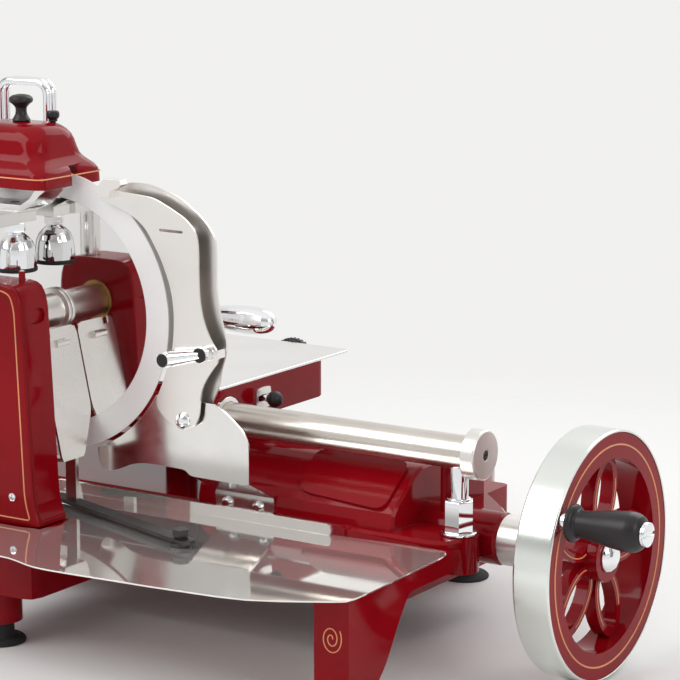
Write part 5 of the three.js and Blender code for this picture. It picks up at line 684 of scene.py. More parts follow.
    def slab(
        self, name: str, axis: Axis, outline: Sequence[Pair], low: float, high: float,
        edge: float = 0.4, corner: float = 0.0, steps: int = 2,
    ) -> bpy.types.Object:
        """Makes a flat piece with rounded edges.

        Args:
            name: The object's name.
            axis: The axis square to its faces.
            outline: Its corners across the axis: Y and Z for X, Z and X for Y, X and Y for Z.
            low: Where it starts along the axis.
            high: Where it ends.
            edge: The width of the rounding along its edges.
            corner: The rounding of the outline's own corners.
            steps: How many facets the edge's rounding has.

        Returns:
            The object.
        """
        along = axis.along
        first, second = axis.across
        build = bmesh.new()
        ring = self.filleted(outline, corner, closed=True)
        verts = [build.verts.new(first * a + second * b + along * low) for a, b in ring]
        face = build.faces.new(verts)
        grown = bmesh.ops.extrude_face_region(build, geom=[face])
        moved = [v for v in grown["geom"] if isinstance(v, bmesh.types.BMVert)]
        bmesh.ops.translate(build, verts=moved, vec=along * (high - low))
        if edge > 0:
            rims = [e for e in build.edges if self._is_rim(e, along)]
            bmesh.ops.bevel(
                build, geom=rims, offset=edge, offset_type="OFFSET", segments=steps, profile=0.5,
                affect="EDGES", clamp_overlap=True,
            )
        for vert in build.verts:
            vert.co = spot(*vert.co)
        return self._object(name, build, self.SHARP_ANGLE)

    def framed(
        self, name: str, axis: Axis, outer: Sequence[Pair], inner: Sequence[Pair],
        low: float, high: float,
    ) -> bpy.types.Object:
        """Makes a flat piece with a hole through it.

        Args:
            name: The object's name.
            axis: The axis square to its faces.
            outer: The points of its outline.
            inner: As many points round the hole.
            low: Where it starts along the axis.
            high: Where it ends.

        Returns:
            The object.
        """
        along = axis.along
        first, second = axis.across
        build = bmesh.new()
        rows = []
        for ring, level in ((outer, low), (outer, high), (inner, high), (inner, low)):
            places = [first * a + second * b + along * level for a, b in ring]
            rows.append([build.verts.new(spot(*place)) for place in places])
        for near, far in zip(rows, rows[1:] + rows[:1]):
            self._bridge(build, near, far, len(outer))
        return self._object(name, build, self.SHARP_ANGLE)

    @staticmethod
    def _is_rim(edge: bmesh.types.BMEdge, along: Vector) -> bool:
        """Tells whether an edge is square to a slab's axis, and so lies in one of its two faces."""
        way = edge.verts[1].co - edge.verts[0].co
        return abs(way.dot(along)) < TINY

    def softened(self, node: str, width: float, limit: float) -> bpy.types.Object:
        """Copies a CAD node and rounds its sharp edges.

        Args:
            node: The CAD node.
            width: The width of the rounding, in millimetres.
            limit: The smallest angle that counts as an edge, in degrees.

        Returns:
            The object.
        """
        build = bmesh.new()
        build.from_mesh(self.nodes[node].data)
        bmesh.ops.remove_doubles(build, verts=build.verts, dist=self.NODE_WELD)
        bmesh.ops.dissolve_limit(
            build, angle_limit=self.FLAT_ANGLE, verts=build.verts, edges=build.edges,
        )
        least = math.radians(limit)
        sharp = [e for e in build.edges if len(e.link_faces) == 2 and e.calc_face_angle(0) > least]
        bmesh.ops.bevel(
            build, geom=sharp, offset=width * METRES_PER_MM, offset_type="OFFSET",
            segments=self.SOFT_STEPS, profile=0.5, affect="EDGES", clamp_overlap=True,
            miter_outer="ARC", loop_slide=True,
        )
        bmesh.ops.triangulate(build, faces=[f for f in build.faces if len(f.verts) > 4])
        return self._object(node + "_look", build, self.SHARP_ANGLE)

    def lofted(self, name: str, rows: Sequence[Sequence[Point]]) -> bpy.types.Object:
        """Makes a closed piece through loops of points.

        Args:
            name: The object's name.
            rows: The loops in order, each with the same number of points.

        Returns:
            The object.
        """
        build = bmesh.new()
        verts = [[build.verts.new(spot(*point)) for point in row] for row in rows]
        for near, far in zip(verts, verts[1:]):
            self._bridge(build, near, far, len(near))
        build.faces.new(verts[0])
        build.faces.new(verts[-1])
        return self._object(name, build, self.SHARP_ANGLE)

    def pierced(self, thing: bpy.types.Object, low: Point, high: Point) -> None:
        """Cuts a block out of a piece.

        Args:
            thing: The piece.
            low: The block's lowest corner.
            high: The block's highest corner.
        """
        outline = [(low[0], low[1]), (high[0], low[1]), (high[0], high[1]), (low[0], high[1])]
        block = self.slab("block", Axis.Z, outline, low[2], high[2], edge=0)
        cut = thing.modifiers.new("Cut", "BOOLEAN")
        cut.operation = "DIFFERENCE"
        cut.object = block
        while thing.modifiers[0] != cut:
            thing.modifiers.move(thing.modifiers.find(cut.name), 0)
        view = bpy.context.evaluated_depsgraph_get()
        mesh = bpy.data.meshes.new_from_object(thing.evaluated_get(view))
        thing.modifiers.remove(cut)
        thing.data = mesh
        bpy.data.objects.remove(block)

    def half_circle(self, radius: float) -> list[Pair]:
        """Gives the profile of a ball about its own centre, from one pole to the other."""
        turns = [math.pi * i / self.BALL_STEPS for i in range(self.BALL_STEPS + 1)]
        return [(radius * math.sin(t), -radius * math.cos(t)) for t in turns]

    def hexagon(self, across: float) -> list[Pair]:
        """Gives the corners of a hexagon round zero.

        Args:
            across: Its width across the flats.

        Returns:
            Six corners.
        """
        reach = across / math.sqrt(3)
        turns = [math.pi * i / 3 for i in range(6)]
        return [(reach * math.cos(t), reach * math.sin(t)) for t in turns]

    def joined(self, name: str, things: Sequence[bpy.types.Object]) -> bpy.types.Object:
        """Joins several objects into one.

        Args:
            name: The new object's name.
            things: The objects, which are used up.

        Returns:
            The joined object.
        """
        build = bmesh.new()
        for thing in things:
            build.from_mesh(thing.data)
            bpy.data.objects.remove(thing)
        mesh = bpy.data.meshes.new(name)
        build.to_mesh(mesh)
        build.free()
        mesh.set_sharp_from_angle(angle=self.SHARP_ANGLE)
        whole = bpy.data.objects.new(name, mesh)
        bpy.context.scene.collection.objects.link(whole)
        return whole


class Repeater:
    """Repeats a small piece along a ring or a path with a node tree, then makes it a plain mesh."""

    def __init__(self) -> None:
        """Starts with no tree built."""
        self._tree: bpy.types.NodeTree | None = None

    def tree(self) -> bpy.types.NodeTree:
        """Builds the node tree once.

        Returns:
            A tree that sets an item on each point of a mesh, turned as the point's stored angle says.
        """
        if self._tree:
            return self._tree
        tree = bpy.data.node_groups.new("Repeat item on points", "GeometryNodeTree")
        face = tree.interface
        face.new_socket("Points", in_out="INPUT", socket_type="NodeSocketGeometry")
        face.new_socket("Item", in_out="INPUT", socket_type="NodeSocketObject")
        face.new_socket("Finish", in_out="INPUT", socket_type="NodeSocketMaterial")
        face.new_socket("Mesh", in_out="OUTPUT", socket_type="NodeSocketGeometry")
        enter = tree.nodes.new("NodeGroupInput")
        leave = tree.nodes.new("NodeGroupOutput")
        item = tree.nodes.new("GeometryNodeObjectInfo")
        turn = tree.nodes.new("GeometryNodeInputNamedAttribute")
        turn.data_type = "FLOAT_VECTOR"
        turn.inputs["Name"].default_value = "turn"
        place = tree.nodes.new("GeometryNodeInstanceOnPoints")
        real = tree.nodes.new("GeometryNodeRealizeInstances")
        paint = tree.nodes.new("GeometryNodeSetMaterial")
        link = tree.links.new
        link(enter.outputs["Item"], item.inputs["Object"])
        link(enter.outputs["Points"], place.inputs["Points"])
        link(item.outputs["Geometry"], place.inputs["Instance"])
        link(turn.outputs["Attribute"], place.inputs["Rotation"])
        link(place.outputs["Instances"], real.inputs["Geometry"])
        link(real.outputs["Geometry"], paint.inputs["Geometry"])
        link(enter.outputs["Finish"], paint.inputs["Material"])
        link(paint.outputs["Geometry"], leave.inputs["Mesh"])
        self._tree = tree
        return tree

    def repeat(
        self, name: str, item: bpy.types.Object, places: Sequence[tuple[Vector, Vector]], finish: Finish,
    ) -> bpy.types.Object:
        """Sets copies of an item at the given places.

        Args:
            name: The new object's name.
            item: The small piece, made round the world's zero in metres. It is used up.
            places: For each copy its point in metres and its turn in radians about X, Y and Z.
            finish: The finish of all the copies.

        Returns:
            The copies as one plain mesh.
        """
        mesh = bpy.data.meshes.new(name)
        mesh.from_pydata([tuple(point) for point, _ in places], [], [])
        turns = mesh.attributes.new("turn", "FLOAT_VECTOR", "POINT")
        turns.data.foreach_set("vector", [value for _, turn in places for value in turn])
        host = bpy.data.objects.new(name, mesh)
        bpy.context.scene.collection.objects.link(host)
        modifier = host.modifiers.new("Repeat", "NODES")
        modifier.node_group = self.tree()
        sockets = modifier.node_group.interface.items_tree
        named = {s.name: s.identifier for s in sockets if s.in_out == "INPUT"}
        modifier[named["Item"]] = item
        modifier[named["Finish"]] = finish.material()
        bpy.context.view_layer.update()
        graph = bpy.context.evaluated_depsgraph_get()
        plain = bpy.data.meshes.new_from_object(host.evaluated_get(graph))
        host.modifiers.clear()
        host.data = plain
        host.data.shade_smooth()
        host.data.set_sharp_from_angle(angle=MeshKit.SHARP_ANGLE)
        bpy.data.objects.remove(item)
        return host


def dress(thing: bpy.types.Object, finish: Finish) -> None:
    """Gives an object one finish.

    Args:
        thing: The object.
        finish: The finish.
    """
    thing.data.materials.clear()
    thing.data.materials.append(finish.material())


@dataclass
class SubAssembly:
    """A group of pieces that are built and dressed together.

    Attributes:
        kit: The maker of meshes.
        repeater: The maker of repeated pieces.
    """

    SLOT_SHARE = 0.14
    LIP_STEPS = 24
    LIP_EDGE = 0.25

    kit: MeshKit
    repeater: Repeater

    def show(
        self, thing: bpy.types.Object, finish: Finish, body: str, replaces: Iterable[str] = (),
    ) -> None:
        """Dresses a finished piece and hangs it on its body.

        Args:
            thing: The piece, in place in the row frame.
            finish: Its finish.
            body: The CAD body that it moves with.
            replaces: The CAD nodes that it stands for.
        """
        dress(thing, finish)
        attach(thing, body)
        if replaces:
            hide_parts(*replaces)
        LOG.info("made %s, which moves with %s", thing.name, body)

    def soften(
        self, node: str, body: str, finish: Finish, width: float, limit: float = 30.0,
    ) -> None:
        """Shows a CAD node with the edges over a limit in degrees rounded by a width."""
        self.show(self.kit.softened(node, width, limit), finish, body, [node])

    def paint_node(self, node: str, finish: Finish) -> None:
        """Gives a CAD node a finish and smooth shading where it is round.

        Args:
            node: The CAD node.
            finish: Its finish.
        """
        thing = self.kit.nodes[node]
        dress(thing, finish)
        thing.data.shade_smooth()
        thing.data.set_sharp_from_angle(angle=NODE_SHARP_ANGLE)
        LOG.info("painted %s", node)

    def line(
        self, name: str, points: Sequence[Point], body: str, radius: float, closed: bool = False,
    ) -> None:
        """Lays a thin gold line, which is a round bar half sunk in the paint, through points."""
        tube = self.kit.tube(name, points, radius, LINE_SIDES, closed=closed)
        self.show(tube, FINISHES.gold, body)

    def ribs(
        self, name: str, body: str, axis: Axis, centre: Point, reach: float, half: Pair, count: int,
    ) -> None:
        """Repeats a small rib round a black knob.

        Args:
            name: The ribs' name.
            body: The CAD body that they move with.
            axis: The knob's axis, X or Y.
            centre: The ribs' middle on that axis.
            reach: The radius that the ribs stand on.
            half: Half a rib's length and half its thickness.
            count: How many ribs there are.
        """
        along = axis.along
        level = axis.across[0] if axis is Axis.X else axis.across[1]
        upright = Vector((0, 0, 1))
        length, thickness = half
        bar = self.kit.tube("rib", [-along * length, along * length], thickness, RIB_SIDES)
        item = self.zeroed(bar)
        places = []
        for i in range(count):
            angle = 2 * math.pi * i / count
            out = level * math.cos(angle) + upright * math.sin(angle)
            places.append((spot(*(Vector(centre) + out * reach)), Vector((0, 0, 0))))
        copies = self.repeater.repeat(name, item, places, FINISHES.black)
        self.show(copies, FINISHES.black, body)

    def zeroed(self, thing: bpy.types.Object) -> bpy.types.Object:
        """Moves a piece made round the blade's centre to the world's zero, and gives it back."""
        thing.data.transform(Matrix.Translation(-spot(0, 0, 0)))
        return thing

    def slotted_screw(
        self, name: str, axis: Axis, centre: Point, radius: float, height: float, side: int,
    ) -> bpy.types.Object:
        """Makes a round screw head with a slot across it.

        Args:
            name: The screw's name.
            axis: The screw's axis.
            centre: The middle of its seat.
            radius: The head's radius.
            height: The head's height.
            side: 1 for a head that points along the axis, -1 for one that points back.

        Returns:
            The screw head.
        """
        half_slot = radius * self.SLOT_SHARE
        floor = side * height / 2
        profile = [(0, 0), (radius, 0), (radius, floor), (0, floor)]
        base = self.kit.turned(name, axis, centre, profile, 0.2, 48)
        lips = []
        start = math.asin(half_slot / radius)
        for turn in (0.0, math.pi):
            outline = []
            for i in range(self.LIP_STEPS + 1):
                angle = turn + start + (math.pi - 2 * start) * i / self.LIP_STEPS
                outline.append((radius * math.cos(angle), radius * math.sin(angle)))
            lips.append(self._raised(name, axis, centre, outline, floor, side * height))
        return self.kit.joined(name, [base, *lips])

    def _raised(
        self, name: str, axis: Axis, centre: Point, outline: Sequence[Pair], low: float, high: float,
    ) -> bpy.types.Object:
        """Makes a small flat piece whose outline is given from its own centre.

        Args:
            name: The piece's name.
            axis: The axis square to it.
            centre: The point that all its sizes are measured from.
            outline: Its corners.
            low: Where it starts along the axis.
            high: Where it ends.

        Returns:
            The piece.
        """
        first, second = axis.across
        here = Vector(centre)
        shift = (here.dot(first), here.dot(second))
        along = here.dot(axis.along)
        placed = [(a + shift[0], b + shift[1]) for a, b in outline]
        bottom, top = sorted((along + low, along + high))
        return self.kit.slab(name, axis, placed, bottom, top, edge=self.LIP_EDGE)


@dataclass
class Base(SubAssembly):
    """The red casting on its rubber feet."""

    floor: float = -342.0
    foot_height: float = 24.0
    foot_rim: float = 27.5
    foot_hub: float = 15.0
    feet: dict[str, Pair] = field(default_factory=lambda: {
        "foot_rear_right": (290.0, 376.0),
        "foot_rear_left": (-170.0, 376.0),
        "foot_front_left": (0.0, -104.0),
        "foot_front_right": (450.0, -129.0),
    })
    edge: float = 2.4
    scroll_at: Point = (450.0, -150.05, -252.0)
    scroll_turns: float = 2.1
    scroll_radii: Pair = (1.5, 12.0)
    scroll_stretch: float = 1.3
    scroll_points: int = 60

    def build(self) -> None:
        """Builds the casting's look, the feet and the gold lines."""
        self.soften("base_casting", "base", FINISHES.enamel, self.edge, 24)
        rim, hub, height = self.foot_rim, self.foot_hub, self.foot_height
        profile = [
            (0, 0), (rim - 1, 0), (rim, 1.2), (rim, 3.2), (rim - 3, 6), (hub + 2, 6.6), (hub, 9),
            (hub, height - 5), (hub - 0.8, height - 4), (hub, height - 3), (hub, height), (0, height),
        ]
        for name, (x, y) in self.feet.items():
            foot = self.kit.turned(name + "_look", Axis.Z, (x, y, self.floor), profile, 0.8)
            self.show(foot, FINISHES.rubber, "base", [name])
        self._scroll()

    def _scroll(self) -> None:
        """Lays a small gold scroll on the front of the right leg."""
        x, y, z = self.scroll_at
        inner, outer = self.scroll_radii
        points = []
        for i in range(self.scroll_points):
            share = i / (self.scroll_points - 1)
            turn = share * self.scroll_turns * 2 * math.pi
            reach = inner + (outer - inner) * share
            rise = reach * math.sin(turn) * self.scroll_stretch
            points.append((x + reach * math.cos(turn), y, z + rise))
        self.line("leg_scroll", points, "base", 0.6)


@dataclass
class Rail(SubAssembly):
    """The steel tube that the carriage slides on, with its caps and pillars."""

    y: float = 78.0
    z: float = -113.5
    radius: float = 17.5
    wall: float = 3.0
    left: float = -215.0
    right: float = 470.7
    cap_radius: float = 26.0
    cap_thickness: float = 16.0
    plug_depth: float = 4.0
    well: Pair = (5.4, 3.2)
    pillar_inset: float = 14.7
    pillar_radius: float = 9.5
    deck: float = -199.5
    nut_across: float = 28.0
    nut_height: float = 33.0
    washer_radius: float = 19.0
    washer_height: float = 2.9
    collar_radius: float = 12.2
    screw_size: Pair = (4.8, 2.4)

    def build(self) -> None:
        """Builds the tube, its caps and its pillars."""
        bore = self.radius - self.wall
        left, right, r = self.left, self.right, self.radius
        tube = self.kit.turned("rail_tube_look", Axis.X, (0, self.y, self.z), [
            (bore, left), (r, left), (r, right), (bore, right),
        ], 0.5, 128, ring=True)
        self.show(tube, FINISHES.brushed_x, "base", ["rail_tube"])
        for side, end, node in ((1, right, "rail_cap_right"), (-1, left, "rail_cap_left")):
            self._cap(side, end, node)
        self._pillar(right - self.pillar_inset, "right")
        self._pillar(left + self.pillar_inset, "left")

    def _cap(self, side: int, end: float, node: str) -> None:
        """Builds one end cap with its slotted screw.

        Args:
            side: 1 for the cap on the right, -1 for the one on the left.
            end: The tube's end.
            node: The CAD node.
        """
        near = end + side * SEAT
        plug, low = self.radius - self.wall - SEAT, -self.plug_depth
        rim, face = self.cap_radius, self.cap_thickness
        well, floor = self.well[0], face - self.well[1]
        profile = [
            (0, low), (plug, low), (plug, 0), (rim, 0), (rim, face - 1.5), (rim - 1.5, face),
            (well, face), (well, floor), (0, floor),
        ]
        placed = [(r, side * a) for r, a in profile]
        cap = self.kit.turned(node + "_look", Axis.X, (near, self.y, self.z), placed, 0.8, 128)
        self.show(cap, FINISHES.satin, "base", [node])
        seat = (near + side * (floor + 0.1), self.y, self.z)
        screw = self.slotted_screw(node + "_screw", Axis.X, seat, *self.screw_size, side)
        self.show(screw, FINISHES.dark, "base")

    def _pillar(self, x: float, side: str) -> None:
        """Builds one pillar with its washer and nut.

        Args:
            x: The pillar's place along the rail.
            side: The side in the CAD node's name.
        """
        low = self.deck + SEAT
        top = low + self.washer_height
        post_top = self.z - self.radius + 8
        post_low = self.deck - 18
        nut_top = top + self.nut_height
        nut = self.kit.slab(
            "nut", Axis.Z, [(x + a, self.y + b) for a, b in self.kit.hexagon(self.nut_across)],
            top, nut_top, edge=1.1, steps=3,
        )
        r = self.pillar_radius
        post = self.kit.turned("post", Axis.Z, (x, self.y, 0), [
            (0, post_low), (r, post_low), (r, post_top), (0, post_top),
        ])
        r = self.washer_radius
        washer = self.kit.turned("washer", Axis.Z, (x, self.y, 0), [
            (0, low), (r, low), (r, top), (0, top),
        ], 0.9)
        r = self.collar_radius
        collar = self.kit.turned("collar", Axis.Z, (x, self.y, 0), [
            (0, nut_top - 0.5), (r, nut_top - 0.5), (r, nut_top + 2), (0, nut_top + 2),
        ], 0.6)
        whole = self.kit.joined(f"rail_pillar_{side}_look", [post, washer, nut, collar])
        self.show(whole, FINISHES.chrome, "base", [f"rail_pillar_{side}"])


@dataclass
class DriveTrain(SubAssembly):
    """The shafts, gears and chain between the wheel and the blade."""

    sprocket_y: float = -96.0
    cross_z: float = -223.2429
    chain_radius: float = 23.9
    link_pitch: float = 9.6
    link_half_width: float = 4.8
    link_half_size: Pair = (1.6, 5.6)
    plate_thickness: float = 1.2
    pin_size: Pair = (1.4, 4.6)

    def build(self) -> None:
        """Dresses the hidden shafts and builds the chain from links."""
        for node in ("main_shaft", "layshaft", "cross_shaft"):
            self.paint_node(node, FINISHES.dark)
        self.paint_node("shaft_bush", FINISHES.bronze)
        self._chain()

    def _chain(self) -> None:
        """Repeats a link round both sprockets."""
        side = math.pi * self.chain_radius
        straight = -self.cross_z
        total = 2 * (side + straight)
        count = round(total / self.link_pitch)
        places = []
        for i in range(count):
            places.append(self._place(total * i / count, side, straight))
        a, b = self.link_half_size
        outline = self.kit.filleted([(-a, -b), (a, -b), (a, b), (-a, b)], 1.5, closed=True)
        thick = self.plate_thickness
        plates = []
        for offset in (-self.link_half_width, self.link_half_width - thick):
            plates.append(self.kit.slab("link", Axis.Y, outline, offset, offset + thick, edge=0.2))
        r, reach = self.pin_size
        pin = self.kit.turned("link_pin", Axis.Y, (0, 0, 0), [
            (0, -reach), (r, -reach), (r, reach), (0, reach),
        ], 0.2, 16)
        link = self.zeroed(self.kit.joined("link", [*plates, pin]))
        chain = self.repeater.repeat("drive_chain_look", link, places, FINISHES.dark)
        self.show(chain, FINISHES.dark, "base", ["drive_chain"])

    def _place(self, run: float, side: float, straight: float) -> tuple[Vector, Vector]:
        """Finds a link's place on the chain's path.

        Args:
            run: The distance along the path.
            side: The length of each half turn.
            straight: The length of each straight run.

        Returns:
            The link's point in metres and its turn.
        """
        radius = self.chain_radius
        if run < side:
            angle = run / radius
            point = (radius * math.cos(angle), radius * math.sin(angle))
            turn = -angle
        elif run < side + straight:
            point = (-radius, -(run - side))
            turn = math.pi
        elif run < 2 * side + straight:
            angle = math.pi + (run - side - straight) / radius
            point = (radius * math.cos(angle), self.cross_z + radius * math.sin(angle))
            turn = -angle
        else:
            point = (radius, self.cross_z + run - 2 * side - straight)
            turn = 0.0
        return spot(point[0], self.sprocket_y, point[1]), Vector((0, turn, 0))


@dataclass
class Blade(SubAssembly):
    """The round blade with its spindle, bearing and centre screw."""

    radius: float = 150.0
    half_thickness: float = 1.5
    half_edge: float = 0.4
    disc_radius: float = 122.0
    edge_step: Pair = (0.05, 0.06)
    bore: float = 9.9
    column_back: float = -73.0
    segments: int = 192
    tooth_count: int = 18

    def build(self) -> None:
        """Builds the blade and all that turns with it."""
        t, r = self.half_thickness, self.disc_radius
        disc = self.kit.turned("blade_disc", Axis.Y, (0, 0, 0), [
            (self.bore, -t), (r, -t), (r, t), (self.bore, t),
        ], 0, self.segments, ring=True)
        self.show(disc, FINISHES.blade, "blade", ["blade"])
        start, root = r + self.edge_step[0], t - self.edge_step[1]
        edge = self.kit.turned("blade_edge", Axis.Y, (0, 0, 0), [
            (start, -root), (self.radius, -self.half_edge), (self.radius, self.half_edge), (start, root),
        ], 0.1, self.segments, ring=True)
        self.show(edge, FINISHES.bevel, "blade")
        self._spindle()
        self._centre_screw()
        self._bearing()

    def _spindle(self) -> None:
        """Builds the spindle with its flange and sprocket."""
        body = self.kit.turned("spindle", Axis.Y, (0, 0, 0), [
            (0, -106.8), (8, -106.8), (8, -92.2), (12, -92.2), (12, -70.4), (18, -70.4), (18, -6.8),
            (24, -6.8), (24, -1.8), (9.7, -1.8), (9.7, 1.5), (0, 1.5),
        ], 0.8)
        teeth = []
        for i in range(self.tooth_count):
            for turn, reach in ((0, 19), (0.18, 22), (0.42, 22), (0.6, 19)):
                angle = (i + turn) * 2 * math.pi / self.tooth_count
                teeth.append((reach * math.sin(angle), reach * math.cos(angle)))
        sprocket = self.kit.slab("sprocket", Axis.Y, teeth, -99.5, -92.5, edge=0.3)
        whole = self.kit.joined("blade_spindle_look", [body, sprocket])
        self.show(whole, FINISHES.satin, "blade", ["blade_spindle"])

    def _centre_screw(self) -> None:
        """Builds the domed screw in the blade's middle."""
        dome = self.kit.turned("centre_screw", Axis.Y, (0, 1.8, 0), [
            (0, 0), (14, 0), (13.4, 1.4), (11.2, 2.8), (7, 3.7), (4, 3.7), (4, 2.4), (0, 2.4),
        ], 0.7)
        self.show(dome, FINISHES.chrome, "blade", ["blade_centre_screw"])

    def _bearing(self) -> None:
        """Builds the bronze bearing in the column's back."""
        back = self.column_back
        ring = self.kit.turned("spindle_bearing_look", Axis.Y, (0, 0, 0), [
            (12.3, back - 11.7), (16.3, back - 11.7), (16.3, back + 0.3), (22, back + 0.3),
            (22, back + 2.3), (12.3, back + 2.3),
        ], 0.4, ring=True)
        self.show(ring, FINISHES.bronze, "base", ["spindle_bearing"])


@dataclass
class Column(SubAssembly):
    """The red column that carries the blade, with its front cover."""

    front: float = -119.0
    top: float = 46.0
    foot: float = -207.0
    half_width: float = 60.0
    shares: tuple[Pair, ...] = (
        (1.12, 0.03), (1.04, 0.07), (0.98, 0.13), (0.81, 0.9), (0.71, 0.96), (0.5, 0.975),
    )
    line_inset: float = 9.0
    screw_size: Pair = (4.2, 1.8)
    screw_drop: float = 24.0
    screw_rise: float = 30.0
    screw_spread: float = 34.0

    def build(self) -> None:
        """Builds the column, its cover, the gold line and the cover's screws."""
        self.soften("knife_column", "base", FINISHES.enamel, 1.0)
        self.soften("column_cover", "base", FINISHES.enamel, 1.2)
        height = self.top - self.foot
        half = self.half_width - self.line_inset
        right = [(half * a, self.foot + height * b) for a, b in self.shares]
        left = [(-x, z) for x, z in reversed(right)]
        rounded = self.kit.filleted([*right, *left], 8.0, closed=True)
        path = [(x, self.front - LINE_LIFT, z) for x, z in rounded]
        self.line("column_line", path, "base", 0.8, closed=True)
        low, high, out = self.foot + self.screw_rise, self.top - self.screw_drop, self.screw_spread
        for i, (x, z) in enumerate(((0.0, high), (-out, low), (out, low))):
            seat = (x, self.front + 0.1, z)
            screw = self.slotted_screw(f"cover_screw_{i}", Axis.Y, seat, *self.screw_size, -1)
            self.show(screw, FINISHES.chrome, "base")


@dataclass
class TrayGroup(SubAssembly):
    """The receiving tray and the lower knife plate with its bolts."""

    bolt_x: Pair = (192.0, 231.0)
    bolt_z: float = -196.0
    bolt_face: float = 43.9
    bolt_depth: float = 8.8

    def build(self) -> None:
        """Builds the tray, the plate and the bolts."""
        self.soften("receiving_tray", "base", FINISHES.mirror, 0.35)
        self.soften("lower_knife_plate", "base", FINISHES.polished, 0.5)
        face = self.bolt_face
        shank = face + self.bolt_depth
        for i, x in enumerate(self.bolt_x):
            head = self.kit.turned("bolt", Axis.Y, (x, 0, self.bolt_z), [
                (0, face - 4.2), (4.2, face - 3.8), (6.4, face - 2.0), (7, face - 1), (7, face),
                (3, face), (3, shank), (0, shank),
            ], 0.5, 64)
            self.show(head, FINISHES.chrome, "base", [f"plate_bolt_{i + 1}"])


@dataclass
class Guard(SubAssembly):
    """The guard plates at the blade's rear edge, with their pivot and clamp lever."""

    pivot: Pair = (173.0, -100.0)
    front_face: float = -8.0
    lever: Pair = (204.0, -25.0)
    lever_angle: float = 192.0
    lever_length: float = 38.0
    lever_radii: Pair = (5.5, 8.3)
    disc_radius: float = 8.0
    disc_thickness: float = 14.0
    ball_radius: float = 8.4
    end_rim: Pair = (7.9, 8.3)
    arm_share: float = 0.7
    ball_share: float = 0.8
    arm_steps: int = 8

    def build(self) -> None:
        """Builds both plates, the pivot bolt and the lever."""
        self.soften("guard_front_plate", "guard", FINISHES.brushed_z, 0.5)
        self.soften("guard_rear_plate", "guard", FINISHES.satin, 0.5)
        x, z = self.pivot
        head = self.front_face - SEAT
        bolt = self.kit.turned("guard_pivot_bolt_look", Axis.Y, (x, 0, z), [
            (0, head - 4.9), (4.6, head - 4.3), (7.9, head - 2.4), (9, head - 1.2), (9, head),
            (4, head), (4, 8.3), (0, 8.3),
        ], 0.7)
        self.show(bolt, FINISHES.chrome, "base", ["guard_pivot_bolt"])
        self._lever()

    def _lever(self) -> None:
        """Builds the clamp lever, with a black cap on its hub and one in the rim of its ball."""
        x, z = self.lever
        face = self.front_face - SEAT
        middle = face - self.disc_thickness * self.arm_share
        angle = math.radians(self.lever_angle)
        low = face - self.disc_thickness
        r = self.disc_radius
        disc = self.kit.turned("lever_disc", Axis.Y, (x, 0, z), [
            (0, low), (6.0, low), (r, face - 12), (r, face - 1), (7.4, face), (3.5, face),
            (3.5, face + 2.7), (0, face + 2.7),
        ], 1.0, 64)
        points = []
        for i in range(self.arm_steps + 1):
            reach = self.lever_length * i / self.arm_steps
            points.append((x + reach * math.cos(angle), middle, z + reach * math.sin(angle)))
        root, tip = self.lever_radii
        arm = self.kit.tube("lever_arm", points, root, 48, end_radius=tip)
        r = self.ball_radius
        reach = self.lever_length + r * self.ball_share
        ball_at = (x + reach * math.cos(angle), middle, z + reach * math.sin(angle))
        rim, front = self.end_rim
        arc = [(0, -front), (rim - 0.4, -front), (rim, 0.4 - front)]
        cut = -math.sqrt(r * r - rim * rim)
        arc.extend(point for point in self.kit.half_circle(r) if point[1] > cut)
        ball = self.kit.turned("lever_ball", Axis.Y, ball_at, arc, 0, 64)
        whole = self.kit.joined("guard_lever_look", [disc, arm, ball])
        self.show(whole, FINISHES.chrome, "guard_lever", ["guard_lever"])
        cap = self.kit.turned("lever_cap", Axis.Y, (x, 0, z), [
            (0, low - 0.6), (7.0, low - 0.5), (7.7, low + 0.1), (7.7, low + 3), (0, low + 3),
        ], 0.3, 48)
        self.show(cap, FINISHES.black, "guard_lever")
        end = self.kit.turned("lever_end", Axis.Y, ball_at, [
            (0, -front - 0.5), (rim - 1.2, -front - 0.45), (rim - 0.7, -front + 0.1),
            (0, -front + 0.1),
        ], 0.2, 48)
        self.show(end, FINISHES.black, "guard_lever")


@dataclass
class Deflector(SubAssembly):
    """The bent plate that turns each slice down to the tray, on its arm."""

    def build(self) -> None:
        """Builds the plate, its arm and its stud."""
        self.soften("deflector_plate", "deflector", FINISHES.brushed_z, 0.45)
        self.soften("deflector_arm", "deflector", FINISHES.dark, 0.7)
        self.soften("deflector_stud", "base", FINISHES.dark, 0.5)


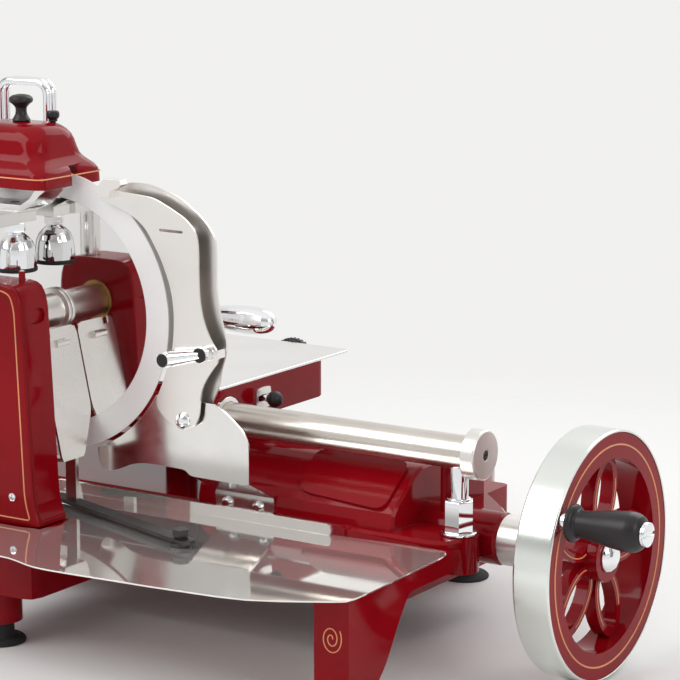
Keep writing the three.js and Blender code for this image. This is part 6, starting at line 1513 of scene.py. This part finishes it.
@dataclass
class Sharpener(SubAssembly):
    """The sharpener over the blade, under its red cover."""

    x: float = -37.0
    top: float = 200.0
    knob_y: float = -6.0
    half_width: float = 68.0
    front: float = -60.0
    rear: float = 48.0
    skirt: float = 136.0
    wall: float = 3.6
    slot_half: float = 7.0
    slot_rise: float = 157.0
    line_rise: float = 147.0
    line_inset: float = 0.35
    corner_steps: int = 8
    stone_rise: float = 152.0
    stone_radius: float = 19.0
    cup: Pair = (-25.0, -34.0)
    cup_low: float = 44.0
    nut_across: float = 20.0
    nut_rises: Pair = (42.3, 52.7)
    oil_knob: Pair = (-7.0, 10.0)
    rises: tuple[float, ...] = (0, 8, 14, 19, 23, 27, 31, 38, 46, 52, 57, 60.5, 62.8, 63.8, 64)
    insets: tuple[float, ...] = (0, 0.2, 1, 3.4, 7, 10.4, 12.6, 14.4, 16, 18, 21, 25, 30, 36, 42)

    def build(self) -> None:
        """Builds the cover, knobs, stones, arm and cup."""
        self._cover()
        self._line()
        self._knobs()
        self.soften("stone_holder", "sharpener", FINISHES.dark, 0.6)
        self._stones()
        self.soften("sharpener_arm", "base", FINISHES.polished, 1.2, 24)
        self._cup()

    def _loops(self, wall: float) -> list[list[Point]]:
        """Gives the loops of the cover's skin from its skirt to its crown.

        Args:
            wall: How far the skin lies inside the outermost one.

        Returns:
            The loops.
        """
        height = self.top - self.skirt - wall
        half_depth = (self.rear - self.front) / 2
        loops = []
        for rise, inset in zip(self.rises, self.insets):
            inset += wall
            left, right = self.x - self.half_width + inset, self.x + self.half_width - inset
            front, rear = self.front + inset, self.rear - inset
            corners = [(left, front), (right, front), (right, rear), (left, rear)]
            rounding = min(14 + inset * 0.7, (half_depth - inset) * 0.95)
            level = self.skirt + height * rise / self.rises[-1]
            loops.append([(a, b, level) for a, b in self._rounded(corners, rounding)])
        return loops

    def _cover(self) -> None:
        """Builds the domed cover with its flared skirt and the slots for the blade."""
        inside = self._loops(self.wall)
        cover = self.kit.lofted("sharpener_cover_look", [*reversed(inside), *self._loops(0.0)])
        reach = self.half_width + 2
        self.kit.pierced(
            cover, (self.x - reach, -self.slot_half, self.skirt - 5),
            (self.x + reach, self.slot_half, self.slot_rise),
        )
        self.show(cover, FINISHES.enamel, "base", ["sharpener_cover"])

    def _line(self) -> None:
        """Lays the gold line round the cover's skirt."""
        reach = self.half_width - self.line_inset
        left, right = self.x - reach, self.x + reach
        front, rear = self.front + self.line_inset, self.rear - self.line_inset
        corners = [(left, front), (right, front), (right, rear), (left, rear)]
        points = [(a, b, self.line_rise) for a, b in self._rounded(corners, 12.0)]
        self.line("cover_line", points, "base", 0.75, closed=True)

    def _rounded(self, corners: Sequence[Pair], radius: float) -> list[Pair]:
        """Rounds the corners of a loop with many points.

        Args:
            corners: The loop's corners.
            radius: How far from each corner its rounding starts.

        Returns:
            The rounded loop.
        """
        out = []
        count = len(corners)
        for i, corner in enumerate(corners):
            here = Vector(corner)
            start = here + (Vector(corners[i - 1]) - here).normalized() * radius
            end = here + (Vector(corners[(i + 1) % count]) - here).normalized() * radius
            for step in range(self.corner_steps + 1):
                share = step / self.corner_steps
                out.append(tuple(start.lerp(here, share).lerp(here.lerp(end, share), share)))
        return out

    def _knobs(self) -> None:
        """Builds the black top knob and the small oil knob."""
        knob = self.kit.turned("sharpener_knob_look", Axis.Z, (self.x, self.knob_y, self.top), [
            (0, -21.7), (3, -21.7), (3, 0.3), (9.2, 0.3), (10, 1.4), (9, 3.2), (6.6, 7), (5.8, 11),
            (6.2, 15), (9.2, 18.4), (12.4, 20.6), (13, 22.6), (12.4, 25.4), (9.5, 27.6), (4, 28.8),
            (0, 29),
        ], 1.2)
        self.show(knob, FINISHES.black, "sharpener", ["sharpener_knob"])
        small = self.kit.turned("oil_knob_look", Axis.Z, (*self.oil_knob, self.top), [
            (0, -4), (3, -4), (3, 0.3), (4.9, 0.3), (4.6, 2.2), (6.6, 4.6), (7, 6), (7, 9.6),
            (5.8, 11.4), (0, 12),
        ], 0.7, 64)
        self.show(small, FINISHES.black, "oil_knob", ["oil_knob"])

    def _stones(self) -> None:
        """Builds the two round stones on their rods."""
        r = self.stone_radius
        front = self.kit.turned("sharpening_stone_look", Axis.Y, (self.x, 0, self.stone_rise), [
            (0, -34), (5, -34), (5, -11), (r - 0.8, -11), (r, -10.2), (r, -3), (0, -3),
        ], 0.4)
        self.show(front, FINISHES.stone, "sharpener", ["sharpening_stone"])
        rear = self.kit.turned("honing_stone_look", Axis.Y, (self.x, 0, self.stone_rise), [
            (0, 3), (r, 3), (r, 10.2), (r - 0.8, 11), (5, 11), (5, 22), (0, 22),
        ], 0.4)
        self.show(rear, FINISHES.stone, "sharpener", ["honing_stone"])

    def _cup(self) -> None:
        """Builds the bell-shaped cup with its rubber ring."""
        x, y = self.cup
        bell = self.kit.turned("bell", Axis.Z, (x, y, self.cup_low), [
            (0, 37), (9.5, 35), (15, 30), (17.6, 24), (18.8, 12), (19, 0), (22, 0), (22, 10),
            (21.4, 18), (20.2, 26), (17.4, 33), (12.8, 38), (8.6, 41.2), (8, 42), (5, 42), (5, 66.7),
            (0, 66.7),
        ], 1.2)
        low, high = self.nut_rises
        nut = self.kit.slab(
            "cup_nut", Axis.Z, [(x + a, y + b) for a, b in self.kit.hexagon(self.nut_across)],
            self.cup_low + low, self.cup_low + high, edge=0.8,
        )
        whole = self.kit.joined("grinding_cup_look", [bell, nut])
        self.show(whole, FINISHES.chrome, "grinding_cup", ["grinding_cup"])
        ring = self.kit.turned("cup_ring", Axis.Z, (x, y, self.cup_low), [
            (19.2, 0.4), (22.1, 0.4), (22.6, 1.4), (22.6, 4), (22.1, 5), (21.8, 5), (21.8, 0.6),
        ], 0.5, ring=True)
        self.show(ring, FINISHES.rubber, "grinding_cup")


@dataclass
class Carriage(SubAssembly):
    """The red carriage on the rail, with its bush, roller, release knob and dial."""

    left: float = -165.0
    right: float = 165.0
    rail: Pair = (78.0, -113.5)
    bush_bore: float = 17.8
    bush_radius: float = 20.0
    flange_radius: float = 23.0
    flange: float = 5.0
    roller: Point = (-20.0, 250.0, -179.2)
    release: Pair = (148.0, -104.0)
    release_travel: float = 7.0
    plate_half: Pair = (14.0, 12.0)
    oval_points: int = 48
    oval_fill: float = 1.5
    stem_radius: float = 3.0
    ball_x: float = 182.0
    ball_radius: float = 9.0
    dial: Pair = (148.0, -107.0)
    dial_radius: float = 15.0
    dial_thickness: float = 10.0
    dial_ribs: int = 28

    def build(self) -> None:
        """Builds the carriage and what is on it."""
        self.soften("carriage_body", "carriage", FINISHES.enamel, 1.6)
        low, high = self.left - SEAT, self.right + SEAT
        start, end = low - self.flange, high + self.flange
        bore, bush_radius, rim = self.bush_bore, self.bush_radius, self.flange_radius
        bush = self.kit.turned("carriage_bush_look", Axis.X, (0, *self.rail), [
            (bore, start), (rim, start), (rim, low), (bush_radius, low), (bush_radius, high),
            (rim, high), (rim, end), (bore, end),
        ], 0.6, ring=True)
        self.show(bush, FINISHES.polished, "carriage", ["carriage_bush"])
        roller = self.kit.turned("carriage_roller_look", Axis.Y, self.roller, [
            (4.3, -6), (14, -6), (14, 6), (4.3, 6),
        ], 0.8, ring=True)
        self.show(roller, FINISHES.dark, "roller", ["carriage_roller"])
        self._release()
        self._dial()

    def _oval(self, half: Pair, corner: float) -> list[Pair]:
        """Gives a rounded rectangle round the release knob's place, one point for each direction.

        Args:
            half: Half its sizes along Y and Z.
            corner: The radius of its corners.

        Returns:
            The points.
        """
        points = []
        for i in range(self.oval_points):
            angle = 2 * math.pi * i / self.oval_points
            point = []
            for middle, reach, way in zip(self.release, half, (math.cos(angle), math.sin(angle))):
                side = (reach - corner) * min(1, abs(way) * self.oval_fill)
                point.append(middle + math.copysign(side, way) + corner * way)
            points.append(tuple(point))
        return points

    def _release(self) -> None:
        """Builds the slotted plate and the black ball on its stem."""
        y, z = self.release
        slot = (self.release_travel + self.stem_radius + SEAT, self.stem_radius + 2 * SEAT)
        plate = self.kit.framed(
            "release_plate", Axis.X, self._oval(self.plate_half, 5.0), self._oval(slot, 2.6),
            self.right + 0.05, self.right + 2.6,
        )
        self.show(plate, FINISHES.satin, "carriage")
        ball = self.kit.half_circle(self.ball_radius)
        knob = self.kit.turned("release_ball", Axis.X, (self.ball_x, y, z), ball, 0, 64)
        self.show(knob, FINISHES.black, "release_knob", ["release_knob"])
        r, start, end = self.stem_radius, self.right - 6, self.ball_x - 8
        stem = self.kit.turned("release_stem", Axis.X, (0, y, z), [
            (0, start), (r, start), (r, end), (0, end),
        ], 0.3, 48)
        collar = self.kit.turned("release_collar", Axis.X, (0, y, z), [
            (0, end - 3), (4.4, end - 3), (4.4, end + 1), (0, end + 1),
        ], 0.4, 48)
        whole = self.kit.joined("release_stem_look", [stem, collar])
        self.show(whole, FINISHES.chrome, "release_knob")

    def _dial(self) -> None:
        """Builds the ribbed dial on the left end."""
        y, z = self.dial
        face = self.left - SEAT
        front = face - self.dial_thickness
        r, shank = self.dial_radius, self.left + 6
        body = self.kit.turned("dial_body", Axis.X, (0, y, z), [
            (0, front), (12.6, front), (14.2, front + 1.2), (14.4, face - 2), (r, face - 1.6),
            (r, face), (4, face), (4, shank), (0, shank),
        ], 0.5)
        outline = [(y - 1.5, z - 12), (y + 1.5, z - 12), (y + 1.5, z + 12), (y - 1.5, z + 12)]
        bar = self.kit.slab("dial_bar", Axis.X, outline, front - 1.5, front + 2, edge=0.5, corner=1.2)
        whole = self.kit.joined("thickness_dial_look", [body, bar])
        self.show(whole, FINISHES.black, "thickness_dial", ["thickness_dial"])
        self.ribs(
            "dial_ribs", "thickness_dial", Axis.X, (face - 5, y, z), 14.2, (3, 0.7), self.dial_ribs,
        )


@dataclass
class FeedScrew(SubAssembly):
    """The table's feed screw with its handwheel."""

    centre: Pair = (80.0, -107.0)
    wheel_start: float = 331.0
    wheel_thickness: float = 10.0
    rib_count: int = 36

    def build(self) -> None:
        """Builds the screw and the handwheel."""
        self.paint_node("feed_screw", FINISHES.dark)
        x, z = self.centre
        start, end = self.wheel_start, self.wheel_start + self.wheel_thickness
        wheel = self.kit.turned("handwheel", Axis.Y, (x, 0, z), [
            (5.3, start), (26, start), (28.6, start + 1.4), (29.2, start + 3), (29.2, end - 3),
            (28.6, end - 1.2), (26, end), (23, end), (21, end - 3.2), (13, end - 3.2), (11, end),
            (5.3, end),
        ], 0.9, ring=True)
        self.show(wheel, FINISHES.black, "feed_screw", ["feed_handwheel"])
        middle = (x, (start + end) / 2, z)
        self.ribs("handwheel_ribs", "feed_screw", Axis.Y, middle, 28.8, (3.4, 1.0), self.rib_count)


@dataclass
class TableAndPress(SubAssembly):
    """The meat table with the press that holds the meat on it."""

    table_top: float = -80.0
    press: Pair = (-84.0, 100.0)
    span: float = 66.0
    rod_radius: float = 4.5
    rod_pitch: float = 10.0
    top_rise: float = 230.0
    bend: float = 14.0
    margin: float = 7.0
    foot_height: float = 12.0
    arm_rise: float = -9.0
    arm_radius: float = 7.0
    block_height: float = 30.0
    grip_start: float = 132.0
    lock_length: float = 16.0
    lock_ribs: int = 22
    bend_steps: int = 12

    @property
    def left(self) -> float:
        """The place of the hoops' left legs."""
        return self.press[0] - self.span

    @property
    def foot_outline(self) -> list[Pair]:
        """The outline that the foot and the sliding block share."""
        x, y = self.press
        reach = self.margin + self.rod_radius
        depth = self.rod_pitch / 2 + self.rod_radius + self.margin
        return [
            (self.left - reach, y - depth), (x + reach, y - depth), (x + reach, y + depth),
            (self.left - reach, y + depth),
        ]

    def build(self) -> None:
        """Builds the table, the hoops, the arm, the plate, the grip and the knob."""
        self.soften("meat_table", "table", FINISHES.polished, 0.6)
        self._hoops()
        self._arm()
        self.soften("press_plate", "press", FINISHES.satin, 0.4)
        self._grip()
        self._lock()

    def _hoops(self) -> None:
        """Builds the two round-bar hoops on their foot."""
        base = self.table_top + SEAT
        top = base + self.foot_height
        foot = self.kit.slab(
            "press_foot", Axis.Z, self.foot_outline, base, top, edge=1.0, corner=7.0,
        )
        pieces = [foot]
        for side in (-0.5, 0.5):
            pieces.append(self._hoop(self.press[1] + side * self.rod_pitch, base + 1))
        whole = self.kit.joined("press_frame_look", pieces)
        self.show(whole, FINISHES.chrome, "table", ["press_frame"])

    def _hoop(self, y: float, base: float) -> bpy.types.Object:
        """Builds one hoop.

        Args:
            y: Its place across the rail.
            base: The height it starts from.

        Returns:
            The hoop.
        """
        b = self.bend
        points = [(self.left, y, base)]
        for x, way, first in ((self.left, 1, math.pi), (self.press[0], -1, math.pi / 2)):
            for i in range(self.bend_steps + 1):
                angle = first - i * math.pi / 2 / self.bend_steps
                points.append((
                    x + way * b + b * math.cos(angle), y, self.top_rise - b + b * math.sin(angle),
                ))
        points.append((self.press[0], y, base))
        return self.kit.tube("hoop", points, self.rod_radius, 32)

    def _arm(self) -> None:
        """Builds the sliding block with the arm."""
        low = self.arm_rise - self.block_height / 2
        high = low + self.block_height
        block = self.kit.slab(
            "block", Axis.Z, self.foot_outline, low, high, edge=1.6, corner=7.0, steps=3,
        )
        r, start, end = self.arm_radius, self.press[0], self.grip_start + 7
        rod = self.kit.turned("arm_rod", Axis.X, (0, self.press[1], self.arm_rise), [
            (0, start), (r, start), (r, end), (0, end),
        ], 0.4, 64)
        whole = self.kit.joined("press_arm_look", [block, rod])
        self.show(whole, FINISHES.chrome, "press", ["press_arm"])

    def _grip(self) -> None:
        """Builds the smooth hand grip."""
        profile = [
            (0, 0), (8.8, 0), (10.6, 2), (11.4, 8), (13.0, 18), (14.3, 29), (14.9, 42), (15, 50),
            (14.6, 60), (13.6, 68), (11.6, 75), (8.6, 80), (4.6, 83), (0, 84),
        ]
        grip = self.kit.turned(
            "hand_grip_look", Axis.X, (self.grip_start, self.press[1], self.arm_rise), profile, 3.0,
        )
        self.show(grip, FINISHES.chrome, "press", ["hand_grip"])

    def _lock(self) -> None:
        """Builds the lock knob with its ribs."""
        x = (self.left + self.press[0]) / 2
        face = self.foot_outline[0][1] - SEAT
        far = face - self.lock_length
        knob = self.kit.turned("press_lock_knob_look", Axis.Y, (x, 0, self.arm_rise), [
            (0, far), (8.6, far), (10.2, far + 1.4), (10.4, far + 9), (9.4, far + 10.6),
            (6.6, far + 12), (6.6, face), (3, face), (3, face + 7), (0, face + 7),
        ], 0.7)
        self.show(knob, FINISHES.black, "press_lock_knob", ["press_lock_knob"])
        middle = (x, far + 5.4, self.arm_rise)
        self.ribs(
            "lock_knob_ribs", "press_lock_knob", Axis.Y, middle, 10.2, (3.6, 0.8), self.lock_ribs,
        )


@dataclass
class Flywheel(SubAssembly):
    """The red flywheel with its steel band, hub cap and crank."""

    back: float = 565.0
    centre: Pair = (123.0, -210.7)
    width: float = 40.0
    radius: float = 128.0
    band: float = 2.4
    face_inset: float = 1.0
    rim_inner: float = 99.0
    web_recess: float = 13.0
    line_radius: float = 113.0
    petal_count: int = 5
    petal_length: float = 84.0
    petal_width: float = 50.0
    petal_bar: float = 9.0
    petal_sweep: float = 236.0
    petal_points: int = 60
    rim_points: int = 144
    crank_radius: float = 113.5
    crank_angle: float = 149.5
    grip_base: float = 8.8
    grip_tip: float = 87.8
    collar_radii: Pair = (12.3, 26.5)
    collar_span: Pair = (488.3, 559.7)

    def build(self) -> None:
        """Builds the wheel, the crank and the collar on the shaft."""
        self.soften("flywheel_casting", "flywheel", FINISHES.enamel, 1.6, 28)
        origin = (self.back, *self.centre)
        r, w = self.radius, self.width
        band = self.kit.turned("flywheel_band_look", Axis.X, origin, [
            (r - self.band, 0), (r - 0.7, 0), (r, 1.6), (r, w - 1.6), (r - 0.7, w), (r - self.band, w),
        ], 0.6, 192, ring=True)
        self.show(band, FINISHES.band, "flywheel", ["flywheel_band"])
        rim = self.back + w - self.face_inset
        cap = self.kit.turned("flywheel_hub_cap_look", Axis.X, (rim + SEAT, *self.centre), [
            (0, 0), (17, 0), (16.8, 1.8), (15.2, 4.2), (12.4, 6.6), (8, 8.4), (0, 9),
        ], 1.0)
        self.show(cap, FINISHES.chrome, "flywheel", ["flywheel_hub_cap"])
        bore, skin = self.collar_radii
        start, end = self.collar_span
        collar = self.kit.turned("shaft_collar_look", Axis.X, (0, *self.centre), [
            (bore, start), (skin, start), (skin, end), (bore, end),
        ], 0.8, 128, ring=True)
        self.show(collar, FINISHES.satin, "flywheel", ["shaft_collar"])
        self._lines(rim)
        self._crank(rim)

    def _lines(self, rim: float) -> None:
        """Lays the gold lines on the rim and on the petals.

        Args:
            rim: The place of the rim's face.
        """
        y, z = self.centre
        r = self.line_radius
        ring = []
        for i in range(self.rim_points):
            angle = 2 * math.pi * i / self.rim_points
            ring.append((rim + LINE_LIFT, y + r * math.cos(angle), z + r * math.sin(angle)))
        self.line("rim_line", ring, "flywheel", 0.9, closed=True)
        web = self.back + self.width - self.web_recess + LINE_LIFT
        middle = self.rim_inner + self.petal_bar / 3 - self.petal_length / 2
        long, wide = (self.petal_length - self.petal_bar) / 2, (self.petal_width - self.petal_bar) / 2
        for petal in range(self.petal_count):
            turn = math.radians(self.crank_angle) + petal * 2 * math.pi / self.petal_count
            loop = []
            for i in range(self.petal_points):
                share = i / (self.petal_points - 1)
                angle = math.radians(self.petal_sweep * (share - 0.5)) + math.pi
                along = middle + long * math.cos(angle)
                side = wide * math.sin(angle)
                loop.append((
                    web, y + along * math.cos(turn) - side * math.sin(turn),
                    z + along * math.sin(turn) + side * math.cos(turn),
                ))
            self.line(f"petal_line_{petal}", loop, "flywheel", 0.7)

    def _crank(self, rim: float) -> None:
        """Builds the crank's stud, its grip and the cap on its end.

        Args:
            rim: The place of the rim's face.
        """
        turn = math.radians(self.crank_angle)
        y = self.centre[0] + self.crank_radius * math.cos(turn)
        z = self.centre[1] + self.crank_radius * math.sin(turn)
        at = (rim, y, z)
        base, tip = self.grip_base, self.grip_tip
        stud = self.kit.turned("crank_stud_look", Axis.X, at, [
            (0, -18), (6, -18), (6, 0.3), (11, 0.3), (11, 8.3), (6, 8.3), (6, tip), (0, tip),
        ], 0.8)
        self.show(stud, FINISHES.chrome, "flywheel", ["crank_stud"])
        grip = self.kit.turned("crank_grip_look", Axis.X, at, [
            (6.5, base), (17.5, base), (19, 10.8), (18.8, 13.6), (16.8, 15.8), (13.6, 17.4),
            (13.6, 21), (14.6, 30), (16.4, 42), (18.2, 54), (19.5, 66), (20, 74), (19.2, 79.6),
            (16.6, 84.6), (12, tip), (6.5, tip),
        ], 1.6, ring=True)
        self.show(grip, FINISHES.black, "grip", ["crank_grip"])
        cap = self.slotted_screw("crank_cap", Axis.X, (rim + tip + SEAT, y, z), 12, 4.4, 1)
        self.show(cap, FINISHES.chrome, "flywheel", ["crank_grip_cap"])


class Studio:
    """The plain pale floor, the soft lights and the camera."""

    PALE = 0.88
    LIGHT_LEVEL = 0.62
    GLOSS_LOW = 0.84
    GLOSS_DIM = 0.42
    GLOSS_BEHIND = 0.88
    GLOSS_ABOVE = 0.55
    BELT_FADE = (0.08, 0.3)
    ABOVE_FADE = (0.5, 0.85)
    BEHIND_FADE = (-0.1, 0.55)
    WORLD_COLOUR = (1, 0.995, 0.985, 1)
    MATT = 0.9
    CAMERA_AT = Vector((1803.5, -2219.0, 518.9))
    CAMERA_TURN = (math.radians(79), 0.0, math.radians(33))
    CAMERA_LENS = 142.94
    SENSOR_WIDTH = 36.0
    FAR_END = 60.0
    FLOOR_RADIUS = 6.0
    FLOOR_COLOUR = (0.86, 0.86, 0.855, 1)
    FLOOR_FADE = (0.5, 1.6)
    LIGHT_AIM = Vector((0.0, 0.0, 0.25))
    CARD_COLOUR = (0.3, 0.3, 0.3, 1)

    def build(self) -> None:
        """Builds all of the studio."""
        self._world()
        self._floor()
        self._light("Key", (-1.5, -2.0, 2.3), 1.9, 44.0)
        self._light("Fill", (2.7, -0.9, 1.7), 1.5, 22.0)
        self._light("Back", (0.2, 2.2, 2.2), 2.2, 34.0)
        self._card("Dark card left", (-2.6, -0.9, 0.9), (1.0, 2.4), 70.0)
        self._card("Dark card right", (3.2, 1.2, 0.9), (1.0, 2.4), -60.0)
        self._camera()

    def _world(self) -> None:
        """Sets a pale world, in which gloss mirrors a dim belt above the horizon in front."""
        world = bpy.data.worlds.new("Pale studio")
        bpy.context.scene.world = world
        world.use_nodes = True
        tree = world.node_tree
        back = tree.nodes["Background"]
        back.inputs["Color"].default_value = self.WORLD_COLOUR
        path = tree.nodes.new("ShaderNodeLightPath")
        place = tree.nodes.new("ShaderNodeTexCoord")
        parts = tree.nodes.new("ShaderNodeSeparateXYZ")
        tree.links.new(place.outputs["Generated"], parts.inputs["Vector"])
        low = self._step(tree, parts.outputs["Z"], self.BELT_FADE, (self.GLOSS_LOW, self.GLOSS_DIM))
        above = self._step(tree, parts.outputs["Z"], self.ABOVE_FADE, (0.0, self.GLOSS_ABOVE))
        front = tree.nodes.new("ShaderNodeMath")
        front.operation = "ADD"
        tree.links.new(low, front.inputs[0])
        tree.links.new(above, front.inputs[1])
        behind = self._step(tree, parts.outputs["Y"], self.BEHIND_FADE, (0.0, 1.0))
        gloss = self._choice(tree, behind, front.outputs[0], None)
        gloss.inputs["B"].default_value = self.GLOSS_BEHIND
        seen = self._choice(tree, path.outputs["Is Glossy Ray"], None, gloss.outputs["Result"])
        seen.inputs["A"].default_value = self.LIGHT_LEVEL
        clear = tree.nodes.new("ShaderNodeMath")
        clear.operation = "MAXIMUM"
        tree.links.new(path.outputs["Is Camera Ray"], clear.inputs[0])
        tree.links.new(path.outputs["Is Transmission Ray"], clear.inputs[1])
        level = self._choice(tree, clear.outputs[0], seen.outputs["Result"], None)
        level.inputs["B"].default_value = self.PALE
        tree.links.new(level.outputs["Result"], back.inputs["Strength"])

    @staticmethod
    def _step(tree: bpy.types.NodeTree, source: Socket, ends: Pair, levels: Pair) -> Socket:
        """Adds a smooth step between two levels.

        Args:
            tree: The node tree being built.
            source: The socket that drives the step.
            ends: The values that give the first and the last level.
            levels: The first and the last level.

        Returns:
            The step's output socket.
        """
        step = tree.nodes.new("ShaderNodeMapRange")
        step.interpolation_type = "SMOOTHSTEP"
        step.inputs["From Min"].default_value, step.inputs["From Max"].default_value = ends
        step.inputs["To Min"].default_value, step.inputs["To Max"].default_value = levels
        tree.links.new(source, step.inputs["Value"])
        return step.outputs["Result"]

    @staticmethod
    def _choice(
        tree: bpy.types.NodeTree, factor: Socket, first: Socket | None, second: Socket | None,
    ) -> bpy.types.Node:
        """Adds a mix of two numbers.

        Args:
            tree: The world's node tree.
            factor: The socket of the second number's share.
            first: The first number's socket, or None.
            second: The second number's socket, or None.

        Returns:
            The mix node.
        """
        mix = tree.nodes.new("ShaderNodeMix")
        mix.data_type = "FLOAT"
        tree.links.new(factor, mix.inputs["Factor"])
        for source, name in ((first, "A"), (second, "B")):
            if source is not None:
                tree.links.new(source, mix.inputs[name])
        return mix

    def _floor(self) -> None:
        """Lays a pale floor that fades into the backdrop far from the object."""
        build = bmesh.new()
        bmesh.ops.create_circle(build, cap_ends=True, radius=self.FLOOR_RADIUS, segments=96)
        mesh = bpy.data.meshes.new("Floor")
        build.to_mesh(mesh)
        build.free()
        floor = bpy.data.objects.new("Floor", mesh)
        bpy.context.scene.collection.objects.link(floor)
        material = bpy.data.materials.new("Pale floor")
        material.use_nodes = True
        tree = material.node_tree
        shader = tree.nodes["Principled BSDF"]
        shader.inputs["Base Color"].default_value = self.FLOOR_COLOUR
        shader.inputs["Roughness"].default_value = self.MATT
        shader.inputs["Specular IOR Level"].default_value = 0.1
        place = tree.nodes.new("ShaderNodeTexCoord")
        far = tree.nodes.new("ShaderNodeVectorMath")
        far.operation = "LENGTH"
        tree.links.new(place.outputs["Object"], far.inputs[0])
        fade = self._step(tree, far.outputs["Value"], self.FLOOR_FADE, (1.0, 0.0))
        tree.links.new(fade, shader.inputs["Alpha"])
        mesh.materials.append(material)
        floor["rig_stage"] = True

    def _light(self, name: str, place: Point, size: float, power: float) -> None:
        """Hangs a square soft light that looks at the object.

        Args:
            name: The light's name.
            place: Its place in metres.
            size: Its side in metres.
            power: Its power in watts.
        """
        light = bpy.data.lights.new(name, "AREA")
        light.shape = "SQUARE"
        light.size = size
        light.energy = power
        thing = bpy.data.objects.new(name, light)
        thing.location = place
        aim = self.LIGHT_AIM - Vector(place)
        thing.rotation_euler = aim.to_track_quat("-Z", "Y").to_euler()
        bpy.context.scene.collection.objects.link(thing)

    def _card(self, name: str, place: Point, size: Pair, turn: float) -> None:
        """Stands a grey card beside the object, out of the camera's sight, for bright metal to mirror.

        Args:
            name: The card's name.
            place: The middle of the card, in metres.
            size: Its width and height, in metres.
            turn: The direction it faces about the upright axis, in degrees.
        """
        a, b = size[0] / 2, size[1] / 2
        corners = [(-a, 0, -b), (a, 0, -b), (a, 0, b), (-a, 0, b)]
        mesh = bpy.data.meshes.new(name)
        mesh.from_pydata(corners, [], [(0, 1, 2, 3)])
        card = bpy.data.objects.new(name, mesh)
        card.location = place
        card.rotation_euler = (0, 0, math.radians(turn))
        card.visible_camera = False
        bpy.context.scene.collection.objects.link(card)
        material = bpy.data.materials.new(name)
        material.use_nodes = True
        shader = material.node_tree.nodes["Principled BSDF"]
        shader.inputs["Base Color"].default_value = self.CARD_COLOUR
        shader.inputs["Roughness"].default_value = self.MATT
        mesh.materials.append(material)
        card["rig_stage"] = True

    def _camera(self) -> None:
        """Sets the camera at the photograph's angle."""
        data = bpy.data.cameras.new("Camera")
        data.lens = self.CAMERA_LENS
        data.sensor_width = self.SENSOR_WIDTH
        data.clip_end = self.FAR_END
        camera = bpy.data.objects.new("Camera", data)
        camera.location = (self.CAMERA_AT + BLADE_CENTRE) * METRES_PER_MM
        camera.rotation_euler = self.CAMERA_TURN
        bpy.context.scene.collection.objects.link(camera)
        bpy.context.scene.camera = camera


def clear_start() -> None:
    """Removes Blender's own first objects, but none of the frame's."""
    for name in ("Cube", "Light", "Camera"):
        thing = bpy.data.objects.get(name)
        if thing and thing.get("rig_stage") is None and thing.parent is None:
            bpy.data.objects.remove(thing)


def main() -> None:
    """Builds every group of pieces round the frame, then the studio."""
    logging.basicConfig(level=logging.INFO)
    clear_start()
    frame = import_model()
    kit = MeshKit(frame["nodes"])
    repeater = Repeater()
    groups: list[Callable[[MeshKit, Repeater], SubAssembly]] = [
        Base, Rail, DriveTrain, Blade, Column, TrayGroup, Guard, Deflector, Sharpener, Carriage,
        FeedScrew, TableAndPress, Flywheel,
    ]
    for group in groups:
        part = group(kit, repeater)
        part.build()
        LOG.info("built %s", type(part).__name__)
    Studio().build()
    bpy.context.scene.view_settings.view_transform = "Standard"


if __name__ == "__main__":
    main()
